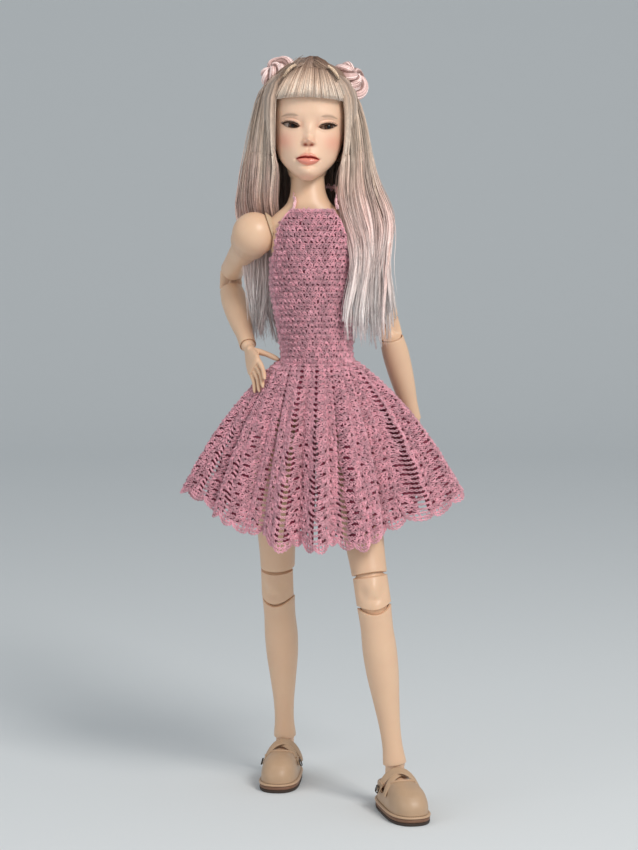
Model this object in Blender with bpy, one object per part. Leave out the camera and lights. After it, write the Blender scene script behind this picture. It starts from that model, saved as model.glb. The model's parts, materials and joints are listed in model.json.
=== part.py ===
# Ball jointed doll in a crochet dress, standing with one hand on the hip.
# Metres, +Z up, the doll faces -Y and its right side is at -X.
import math
import bpy
import bmesh
from mathutils import Matrix, Vector

# Clearances
GAP = 0.0003
BALL_GAP = 0.0004
CUTTER_OVERRUN = 0.002

# Legs: joint to joint lengths, ball radii and girths
HIP_SPACING = 0.041
THIGH_LENGTH = 0.1015
KNEE_LENGTH = 0.0185
SHIN_LENGTH = 0.0925
ANKLE_HEIGHT = 0.0265
HIP_BALL = 0.0125
KNEE_BALL = 0.0082
ANKLE_BALL = 0.0058
THIGH_RADIUS = 0.0148
KNEE_RADIUS = 0.0103
CALF_RADIUS = 0.0099
ANKLE_RADIUS = 0.0068
# How far a double hinge's barrel draws in at its sides, as a share.
LINK_SIDE_EASE = 0.15

# Arms
SHOULDER_SPACING = 0.065
UPPER_ARM_LENGTH = 0.0565
ELBOW_LENGTH = 0.0115
FOREARM_LENGTH = 0.053
SHOULDER_BALL = 0.013
ELBOW_BALL = 0.0060
WRIST_BALL = 0.0042
UPPER_ARM_RADIUS = 0.0082
ELBOW_RADIUS = 0.0071
FOREARM_RADIUS = 0.0078
WRIST_RADIUS = 0.0050
PALM_LENGTH = 0.0175
PALM_WIDTH = 0.0135
PALM_THICKNESS = 0.0056
FINGER_LENGTH = 0.0185
FINGER_RADIUS = 0.0015

# Torso
LOWER_JOINT_RISE = 0.0245
UPPER_JOINT_RISE = 0.0320
SHOULDER_RISE = 0.0455
NECK_RISE = 0.0385
NECK_SET_BACK = 0.0040
WAIST_BALL = 0.0150
NECK_BALL = 0.0118
NECK_RADIUS = 0.0099
PELVIS_HALF_WIDTH = 0.0280
PELVIS_HALF_DEPTH = 0.0155
LEG_OPENING = 0.0180
LEG_OPENING_ANGLE = 76
CHEST_HALF_WIDTH = 0.0252
CHEST_HALF_DEPTH = 0.0160
CHEST_WALL = 0.0045

# Numbers of sides of the round pieces
LIMB_SIDES = 12
FINGER_SIDES = 5
TORSO_SIDES = 16
BORE_SIDES = 7

# Head
HEAD_HALF_WIDTH = 0.0226
HEAD_HALF_DEPTH = 0.0268
HEAD_HEIGHT = 0.0675
CHIN_DROP = 0.0087
HEAD_WALL = 0.0035
NECK_FLOOR = 0.0028
CAP_PLANE_SLOPE = 34.0
# How far the head's corners crowd towards the middle of the face.
FRONT_CROWDING = 0.60
EVEN_SHARE = 0.3
HOLLOW_LOW_SHARE = 0.20
EYE_RADIUS = 0.0055
EYE_SPACING = 0.0208
EYE_RISE = 0.0222
EYE_SET = 0.0146
EYE_HALF_LENGTH = 0.0046
EYE_HALF_OPENING = 0.0022

# Wig
WIG_THICKNESS = 0.0046
WIG_CLEARANCE = 0.0015
FRINGE_THICKNESS = 0.0026
NAPE_SHARE = 0.06
FRINGE_LOW = 0.0366
FRINGE_ARCH_LOW = 0.0340
FRINGE_ARCH_RISE = 0.0185
HAIR_BACK_TOP = 0.012
HAIR_BACK_LENGTH = 0.119
BUN_RIGHT_RADIUS = 0.0082
BUN_LEFT_RADIUS = 0.0094
# Routes of the loose locks and places of the buns, from the neck joint.
RIGHT_LOCK = ((-0.0240, 0.0120, -0.0100), (-0.0215, 0.0165, -0.0300), (-0.0195, 0.0170, -0.0500),
              (-0.0215, 0.0150, -0.0670), (-0.0245, 0.0115, -0.0850), (-0.0268, 0.0085, -0.1010))
LEFT_LOCK = ((0.0205, -0.0010, 0.0080), (0.0262, -0.0075, -0.0100), (0.0350, -0.0190, -0.0260),
             (0.0420, -0.0260, -0.0460), (0.0480, -0.0230, -0.0700), (0.0500, -0.0180, -0.0930),
             (0.0530, -0.0160, -0.1090))
RIGHT_BUN = (-0.982 * HEAD_HALF_WIDTH, 0.037 * HEAD_HALF_DEPTH, 0.9585 * HEAD_HEIGHT - CHIN_DROP)
LEFT_BUN = (1.106 * HEAD_HALF_WIDTH, 0.037 * HEAD_HALF_DEPTH, 0.914 * HEAD_HEIGHT - CHIN_DROP)

# Elastic, hooks and linings
ARM_ELASTIC_RADIUS = 0.0008
LEG_ELASTIC_RADIUS = 0.0010
ARM_BORE = 0.0021
LEG_BORE = 0.0027
SHOULDER_ELASTIC_SLOPE = 0.33
WRIST_WIRE = 0.0004
WRIST_EYE = 0.0013
ANKLE_WIRE = 0.0005
ANKLE_EYE = 0.0017
NECK_WIRE = 0.0007
LINING_THICKNESS = 0.0006
LINING_SIDES = 16
LINING_HOLE = 22.0
LINING_HALF_STEP = math.radians(5.5)

# Dress
CLOTH = 0.0011
DRESS_EASE = 0.0020
SKIRT_LENGTH = 0.112
HEM_RADIUS = 0.058
NECKLINE_HALF_WIDTH = 0.0142
CORD_RADIUS = 0.0010

# Shoes
SHOE_LENGTH = 0.060
SHOE_HALF_WIDTH = 0.0135
SOLE_THICKNESS = 0.0052
UPPER_HEIGHT = 0.0150
LEATHER = 0.0012
STRAP_WIDTH = 0.0052
STRAP_THICKNESS = 0.0009

# Stance, in degrees and in metres on the floor from the middle of the hips
PELVIS_SHIFT = -0.006
PELVIS_ROLL = 4.5
CHEST_ROLL = -2.0
HEAD_ROLL = 2.4
HEAD_TURN = -4.0
RIGHT_ANKLE_PLACE = (-0.0210, 0.043)
LEFT_ANKLE_PLACE = (0.0440, -0.035)
RIGHT_TOE_OUT = 7.0
LEFT_TOE_OUT = 15.0
# Which way each knee points out from the front, in degrees.
RIGHT_KNEE_OUT = 18.0
LEFT_KNEE_OUT = 4.0
STRAIGHT_SHARE = 0.9995
RIGHT_WRIST_PLACE = (-0.0041, 0.0124, -0.0657)
LEFT_WRIST_PLACE = (0.0301, 0.0280, -0.1135)
RIGHT_HAND_AIM = (0.22, -0.78, -0.60)
LEFT_HAND_AIM = (0.22, 0.30, -0.93)

RIGHT, LEFT = -1, 1
SIDE_NAMES = {RIGHT: "right", LEFT: "left"}


# Scene, materials and frames

def clear_scene():
    for item in list(bpy.data.objects):
        bpy.data.objects.remove(item, do_unlink=True)


def material(name, colour, roughness, metallic=0.0):
    made = bpy.data.materials.new(name)
    made.use_nodes = True
    shader = made.node_tree.nodes["Principled BSDF"]
    shader.inputs["Base Color"].default_value = (*colour, 1)
    shader.inputs["Roughness"].default_value = roughness
    shader.inputs["Metallic"].default_value = metallic
    return made


frames = {}
empties = {}


# A joint's empty: its local X is the hinge axis, -Z runs down the limb, -Y is the front.
def joint_frame(name, place, parent=None):
    empty = bpy.data.objects.new(name + "_joint", None)
    empty.empty_display_size = WRIST_RADIUS
    bpy.context.collection.objects.link(empty)
    frames[name] = place
    empties[name] = empty
    if parent:
        empty.parent = empties[parent]
        empty.matrix_basis = frames[parent].inverted() @ place
    else:
        empty.matrix_basis = place
    return empty


def facing(origin, down, front):
    z = -Vector(down).normalized()
    y = -(Vector(front) - Vector(front).dot(z) * z).normalized()
    x = y.cross(z)
    turn = Matrix((x, y, z)).transposed().to_4x4()
    return Matrix.Translation(origin) @ turn


# Rings and lofts

def ring(height, half_width, half_depth, sides, shift=(0, 0), squareness=1.0):
    points = []
    for step in range(sides):
        angle = 2 * math.pi * step / sides
        across, along = math.cos(angle), math.sin(angle)
        x = shift[0] + half_width * math.copysign(abs(across) ** squareness, across)
        y = shift[1] + half_depth * math.copysign(abs(along) ** squareness, along)
        points.append(Vector((x, y, height)))
    return points


# Rings on a ball, by polar angle from +Z in degrees.
def ball_rings(radius, polar_angles, sides, height=0):
    rings = []
    for polar in polar_angles:
        angle = math.radians(polar)
        if polar in (0, 180):
            rings.append([Vector((0, 0, height + radius * math.cos(angle)))])
        else:
            level = height + radius * math.cos(angle)
            rings.append(ring(level, radius * math.sin(angle), radius * math.sin(angle), sides))
    return rings


# A ring on a ball, or around it, whose polar angle changes with the direction.
def rim_ring(radius, rim, sides, height=0, opens=-1, reach=None):
    points = []
    for step in range(sides):
        angle = 2 * math.pi * step / sides
        polar = math.radians(rim(angle))
        across = radius * math.sin(polar) if reach is None else reach
        level = height + opens * radius * math.cos(polar)
        points.append(Vector((across * math.cos(angle), across * math.sin(angle), level)))
    return points


# The radius of a faceted cup whose flats clear a ball.
def clear_radius(ball, sides):
    return (ball + BALL_GAP) / math.cos(math.pi / sides)


# The inside of a cup, from its rim to its deepest point.
def cup_rings(radius, rim, sides, height, opens, steps=3):
    rings = []
    for step in range(steps):
        share = 1 - step / steps
        rings.append(rim_ring(radius, lambda a: share * rim(a), sides, height, opens))
    rings.append([Vector((0, 0, height + opens * radius))])
    return rings


def loft_mesh(rings, cyclic=False):
    mesh = bmesh.new()
    levels = [[mesh.verts.new(point) for point in level] for level in rings]
    pairs = list(zip(levels, levels[1:]))
    if cyclic:
        pairs.append((levels[-1], levels[0]))
    for low, high in pairs:
        count = max(len(low), len(high))
        for step in range(count):
            following = (step + 1) % count
            corners = [low[step % len(low)], low[following % len(low)]]
            corners += [high[following % len(high)], high[step % len(high)]]
            mesh.faces.new(list(dict.fromkeys(corners)))
    if not cyclic:
        for level in (levels[0], levels[-1]):
            if len(level) > 2:
                mesh.faces.new(level)
    bmesh.ops.recalc_face_normals(mesh, faces=mesh.faces)
    return mesh


def add_object(name, mesh, coat, frame, cutter=False):
    data = bpy.data.meshes.new(name)
    mesh.to_mesh(data)
    mesh.free()
    data.shade_smooth()
    data.set_sharp_from_angle(angle=math.radians(35))
    piece = bpy.data.objects.new(name, data)
    bpy.context.collection.objects.link(piece)
    if frame:
        piece.parent = empties[frame]
    if cutter:
        piece.hide_render = True
        piece.display_type = "WIRE"
    else:
        data.materials.append(coat)
    return piece


def loft(name, rings, coat, frame, cutter=False, cyclic=False):
    return add_object(name, loft_mesh(rings, cyclic), coat, frame, cutter)


def boolean(piece, other, operation="DIFFERENCE"):
    change = piece.modifiers.new(other.name, "BOOLEAN")
    change.operation = operation
    change.object = other
    change.solver = "EXACT"


def union(piece, others):
    for other in others:
        boolean(piece, other, "UNION")


# A ball to cut with, whose flats clear the radius.
def ball_cutter(name, radius, centre, frame, sides=16):
    mesh = bmesh.new()
    corner = radius / math.cos(math.pi / sides) ** 2
    bmesh.ops.create_uvsphere(mesh, u_segments=sides, v_segments=sides // 2, radius=corner)
    bmesh.ops.translate(mesh, verts=mesh.verts, vec=centre)
    return add_object(name, mesh, None, frame, cutter=True)


def box_mesh(low, high):
    mesh = bmesh.new()
    bmesh.ops.create_cube(mesh, size=1)
    sizes = [b - a for a, b in zip(low, high)]
    middle = [(a + b) / 2 for a, b in zip(low, high)]
    bmesh.ops.scale(mesh, verts=mesh.verts, vec=sizes)
    bmesh.ops.translate(mesh, verts=mesh.verts, vec=middle)
    return mesh


def box_cutter(name, low, high, frame):
    return add_object(name, box_mesh(low, high), None, frame, cutter=True)


# A smooth curve through points, with steps between each two of them.
def smooth_path(points, steps):
    path = []
    knots = [Vector(p) for p in points]
    knots = [2 * knots[0] - knots[1]] + knots + [2 * knots[-1] - knots[-2]]
    for a, b, c, d in zip(knots, knots[1:], knots[2:], knots[3:]):
        for step in range(steps):
            t = step / steps
            path.append(0.5 * (2 * b + (c - a) * t + (2 * a - 5 * b + 4 * c - d) * t * t
                               + (3 * b - a - 3 * c + d) * t ** 3))
    path.append(knots[-2])
    return path


# Sections along a path: the side direction turns with the path and never twists.
def sweep_rings(path, half_widths, half_depths, sides, side=(1, 0, 0)):
    rings = []
    heading = (path[1] - path[0]).normalized()
    across = (Vector(side) - Vector(side).dot(heading) * heading).normalized()
    for number, point in enumerate(path):
        before = path[max(number - 1, 0)]
        after = path[min(number + 1, len(path) - 1)]
        along = (after - before).normalized()
        across.rotate(heading.rotation_difference(along))
        heading = along
        out = along.cross(across)
        share = number / (len(path) - 1)
        width = interpolate(half_widths, share)
        depth = interpolate(half_depths, share)
        section = []
        for step in range(sides):
            angle = 2 * math.pi * step / sides
            section.append(point + across * width * math.cos(angle) + out * depth * math.sin(angle))
        rings.append(section)
    return rings


def interpolate(values, share):
    place = share * (len(values) - 1)
    low = min(int(place), len(values) - 2)
    return values[low] + (values[low + 1] - values[low]) * (place - low)


# The same points, given in a joint's frame.
def seen_from(frame, points):
    return [frames[frame].inverted() @ point for point in points]


def tube(name, path, radius, sides, coat, frame, cutter=False, side=(1, 0, 0)):
    rings = sweep_rings(path, [radius, radius], [radius, radius], sides, side)
    return loft(name, rings, coat, frame, cutter)


# Pose: where each joint centre lies

# How far each of the two hinges of a double joint turns, so that the chain spans a distance.
def chain_bend(upper, link, lower, distance):
    square = upper ** 2 + link ** 2 + lower ** 2 - 2 * upper * lower - distance ** 2
    linear = 2 * link * (upper + lower)
    cosine = (-linear + math.sqrt(max(linear ** 2 - 16 * upper * lower * square, 0)))
    return math.acos(min(1, cosine / (8 * upper * lower)))


# Matrices of a limb's upper joint, two hinges and end, with the bend opening away from the front.
def limb_frames(root, tip, pole, lengths, flex):
    upper, link, lower = lengths
    line = tip - root
    distance = min(line.length, sum(lengths) * STRAIGHT_SHARE)
    down = line.normalized()
    front = (Vector(pole) - Vector(pole).dot(down) * down).normalized()
    bend = chain_bend(upper, link, lower, distance)
    lead = math.atan2(link * math.sin(bend) + lower * math.sin(2 * bend),
                      upper + link * math.cos(bend) + lower * math.cos(2 * bend))
    places = []
    at = root.copy()
    for number, length in enumerate((upper, link, lower)):
        turn = lead - number * bend
        direction = down * math.cos(turn) + front * math.sin(turn)
        ahead = front * math.cos(turn) - down * math.sin(turn)
        places.append(facing(at, direction, ahead * flex))
        at = at + direction * length
    return places, at


def build_frames():
    thigh_reach = (THIGH_LENGTH + KNEE_LENGTH + SHIN_LENGTH) * STRAIGHT_SHARE
    roll = Matrix.Rotation(math.radians(PELVIS_ROLL), 4, "Y")
    right_hip = roll @ Vector((-HIP_SPACING / 2, 0, 0)) + Vector((PELVIS_SHIFT, 0, 0))
    step = math.hypot(RIGHT_ANKLE_PLACE[0] - right_hip.x, RIGHT_ANKLE_PLACE[1])
    right_hip_height = ANKLE_HEIGHT + math.sqrt(thigh_reach ** 2 - step ** 2)
    middle = Matrix.Translation((PELVIS_SHIFT, 0, right_hip_height - right_hip.z))
    joint_frame("pelvis", middle @ roll)

    lower = Matrix.Translation(middle @ roll @ Vector((0, 0, LOWER_JOINT_RISE)))
    joint_frame("waist", lower, "pelvis")
    chest_turn = Matrix.Rotation(math.radians(CHEST_ROLL), 4, "Y")
    upper = lower @ Matrix.Translation((0, 0, UPPER_JOINT_RISE)) @ chest_turn
    joint_frame("chest", upper, "waist")
    neck_place = Matrix.Translation((0, NECK_SET_BACK, SHOULDER_RISE + NECK_RISE))
    joint_frame("neck", upper @ neck_place, "chest")
    nod = Matrix.Rotation(math.radians(HEAD_TURN), 4, "Z")
    tilt = Matrix.Rotation(math.radians(HEAD_ROLL - CHEST_ROLL), 4, "Y")
    joint_frame("head", upper @ neck_place @ tilt @ nod, "neck")

    leg_lengths = (THIGH_LENGTH, KNEE_LENGTH, SHIN_LENGTH)
    arm_lengths = (UPPER_ARM_LENGTH, ELBOW_LENGTH, FOREARM_LENGTH)
    for side, place, toe_out, knee_out in (
            (RIGHT, RIGHT_ANKLE_PLACE, RIGHT_TOE_OUT, RIGHT_KNEE_OUT),
            (LEFT, LEFT_ANKLE_PLACE, LEFT_TOE_OUT, LEFT_KNEE_OUT)):
        word = SIDE_NAMES[side]
        hip = frames["pelvis"] @ Vector((side * HIP_SPACING / 2, 0, 0))
        ankle = Vector((place[0], place[1], ANKLE_HEIGHT))
        heading = side * math.radians(toe_out)
        ahead = Vector((math.sin(heading), -math.cos(heading), 0))
        knee_heading = side * math.radians(knee_out)
        pole = (math.sin(knee_heading), -math.cos(knee_heading), 0)
        places, end = limb_frames(hip, ankle, pole, leg_lengths, 1)
        parent = "pelvis"
        for piece, at in zip(("thigh", "knee", "shin"), places):
            joint_frame(f"{piece}_{word}", at, parent)
            parent = f"{piece}_{word}"
        joint_frame(f"foot_{word}", facing(end, (0, 0, -1), ahead), parent)

    for side, wrist, pole, aim, palm in (
            (RIGHT, RIGHT_WRIST_PLACE, (-0.30, 1.0, 0.10), RIGHT_HAND_AIM, (-0.9, -0.3, 0.3)),
            (LEFT, LEFT_WRIST_PLACE, (-0.05, 1.0, 0.0), LEFT_HAND_AIM, (0.2, -0.9, -0.3))):
        word = SIDE_NAMES[side]
        shoulder = upper @ Vector((side * SHOULDER_SPACING / 2, 0, SHOULDER_RISE))
        places, end = limb_frames(shoulder, shoulder + Vector(wrist), pole, arm_lengths, -1)
        parent = "chest"
        for piece, at in zip(("upper_arm", "elbow", "forearm"), places):
            joint_frame(f"{piece}_{word}", at, parent)
            parent = f"{piece}_{word}"
        joint_frame(f"hand_{word}", facing(end, aim, palm), parent)
    bpy.context.view_layer.update()


# Limbs

# A limb piece that ends in a cup: rings down the outside, over the rim and up into the cup.
def cup_end(ball, outside, rim, height, opens, sides=LIMB_SIDES):
    cup = clear_radius(ball, sides)
    outer = rim_ring(cup, rim, sides, height, opens, reach=outside)
    return [outer] + cup_rings(cup, rim, sides, height, opens)


# Rim angles from the cup's axis, by direction: 90 degrees at angle 270 is the front.
def tilted_rim(middle, front_rise):
    return lambda angle: middle - front_rise * math.sin(angle)


def eared_rim(middle, ear_rise):
    return lambda angle: middle + ear_rise * math.cos(2 * angle)


def limb_rings(profile, sides=LIMB_SIDES):
    return [ring(z, width, depth, sides, (0, shift)) for z, width, depth, shift in profile]


ELBOW_RIM = tilted_rim(80, -8)
FOREARM_RIM = tilted_rim(82, -10)
KNEE_RIM = tilted_rim(84, 8)
SHIN_RIM = eared_rim(81, 14)


def upper_arm(side, coat):
    word = SIDE_NAMES[side]
    length, radius = UPPER_ARM_LENGTH, UPPER_ARM_RADIUS
    rings = ball_rings(SHOULDER_BALL, (0, 20, 40, 60, 80, 100, 122), LIMB_SIDES)
    profile = [(-length * z, radius * w, radius * d, 0) for z, w, d in
               ((0.24, 1.20, 1.20), (0.42, 1.0, 1.04), (0.62, 0.94, 0.98), (0.82, 0.90, 0.90))]
    rings += limb_rings(profile)
    rings += cup_end(ELBOW_BALL, ELBOW_RADIUS, ELBOW_RIM, -length, 1)
    return loft(f"upper_arm_{word}", rings, coat, f"upper_arm_{word}")


# A double hinge link: a ball at each end and a barrel that is flush with the limb on its outer side
# and inside the balls' radius on the side it folds to.
def hinge_link(name, coat, frame, length, ball, barrel, bulge, top_rim, bottom_rim):
    inside = ball * 0.95
    ledge = ball * 0.13
    notch = ball * 0.28
    rings = ball_rings(ball, (0, 22, 44, 62), LIMB_SIDES)
    top, middle, bottom, inner_top, inner_low = [], [], [], [], []
    for step in range(LIMB_SIDES):
        angle = 2 * math.pi * step / LIMB_SIDES
        folding = max(0, LINK_SIDE_EASE - bulge * math.sin(angle))
        flush = max(0, 1 - 2 * folding)
        reach = inside + (barrel * 0.97 - inside) * flush
        across, along = math.cos(angle), math.sin(angle)
        high = ball * math.cos(math.radians(top_rim(angle))) - 2 * ledge
        low = -length - ball * math.cos(math.radians(bottom_rim(angle))) + 2 * ledge
        high = min(high, -ledge)
        top.append(Vector((reach * across, reach * along, high)))
        bottom.append(Vector((reach * across, reach * along, low)))
        reach = notch + (barrel * 0.97 - notch) * flush
        middle.append(Vector((reach * across, reach * along, (high + low) / 2)))
        inner_top.append(Vector((inside * across, inside * along, high + ledge * 0.8)))
        inner_low.append(Vector((inside * across, inside * along, low - ledge * 0.8)))
    rings += [inner_top, top, middle, bottom, inner_low]
    rings += ball_rings(ball, (118, 136, 158, 180), LIMB_SIDES, -length)
    return loft(name, rings, coat, frame)


def forearm(side, coat):
    word = SIDE_NAMES[side]
    length, radius = FOREARM_LENGTH, FOREARM_RADIUS
    rings = cup_end(ELBOW_BALL, ELBOW_RADIUS, FOREARM_RIM, 0, -1)[::-1]
    profile = [(-length * z, radius * w, radius * d, 0) for z, w, d in
               ((0.16, 1.0, 0.98), (0.34, 1.0, 0.95), (0.60, 0.85, 0.82), (0.84, 0.66, 0.66))]
    rings += limb_rings(profile)
    rings += cup_end(WRIST_BALL, WRIST_RADIUS, tilted_rim(84, 0), -length, 1)
    return loft(f"forearm_{word}", rings, coat, f"forearm_{word}")


def thigh(side, coat):
    word = SIDE_NAMES[side]
    length, radius = THIGH_LENGTH, THIGH_RADIUS
    rings = ball_rings(HIP_BALL, (0, 20, 40, 60, 80, 100), LIMB_SIDES)
    profile = [(-length * z, radius * w, radius * d, 0) for z, w, d in
               ((0.10, 0.84, 0.86), (0.20, 0.97, 1.0), (0.40, 0.98, 0.99), (0.62, 0.87, 0.90),
                (0.82, 0.76, 0.78), (0.94, 0.71, 0.72))]
    rings += limb_rings(profile)
    rings += cup_end(KNEE_BALL, KNEE_RADIUS, KNEE_RIM, -length, 1)
    return loft(f"thigh_{word}", rings, coat, f"thigh_{word}")


def shin(side, coat):
    word = SIDE_NAMES[side]
    length, radius = SHIN_LENGTH, CALF_RADIUS
    rings = cup_end(KNEE_BALL, KNEE_RADIUS * 0.96, SHIN_RIM, 0, -1)[::-1]
    profile = [(-length * z, radius * w, radius * d, radius * s) for z, w, d, s in
               ((0.13, 0.94, 1.0, 0.05), (0.27, 1.0, 1.10, 0.16), (0.42, 0.95, 1.06, 0.20),
                (0.60, 0.77, 0.84, 0.16), (0.78, 0.60, 0.64, 0.08), (0.91, 0.60, 0.62, 0))]
    rings += limb_rings(profile)
    rings += cup_end(ANKLE_BALL, ANKLE_RADIUS, tilted_rim(86, 0), -length, 1)
    return loft(f"shin_{word}", rings, coat, f"shin_{word}")


# The slot that the S-hook passes through and the bar that it holds, in a hand or foot ball.
def hook_seat(piece, word, ball, wire, frame):
    half_slot = wire + 3 * GAP
    depth = ball * 0.52
    slot = box_cutter(f"slot_{word}", (-half_slot, -ball * 1.5, -depth),
                      (half_slot, ball * 1.5, ball * 2), frame)
    boolean(piece, slot)
    path = [Vector((-ball * 0.7, 0, 0)), Vector((ball * 0.7, 0, 0))]
    rings = sweep_rings(path, [wire * 1.2] * 2, [wire * 1.2] * 2, 8, side=(0, 1, 0))
    bar = loft(f"bar_{word}", rings, None, frame, cutter=True)
    boolean(piece, bar, "UNION")


# Each finger: place across the palm and length, as shares, then sideways lean and curl.
FINGER_SHARES = ((-0.38, 0.86, -0.10, 0.30), (-0.13, 0.98, -0.03, 0.26),
                 (0.12, 0.94, 0.04, 0.32), (0.37, 0.78, 0.13, 0.40))


def hand(side, coat):
    word = SIDE_NAMES[side]
    name = f"hand_{word}"
    start = WRIST_BALL
    rings = ball_rings(WRIST_BALL, (0, 30, 60, 90, 125), 10)
    palm_shares = ((0.10, 0.62, 0.92, 0), (0.40, 0.88, 1.0, 0.02),
                   (0.75, 1.0, 0.92, 0.06), (1.0, 0.94, 0.72, 0.12))
    for along, width, depth, drop in palm_shares:
        rings.append(ring(-start - PALM_LENGTH * along, PALM_WIDTH / 2 * width,
                          PALM_THICKNESS / 2 * depth, 10, (0, -PALM_THICKNESS * drop), 0.8))
    piece = loft(name, rings, coat, name)
    fingers = []
    thumb_side = -side
    for number, (across, reach, lean, curl) in enumerate(FINGER_SHARES):
        root = Vector((-thumb_side * across * PALM_WIDTH, 0, -start - PALM_LENGTH * 0.88))
        aim = Vector((-thumb_side * lean, -curl * 0.35, -1)).normalized()
        curled = Vector((-thumb_side * lean * 0.6, -curl * 1.5, -1)).normalized()
        length = FINGER_LENGTH * reach
        knuckle = root + aim * length * 0.5
        path = smooth_path([root, knuckle, knuckle + curled * length * 0.6], 1)
        widths = [FINGER_RADIUS * s for s in (1.08, 1.0, 0.62)]
        finger = sweep_rings(path, widths, widths, FINGER_SIDES)
        fingers.append(loft(f"{name}_finger{number}", finger, None, name, cutter=True))
    root = Vector((thumb_side * PALM_WIDTH * 0.22, 0, -start - PALM_LENGTH * 0.22))
    tip = root + Vector((thumb_side * 0.62, -0.30, -0.72)).normalized() * FINGER_LENGTH * 0.98
    middle = (root + tip) / 2 + Vector((thumb_side * FINGER_RADIUS * 0.7, 0, 0))
    widths = [FINGER_RADIUS * s for s in (1.5, 1.3, 1.05, 0.7)]
    path = smooth_path([root, middle, tip], 2)
    thumb = sweep_rings(path, widths, widths, FINGER_SIDES)
    fingers.append(loft(f"{name}_thumb", thumb, None, name, cutter=True))
    union(piece, fingers)
    hook_seat(piece, name, WRIST_BALL, WRIST_WIRE, name)
    return piece


# Foot: sections along its length, from the heel to the toes, then the ankle ball.
def foot(side, coat):
    word = SIDE_NAMES[side]
    name = f"foot_{word}"
    floor = -ANKLE_HEIGHT + SOLE_THICKNESS + 2 * GAP
    length = SHOE_LENGTH * 0.80
    heel = length * 0.25
    inner = SHOE_HALF_WIDTH - LEATHER - 6 * GAP
    foot_shares = ((0.0, 0.42, 0.25), (0.06, 0.62, 0.46), (0.25, 0.66, 0.64), (0.40, 0.70, 0.66),
                   (0.52, 0.76, 0.56), (0.68, 0.84, 0.40), (0.85, 0.80, 0.27), (0.97, 0.56, 0.20))
    rings = []
    rise = ANKLE_HEIGHT - SOLE_THICKNESS
    for along, width, height in foot_shares:
        y = heel - length * along
        section = []
        for step in range(LIMB_SIDES):
            angle = 2 * math.pi * step / LIMB_SIDES
            x = inner * width * math.cos(angle)
            z = floor + rise * height * (1 + math.sin(angle)) / 2 * 1.15
            section.append(Vector((x, y, z)))
        rings.append(section)
    sole_part = loft(f"{name}_length", rings, None, name, cutter=True)
    neck = ball_rings(ANKLE_BALL, (0, 25, 50, 75, 100, 120), LIMB_SIDES)
    neck.append(ring(-rise * 0.42, ANKLE_BALL * 1.02, length * 0.151, LIMB_SIDES))
    neck.append(ring(-rise * 0.80, ANKLE_BALL, length * 0.181, LIMB_SIDES))
    piece = loft(name, neck, coat, name)
    boolean(piece, sole_part, "UNION")
    hook_seat(piece, name, ANKLE_BALL, ANKLE_WIRE, name)
    return piece


# Torso

# The chest above its joint, by height share of the shoulders' rise: half width and half depth.
CHEST_SHARES = ((0.14, 0.80, 0.94), (0.32, 0.86, 1.04), (0.55, 0.87, 1.10), (0.76, 0.86, 1.06),
                (1.0, 0.97, 0.92), (1.17, 0.98, 0.76), (1.30, 0.66, 0.64))


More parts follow.
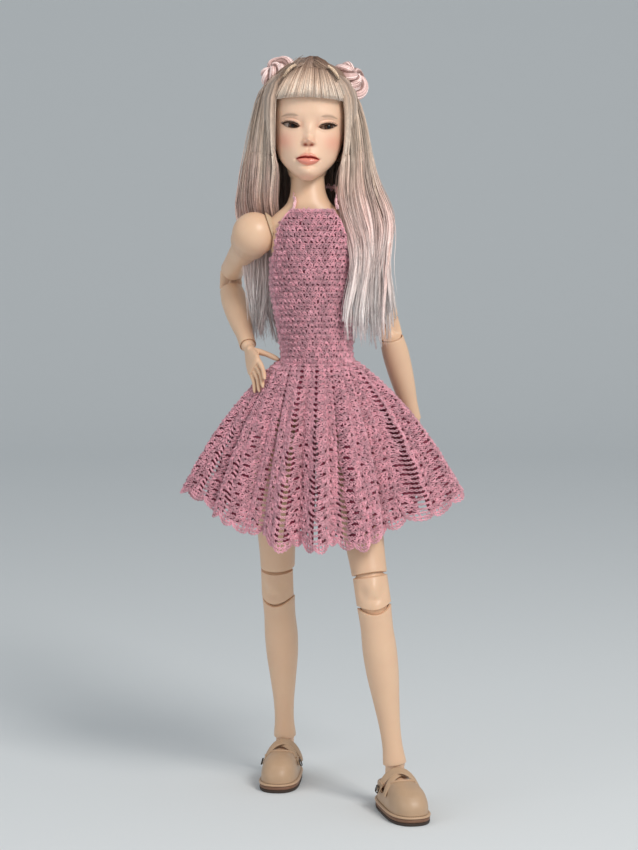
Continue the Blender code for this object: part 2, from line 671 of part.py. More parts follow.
def torso(coat):
    depth = PELVIS_HALF_DEPTH
    width = PELVIS_HALF_WIDTH
    rise = LOWER_JOINT_RISE
    pelvis_shares = ((-0.42, 0.16, 0.62), (-0.30, 0.34, 0.80), (-0.05, 0.86, 1.0),
                     (0.20, 1.0, 1.05), (0.42, 0.92, 0.96))
    rings = [ring(rise * z, width * w, depth * d, TORSO_SIDES, (0, 0.0), 0.9) for z, w, d in pelvis_shares]
    ball = WAIST_BALL
    rings += ball_rings(ball, (130, 112, 94, 76, 58, 40, 20, 0), TORSO_SIDES, rise)
    pelvis = loft("pelvis", rings, coat, "pelvis")
    for side in (RIGHT, LEFT):
        word = SIDE_NAMES[side]
        place = Vector((side * HIP_SPACING / 2, 0, 0))
        socket = lining_radii(HIP_BALL)[1] + GAP
        boolean(pelvis, ball_cutter(f"hip_socket_{word}", socket, place, "pelvis"))
        # The leg opening lets the top of the thigh swing under the pelvis.
        opening = ball_rings(LEG_OPENING, (LEG_OPENING_ANGLE, 98, 120, 150, 180), 16)
        opening = [[point + place for point in level] for level in opening]
        boolean(pelvis, loft(f"leg_opening_{word}", opening, None, "pelvis", cutter=True))

    cup = clear_radius(ball, TORSO_SIDES)
    middle = UPPER_JOINT_RISE / 2
    rings = cup_end_wide(cup, ball * 1.16, 0, 1)[::-1]
    rings.append(ring(middle * 0.55, ball * 1.14, ball * 0.98, TORSO_SIDES))
    rings.append(ring(middle, ball * 1.08, ball * 0.94, TORSO_SIDES))
    rings += ball_rings(ball, (112, 94, 76, 58, 40, 20, 0), TORSO_SIDES, UPPER_JOINT_RISE)
    waist = loft("waist", rings, coat, "waist")

    rings = cup_end_wide(cup, ball * 1.20, 0, 1)[::-1]
    for z, w, d in CHEST_SHARES:
        half_width, half_depth = CHEST_HALF_WIDTH * w, CHEST_HALF_DEPTH * d
        rings.append(ring(SHOULDER_RISE * z, half_width, half_depth, TORSO_SIDES, (0, 0), 0.92))
    neck_low = SHOULDER_RISE * 1.38
    throat, nape = NECK_SET_BACK * 0.6, NECK_SET_BACK * 0.9
    rings.append(ring(neck_low, NECK_RADIUS * 1.22, NECK_RADIUS * 1.12, TORSO_SIDES, (0, throat)))
    neck_centre = SHOULDER_RISE + NECK_RISE
    neck_middle = neck_low + NECK_RISE * 0.16
    rings.append(ring(neck_middle, NECK_RADIUS, NECK_RADIUS, TORSO_SIDES, (0, nape)))
    for level in ball_rings(NECK_BALL, (122, 104, 86, 68, 50, 25, 0), TORSO_SIDES, neck_centre):
        rings.append([point + Vector((0, NECK_SET_BACK, 0)) for point in level])
    chest = loft("chest", rings, coat, "chest")
    for side in (RIGHT, LEFT):
        word = SIDE_NAMES[side]
        socket = lining_radii(SHOULDER_BALL)[1] + GAP
        place = (side * SHOULDER_SPACING / 2, 0, SHOULDER_RISE)
        boolean(chest, ball_cutter(f"shoulder_socket_{word}", socket, place, "chest"))
    # One hollow runs from the waist cup through the rib cage and up the neck.
    bore = LEG_BORE * 1.7
    hollow = [ring(z, bore, bore, 10, (0, y)) for z, y in ((-ball, 0), (SHOULDER_RISE * 0.12, 0))]
    hollow += [ring(SHOULDER_RISE * z, CHEST_HALF_WIDTH * w - CHEST_WALL, CHEST_HALF_DEPTH * d - CHEST_WALL, 10)
               for z, w, d in ((0.36, 0.70, 0.92), (0.52, 0.84, 1.02), (0.68, 0.74, 0.98), (1.0, 0.58, 0.84))]
    hollow += [ring(z, bore, bore, 10, (0, y)) for z, y in
               ((SHOULDER_RISE * 1.24, NECK_SET_BACK * 0.8), (neck_centre + NECK_BALL * 1.2, NECK_SET_BACK))]
    boolean(chest, loft("chest_hollow", hollow, None, "chest", cutter=True))
    return pelvis, waist, chest


# The wide cup of a torso piece, with a level rim a little above the ball's middle.
def cup_end_wide(cup, outside, height, opens, sides=TORSO_SIDES):
    rim = tilted_rim(80, 0)
    outer = rim_ring(cup, rim, sides, height, opens, reach=outside)
    return [outer] + cup_rings(cup, rim, sides, height, opens, 4)


# The inner and outer corner radius of a socket's lining, whose flats clear the ball.
def lining_radii(ball):
    inner = (ball + BALL_GAP) / (math.cos(math.pi / LINING_SIDES) * math.cos(LINING_HALF_STEP))
    return inner, inner + LINING_THICKNESS


# Socket linings: thin ball zones between the sockets and the limb balls.
def lining(name, ball, axis_frame, centre, inward):
    inner, outer = lining_radii(ball)
    angles = [LINING_HOLE + 2 * math.degrees(LINING_HALF_STEP) * n for n in range(3)]
    rings = ball_rings(outer, angles, LINING_SIDES) + ball_rings(inner, angles[::-1], LINING_SIDES)
    turn = Vector((0, 0, 1)).rotation_difference(Vector(inward)).to_matrix().to_4x4()
    move = Matrix.Translation(centre) @ turn
    rings = [[move @ point for point in level] for level in rings]
    return loft(name, rings, lining_coat, axis_frame, cyclic=True)


# Head

# The plain head, by height share: half width, front and back, as shares of the head's half sizes.
HEAD_SHARES = (
    (0.000, 0.23, 0.80, -0.50), (0.030, 0.42, 0.88, -0.20), (0.085, 0.56, 0.92, 0.10),
    (0.16, 0.69, 0.92, 0.38), (0.26, 0.81, 0.93, 0.66), (0.38, 0.92, 0.93, 0.86),
    (0.50, 0.975, 0.95, 0.96), (0.62, 1.0, 0.985, 1.0), (0.74, 0.97, 0.97, 0.98),
    (0.84, 0.86, 0.86, 0.88), (0.92, 0.66, 0.66, 0.70), (0.965, 0.44, 0.44, 0.48),
    (0.990, 0.24, 0.24, 0.27))
# Ring heights of the face: chin, lips, under the nose, its tip, the eyes and the brows.
FACE_LEVEL_SHARES = (0.0, 0.03, 0.085, 0.13, 0.165, 0.185, 0.215, 0.27, 0.305, 0.34, 0.39, 0.46,
                     0.53, 0.62, 0.72, 0.81, 0.90, 0.955, 0.990)


def share_at(table, share, column):
    for low, high in zip(table, table[1:]):
        if share <= high[0]:
            t = (share - low[0]) / (high[0] - low[0])
            t = max(t, 0)
            return low[column] + (high[column] - low[column]) * t
    return table[-1][column]


def bump(x, z, centre_x, centre_z, wide, tall):
    return math.exp(-((x - centre_x) / wide) ** 2 - ((z - centre_z) / tall) ** 2)


# How far the face stands out of the plain head: nose, lips, chin, brow and eye hollows.
def face_relief(x, z):
    unit = HEAD_HEIGHT
    level = z / unit
    across = abs(x) / unit
    nose_ridge = bump(across, level, 0, 0.215, 0.026, 0.032) * 0.068
    nose_ridge += bump(across, level, 0, 0.275, 0.022, 0.055) * 0.040
    wings = bump(across, level, 0.040, 0.192, 0.022, 0.020) * 0.016
    lips = bump(across, level, 0, 0.072, 0.060, 0.012) * 0.028
    lips += bump(across, level, 0, 0.040, 0.050, 0.014) * 0.026
    muzzle = bump(across, level, 0, 0.055, 0.11, 0.075) * 0.022
    chin = bump(across, level, 0, -0.055, 0.065, 0.045) * 0.036
    hollow = bump(across, level, 0.155, 0.325, 0.075, 0.050) * -0.016
    brow = bump(across, level, 0.150, 0.425, 0.12, 0.050) * 0.012
    cheek = bump(across, level, 0.190, 0.190, 0.090, 0.090) * 0.012
    total = nose_ridge + wings + lips + muzzle + chin + hollow + brow + cheek
    return total * unit


# Heights for rings up the head, closer together at the chin and the crown.
def level_shares(count, low_cut=0.0):
    top = HEAD_SHARES[-1][0]
    shares = []
    for number in range(count):
        even_share = number / (count - 1)
        round_share = (1 - math.cos(math.pi * even_share)) / 2
        shares.append(low_cut + (top - low_cut) * (EVEN_SHARE * even_share + (1 - EVEN_SHARE) * round_share))
    return shares


def head_rings(offset, sides, shares, relief=False):
    bottom = -CHIN_DROP
    rings = []
    for share in shares:
        height = bottom + HEAD_HEIGHT * share
        height += offset * (2 * share - 1)
        width = HEAD_HALF_WIDTH * share_at(HEAD_SHARES, share, 1) + offset
        front = HEAD_HALF_DEPTH * share_at(HEAD_SHARES, share, 2) + offset
        back = HEAD_HALF_DEPTH * share_at(HEAD_SHARES, share, 3) + offset
        section = []
        for step in range(sides):
            angle = 2 * math.pi * step / sides
            if relief:
                angle -= FRONT_CROWDING * math.cos(angle)
            x = width * math.cos(angle)
            y_share = math.copysign(abs(math.sin(angle)) ** 0.88, math.sin(angle))
            y = (back - front) / 2 + (back + front) / 2 * y_share
            if relief and y_share < 0:
                y -= face_relief(x, height) * min(1, -2 * y_share)
            section.append(Vector((x, y, height)))
        rings.append(section)
    rings.append([Vector((0, 0, bottom + HEAD_HEIGHT + offset))])
    return rings


# The flat joint that parts the head cap from the face shell.
def half_space(name, frame, behind):
    reach = HEAD_HEIGHT * 1.5
    middle = Vector((0, HEAD_HALF_DEPTH * 0.30, HEAD_HEIGHT * 0.56))
    if behind:
        mesh = box_mesh((-reach, -GAP / 2, -reach), (reach, reach * 2, reach))
    else:
        mesh = box_mesh((-reach, -reach * 2, -reach), (reach, GAP / 2, reach))
    turn = Matrix.Rotation(math.radians(CAP_PLANE_SLOPE), 4, "X")
    bmesh.ops.transform(mesh, verts=mesh.verts, matrix=Matrix.Translation(middle) @ turn)
    return add_object(name, mesh, None, frame, cutter=True)


def eye_centre(side):
    return Vector((side * EYE_SPACING / 2, -EYE_SET, EYE_RISE))


def head_hollow(name):
    rings = head_rings(-HEAD_WALL, 14, level_shares(7, HOLLOW_LOW_SHARE))
    hollow = loft(name, rings, None, "head", cutter=True)
    floor = ball_cutter(name + "_floor", NECK_BALL + BALL_GAP + NECK_FLOOR, (0, 0, 0), "head")
    boolean(hollow, floor)
    return hollow


def head(coat, eye_coat):
    shell = loft("face_shell", head_rings(0, 26, FACE_LEVEL_SHARES, relief=True), coat, "head")
    cap = loft("head_cap", head_rings(0, 18, level_shares(9, HOLLOW_LOW_SHARE)), coat, "head")
    boolean(shell, head_hollow("face_hollow"))
    boolean(shell, half_space("cap_side", "head", True))
    boolean(cap, head_hollow("cap_hollow"))
    boolean(cap, half_space("face_side", "head", False))
    socket = NECK_BALL + BALL_GAP
    below = [ring(-socket * z, NECK_RADIUS * w, NECK_RADIUS * w, 14) for z, w in ((1.5, 2.0), (0.2, 0.96))]
    boolean(shell, loft("neck_clearance", below, None, "head", cutter=True))
    boolean(shell, ball_cutter("neck_socket", socket, (0, 0, 0), "head"))
    slot_half = NECK_WIRE + 5 * GAP
    slot_reach = (NECK_BALL + NECK_FLOOR) * 0.48
    slot = box_cutter("hook_slot", (-slot_half, -slot_reach, 0),
                      (slot_half, slot_reach, socket + NECK_FLOOR * 1.6), "head")
    boolean(shell, slot)
    for side in (RIGHT, LEFT):
        word = SIDE_NAMES[side]
        centre = eye_centre(side)
        boolean(shell, ball_cutter(f"eye_seat_{word}", EYE_RADIUS + GAP, centre, "head", 12))
        opening = bmesh.new()
        bmesh.ops.create_uvsphere(opening, u_segments=10, v_segments=8, radius=1)
        bmesh.ops.scale(opening, verts=opening.verts,
                        vec=(EYE_HALF_LENGTH, EYE_RADIUS * 1.6, EYE_HALF_OPENING))
        bmesh.ops.translate(opening, verts=opening.verts,
                            vec=(side * EYE_SPACING / 2, -HEAD_HALF_DEPTH * 0.93, EYE_RISE))
        boolean(shell, add_object(f"eye_opening_{word}", opening, None, "head", cutter=True))
        eye = bmesh.new()
        bmesh.ops.create_uvsphere(eye, u_segments=12, v_segments=6, radius=EYE_RADIUS)
        bmesh.ops.translate(eye, verts=eye.verts, vec=centre)
        add_object(f"eye_{word}", eye, eye_coat, "head")
    return shell, cap


# Wig

# The round top of the face opening, from the doll's right to its left.
def arch_points(half_width, rise, start, y, steps=10):
    points = []
    for step in range(steps + 1):
        angle = math.pi - start - (math.pi - 2 * start) * step / steps
        points.append(Vector((half_width * math.cos(angle), y, FRINGE_ARCH_LOW + rise * math.sin(angle))))
    return points


def wig(coat, end_coat):
    crown_rings = head_rings(WIG_THICKNESS, 16, level_shares(9, NAPE_SHARE))
    crown = loft("wig_crown", crown_rings, coat, "head")
    inner = loft("wig_inside", head_rings(WIG_CLEARANCE, 16, level_shares(9)), None, "head", cutter=True)
    boolean(crown, inner)
    # The face opening is an arch cut from front to back through the front half.
    half_face = HEAD_HALF_WIDTH * 0.84
    arch = []
    for y in (-HEAD_HALF_DEPTH * 2, -HEAD_HALF_DEPTH * 0.24):
        outline = [Vector((-half_face, y, -CHIN_DROP * 3))]
        outline += arch_points(half_face, FRINGE_ARCH_RISE, 0, y)
        outline.append(Vector((half_face, y, -CHIN_DROP * 3)))
        arch.append(outline)
    boolean(crown, loft("face_arch", arch, None, "head", cutter=True))
    boolean(crown, ball_cutter("nape_clear", NECK_BALL + NECK_FLOOR + GAP, (0, 0, 0), "head"))

    fringe = loft("fringe", head_rings(FRINGE_THICKNESS + WIG_CLEARANCE, 28, level_shares(14)), coat, "head")
    under = loft("fringe_inside", head_rings(WIG_CLEARANCE, 28, level_shares(14), relief=True), None, "head", cutter=True)
    boolean(fringe, under)
    band = []
    half_fringe = half_face - GAP * 2
    rise = FRINGE_ARCH_RISE - GAP * 2
    start = math.asin((FRINGE_LOW - FRINGE_ARCH_LOW) / rise)
    for y in (-HEAD_HALF_DEPTH * 2, -HEAD_HALF_DEPTH * 0.50):
        band.append(arch_points(half_fringe, rise, start, y))
    boolean(fringe, loft("fringe_band", band, None, "head", cutter=True), "INTERSECT")

    clear = loft("wig_clear", head_rings(WIG_THICKNESS + 2 * GAP, 20, level_shares(10)), None, "head", cutter=True)
    back_shares = ((0.0, 1.00, 0.26, 0.02), (0.10, 1.10, 0.26, 0.02), (0.26, 1.22, 0.24, 0.06),
                   (0.44, 1.26, 0.22, 0.14), (0.66, 1.22, 0.20, 0.16), (0.86, 1.12, 0.15, 0.12), (1.0, 0.86, 0.09, 0.08))
    rings = []
    for along, width, depth, back in back_shares:
        middle = (HEAD_HALF_WIDTH * 0.06, HEAD_HALF_DEPTH * (0.82 + back))
        rings.append(ring(HAIR_BACK_TOP - HAIR_BACK_LENGTH * along, HEAD_HALF_WIDTH * width,
                          HEAD_HALF_DEPTH * depth, 16, middle, 0.9))
    boolean(loft("hair_back", rings, coat, "head"), clear)

    for side, route, width, depth in (
            (RIGHT, RIGHT_LOCK, 0.0040, 0.0036), (LEFT, LEFT_LOCK, 0.0098, 0.0046)):
        word = SIDE_NAMES[side]
        path = smooth_path([Vector(p) for p in route], 2)
        widths = [width * s for s in (0.45, 0.80, 1.0, 1.05, 1.0, 0.85, 0.35)]
        depths = [depth * s for s in (0.7, 0.9, 1.0, 1.0, 0.95, 0.8, 0.4)]
        lock = loft(f"lock_{word}", sweep_rings(path, widths, depths, 8), end_coat, "head")
        boolean(lock, clear)

    for side, radius, place in ((RIGHT, BUN_RIGHT_RADIUS, RIGHT_BUN), (LEFT, BUN_LEFT_RADIUS, LEFT_BUN)):
        word = SIDE_NAMES[side]
        bun_shares = ((-0.85, 0.0), (-0.70, 0.60), (-0.20, 1.0), (0.12, 0.96), (0.30, 0.72),
                      (0.46, 0.74), (0.70, 0.48), (0.80, 0.0))
        rings = []
        for height, reach in bun_shares:
            if reach:
                rings.append(ring(radius * height, radius * reach, radius * reach, 12))
            else:
                rings.append([Vector((0, 0, radius * height))])
        outward = Vector((side * 0.75, -0.12, 0.65))
        turn = Vector((0, 0, 1)).rotation_difference(outward).to_matrix().to_4x4()
        move = Matrix.Translation(place) @ turn
        rings = [[move @ point for point in level] for level in rings]
        bun = loft(f"bun_{word}", rings, end_coat, "head")
        boolean(bun, clear)


# Hooks

# An S-hook: one ring round the seat's bar and one ring for the elastic's loop.
def s_hook(name, coat, frame, eye, wire, length):
    path = [Vector((0, eye * math.sin(math.radians(a)), eye * math.cos(math.radians(a))))
            for a in (-50, -95, -135, -180, -225, -265, -310)]
    upper = [Vector((0, -eye * math.sin(math.radians(a)), length - eye * math.cos(math.radians(a))))
             for a in (-310, -260, -220, -180, -140, -100, -50)]
    return tube(name, path + upper, wire, 5, coat, frame)


def neck_hook(coat):
    rest = NECK_BALL + BALL_GAP + NECK_FLOOR + NECK_WIRE + GAP
    curl = NECK_WIRE * 3.4
    lower_eye = NECK_WIRE * 3.2
    path = []
    for angle in (160, 200, 240, 280, 320, 350):
        turned = math.radians(angle)
        height = -NECK_BALL * 0.62 + lower_eye * math.cos(turned)
        path.append(Vector((lower_eye * math.sin(turned), 0, height)))
    path.append(Vector((0, 0, 0)))
    path.append(Vector((0, 0, rest * 0.8)))
    for angle in (-90, -45, 0, 45, 88):
        turned = math.radians(angle)
        path.append(Vector((curl + curl * math.sin(turned), 0, rest + curl * math.cos(turned))))
    return tube("neck_hook", path, NECK_WIRE, 6, coat, "neck", side=(0, 1, 0))


# Elastic routes

def elastic(coat):
    arm_path = []
    for side in (RIGHT, LEFT):
        word = SIDE_NAMES[side]
        wrist = frames[f"wrist_hook_{word}"] @ Vector((0, 0, WRIST_EYE * 5.6 + WRIST_WIRE + GAP))
        half = [wrist]
        half.append(frames[f"forearm_{word}"] @ Vector((0, 0, -FOREARM_LENGTH * 0.4)))
        half.append(frames[f"forearm_{word}"].translation)
        half.append(frames[f"elbow_{word}"].translation)
        half.append(frames[f"upper_arm_{word}"] @ Vector((0, 0, -UPPER_ARM_LENGTH * 0.45)))
        half.append(frames[f"upper_arm_{word}"] @ Vector((-side * ARM_BORE * 0.6, 0, -ARM_BORE * 0.6)))
        inner_end = SHOULDER_SPACING * 0.27
        slope = (SHOULDER_SPACING / 2 - inner_end) * SHOULDER_ELASTIC_SLOPE
        half.append(frames["chest"] @ Vector((side * inner_end, 0, SHOULDER_RISE + slope)))
        arm_path += half if side == RIGHT else half[::-1]
    centre = frames["chest"] @ Vector((0, -LEG_BORE * 0.8, SHOULDER_RISE))
    arm_path.insert(7, centre)
    path = seen_from("pelvis", smooth_path(arm_path, 2))
    tube("arm_elastic", path, ARM_ELASTIC_RADIUS, 5, coat, "pelvis")
    ends = seen_from("pelvis", [frames[f"wrist_hook_{SIDE_NAMES[side]}"] @ Vector((0, 0, -WRIST_BALL))
                                for side in (RIGHT, LEFT)])
    arm_bore = tube("arm_bore", [ends[0]] + path + [ends[1]], ARM_BORE, BORE_SIDES, None, "pelvis", cutter=True)

    leg_bores = {}
    for side in (RIGHT, LEFT):
        word = SIDE_NAMES[side]
        aside = side * LEG_ELASTIC_RADIUS * 1.5
        start = NECK_BALL * 0.62 + NECK_WIRE * 4.2 + GAP
        knots = [frames["neck"] @ Vector((aside, 0, -start))]
        knots.append(frames["chest"] @ Vector((aside, NECK_SET_BACK * 0.9, SHOULDER_RISE * 0.55)))
        knots.append(frames["chest"] @ Vector((aside * 1.4, 0, 0)))
        knots.append(frames["waist"] @ Vector((aside * 2.2, 0, 0)))
        knots.append(frames["pelvis"] @ Vector((side * HIP_SPACING * 0.22, 0, LOWER_JOINT_RISE * 0.40)))
        knots.append(frames[f"thigh_{word}"].translation)
        knots.append(frames[f"thigh_{word}"] @ Vector((0, 0, -THIGH_LENGTH * 0.35)))
        knots.append(frames[f"knee_{word}"].translation)
        knots.append(frames[f"shin_{word}"].translation)
        knots.append(frames[f"shin_{word}"] @ Vector((0, 0, -SHIN_LENGTH * 0.5)))
        knots.append(frames[f"ankle_hook_{word}"] @ Vector((0, 0, ANKLE_EYE * 5.6 + ANKLE_WIRE + GAP)))
        path = seen_from("pelvis", smooth_path(knots, 2))
        tube(f"leg_elastic_{word}", path, LEG_ELASTIC_RADIUS, 5, coat, "pelvis")
        end = seen_from("pelvis", [frames[f"ankle_hook_{word}"] @ Vector((0, 0, -ANKLE_BALL))])
        name = f"leg_bore_{word}"
        leg_bores[side] = tube(name, path + end, LEG_BORE, BORE_SIDES, None, "pelvis", cutter=True)
    return arm_bore, leg_bores


# Dress

# The body's outline under the dress, by height above the lower waist joint: half width and depth.
def dress_ring_sizes(height):
    upper = UPPER_JOINT_RISE
    table = [(-LOWER_JOINT_RISE * 0.30, PELVIS_HALF_WIDTH * 0.90, PELVIS_HALF_DEPTH * 1.02),
             (0, WAIST_BALL * 1.22, WAIST_BALL * 1.16), (upper * 0.5, WAIST_BALL * 1.20, WAIST_BALL * 1.08),
             (upper, WAIST_BALL * 1.28, WAIST_BALL * 1.16)]
    for z, w, d in CHEST_SHARES[1:]:
        half_width, half_depth = CHEST_HALF_WIDTH * max(w, 0.86), CHEST_HALF_DEPTH * max(d, 0.72)
        table.append((upper + SHOULDER_RISE * z, half_width, half_depth))
    return share_at(table, height, 1), share_at(table, height, 2)


def lean(height):
    return -math.sin(math.radians(-CHEST_ROLL)) * max(0, height - UPPER_JOINT_RISE)


def bodice(coat):
    sides, levels = 26, 5
    low = GAP * 2
    under_arm = UPPER_JOINT_RISE + SHOULDER_RISE * 0.68
    neckline = UPPER_JOINT_RISE + SHOULDER_RISE * 1.28
    shells = []
    for spare in (DRESS_EASE + CLOTH, DRESS_EASE):
        rings = []
        for level in range(levels):
            share = level / (levels - 1)
            section = []
            for step in range(sides):
                angle = 2 * math.pi * step / sides
                front = max(0, -math.sin(angle))
                panel = min(1, max(0, (front - 0.35) / 0.45))
                top = under_arm + (neckline - under_arm) * panel
                height = low + (top - low) * share
                width, depth = dress_ring_sizes(height)
                x = (width + spare) * math.cos(angle) + lean(height)
                y = (depth + spare) * math.sin(angle)
                section.append(Vector((x, y, height)))
            rings.append(section)
        shells.append(rings)
    rings = shells[0] + shells[1][::-1]
    return loft("bodice", rings, coat, "waist", cyclic=True)


# Hem by direction from the front, turning to the doll's left: reach as a share of the hem reach
# and drop as a share of the skirt's length.
HEM_SHARES = (
    (0, 0.93, 0.965), (12, 0.80, 0.93), (25, 1.03, 0.955), (42, 0.94, 0.86), (62, 1.26, 0.80),
    (80, 1.50, 0.675), (96, 1.16, 0.72), (118, 0.72, 0.84), (138, 0.60, 0.88), (158, 0.84, 0.92),
    (180, 0.66, 0.90), (204, 0.92, 0.90), (226, 0.74, 0.86), (250, 1.12, 0.80), (272, 1.36, 0.695),
    (294, 1.08, 0.80), (312, 1.00, 0.88), (326, 0.84, 0.88), (340, 1.03, 0.955), (350, 0.84, 0.93),
    (360, 0.93, 0.965))


def wave_at(table, place, column):
    for low, high in zip(table, table[1:]):
        if place <= high[0]:
            t = (place - low[0]) / (high[0] - low[0])
            t = (1 - math.cos(math.pi * t)) / 2
            return low[column] + (high[column] - low[column]) * t
    return table[-1][column]


def skirt(coat):
    sides, levels = 60, 5
    shells = []
    top_width, top_depth = dress_ring_sizes(0)
    for spare in (CLOTH, 0):
        rings = []
        for level in range(levels):
            share = level / (levels - 1)
            section = []
            for step in range(sides):
                place = 360.0 * step / sides
                angle = math.radians(place - 90)
                reach = HEM_RADIUS * wave_at(HEM_SHARES, place, 1)
                drop = SKIRT_LENGTH * wave_at(HEM_SHARES, place, 2)
                flare = share ** 0.82
                x = (top_width + DRESS_EASE) * math.cos(angle) * (1 - flare) + reach * math.cos(angle) * flare
                y = (top_depth + DRESS_EASE) * math.sin(angle) * (1 - flare) + reach * math.sin(angle) * flare
                out = Vector((math.cos(angle), math.sin(angle), 0))
                point = Vector((x, y, -drop * share)) + out * spare
                section.append(point)
            rings.append(section)
        shells.append(rings)
    rings = shells[0] + shells[1][::-1]
    return loft("skirt", rings, coat, "waist", cyclic=True)


def halter_cord(coat):
    top = UPPER_JOINT_RISE + SHOULDER_RISE * 1.30 + CORD_RADIUS + GAP
    shift = lean(top)
    depth = CHEST_HALF_DEPTH * 0.92
    around = NECK_RADIUS * 1.12 + CORD_RADIUS
    rise = NECK_RISE * 0.33
    half = NECKLINE_HALF_WIDTH
    knots = [(-half, -depth * 0.72, top), (-around * 1.12, -depth * 0.25, top + rise * 0.45),
             (-around, NECK_SET_BACK, top + rise * 0.86), (-around * 0.7, NECK_SET_BACK + around * 0.86, top + rise),
             (0, NECK_SET_BACK + around * 1.2, top + rise * 1.05)]
    knots += [(-x, y, z) for x, y, z in knots[-2::-1]]
    path = smooth_path([Vector((x + shift, y, z)) for x, y, z in knots], 2)
    return tube("halter_cord", path, CORD_RADIUS, 6, coat, "waist", side=(0, 1, 0))


# Shoes, in the foot's frame: the floor is the ankle's height below the origin

# The outline shrinks towards its middle, less so round the heel.
def shoe_outline(spare, height, sides=20, shrink=1.0):
    front = -SHOE_LENGTH * 0.70
    back = SHOE_LENGTH * 0.30
    middle = (front + back) / 2
    points = []
    for step in range(sides):
        angle = 2 * math.pi * step / sides
        along = -math.sin(angle)
        waist_share = 0.90 + 0.12 * along - 0.06 * math.cos(math.pi * along)
        heel_share = min(1, max(0, -along * 1.6))
        size = shrink + (1 - shrink) * heel_share * 0.85
        width = (SHOE_HALF_WIDTH * waist_share + spare) * size
        reach = (SHOE_LENGTH / 2 + spare) * size
        x = width * math.copysign(abs(math.cos(angle)) ** 0.82, math.cos(angle))
        y = middle - reach * math.copysign(abs(along) ** 0.92, along)
        points.append(Vector((x, y, height)))
    return points


def shoe(side, upper_coat, sole_coat, buckle_coat):
    word = SIDE_NAMES[side]
    frame = f"foot_{word}"
    floor = -ANKLE_HEIGHT
    top = floor + SOLE_THICKNESS
    rings = [shoe_outline(-0.03 * SHOE_HALF_WIDTH, floor),
             shoe_outline(0.02 * SHOE_HALF_WIDTH, floor + SOLE_THICKNESS * 0.2),
             shoe_outline(0.02 * SHOE_HALF_WIDTH, top)]
    loft(f"outsole_{word}", rings, sole_coat, frame)

    dome_shares = ((0.0, 1.0), (0.30, 0.99), (0.55, 0.92), (0.78, 0.78), (0.93, 0.56), (1.0, 0.30))
    base = top + GAP
    inset = -0.07 * SHOE_HALF_WIDTH
    outer = [shoe_outline(inset, base + UPPER_HEIGHT * h, shrink=s) for h, s in dome_shares]
    upper = loft(f"shoe_upper_{word}", outer, upper_coat, frame)
    inner = [shoe_outline(inset - LEATHER, base - CUTTER_OVERRUN, shrink=1.0)]
    inner += [shoe_outline(inset - LEATHER, base + (UPPER_HEIGHT - LEATHER) * h, shrink=s) for h, s in dome_shares]
    boolean(upper, loft(f"shoe_inside_{word}", inner, None, frame, cutter=True))
    # The mouth, from the instep back to the heel, and a cut-out low in each side.
    mouth = []
    for height in (floor + UPPER_HEIGHT * 0.98, floor + UPPER_HEIGHT * 2):
        mouth.append(ring(height, SHOE_HALF_WIDTH * 0.98, SHOE_LENGTH * 0.335, 14, (0, SHOE_LENGTH * 0.035), 0.9))
    boolean(upper, loft(f"shoe_mouth_{word}", mouth, None, frame, cutter=True))
    side_cut = []
    for x in (-SHOE_HALF_WIDTH * 1.2, SHOE_HALF_WIDTH * 1.2):
        outline = []
        for step in range(8):
            angle = 2 * math.pi * step / 8
            outline.append(Vector((x, -SHOE_LENGTH * 0.09 + SHOE_LENGTH * 0.095 * math.cos(angle),
                                   base + UPPER_HEIGHT * 0.80 + UPPER_HEIGHT * 0.42 * math.sin(angle))))
        side_cut.append(outline)
    boolean(upper, loft(f"side_cut_{word}", side_cut, None, frame, cutter=True))

    # Two crossed straps over the instep, the wide one on top.
    half = SHOE_HALF_WIDTH * 0.82
    crown = -ANKLE_HEIGHT * 0.138
    low = base + UPPER_HEIGHT * 0.42
    for number, (lean_way, lift, share) in enumerate(((side, STRAP_THICKNESS + 3 * GAP, 1.0), (-side, 0, 0.8))):
        route = []
        for step in range(9):
            turn = math.pi * (1 - step / 8)
            x = math.cos(turn)
            route.append(Vector((half * x * (0.98 + 0.02 * abs(x)), -SHOE_LENGTH * (0.165 + 0.10 * lean_way * x),
                                 low + (crown + lift - low) * math.sin(turn) ** 1.5)))
        width = STRAP_WIDTH * share
        name = f"strap_{('upper', 'lower')[number]}_{word}"
        rings = band_rings(route, width, STRAP_THICKNESS)
        loft(name, rings, upper_coat, frame)
        place = route[0] if lean_way == side else route[-1]
        outward = math.copysign(1, place.x)
        centre = place + Vector((outward * (STRAP_THICKNESS + GAP * 3), 0, STRAP_WIDTH * 0.2))
        size = STRAP_WIDTH * 0.36
        buckle_name = f"buckle_{('upper', 'lower')[number]}_{word}"
        add_object(buckle_name, box_mesh(centre - Vector((GAP, size, size)), centre + Vector((GAP, size, size))),
                   buckle_coat, frame)


# A flat band along a route, with its wide side across the route.
def band_rings(route, width, thickness):
    rings = []
    for number, point in enumerate(route):
        before, after = route[max(number - 1, 0)], route[min(number + 1, len(route) - 1)]
        along = (after - before).normalized()
        across = Vector((0, 1, 0))
        across = (across - across.dot(along) * along).normalized()
        out = across.cross(along).normalized()
        if out.dot(Vector((point.x, 0, point.z + ANKLE_HEIGHT * 0.6))) < 0:
            out = -out
        corners = [point - across * width / 2, point + across * width / 2,
                   point + across * width / 2 + out * thickness, point - across * width / 2 + out * thickness]
        rings.append(corners)
    return rings


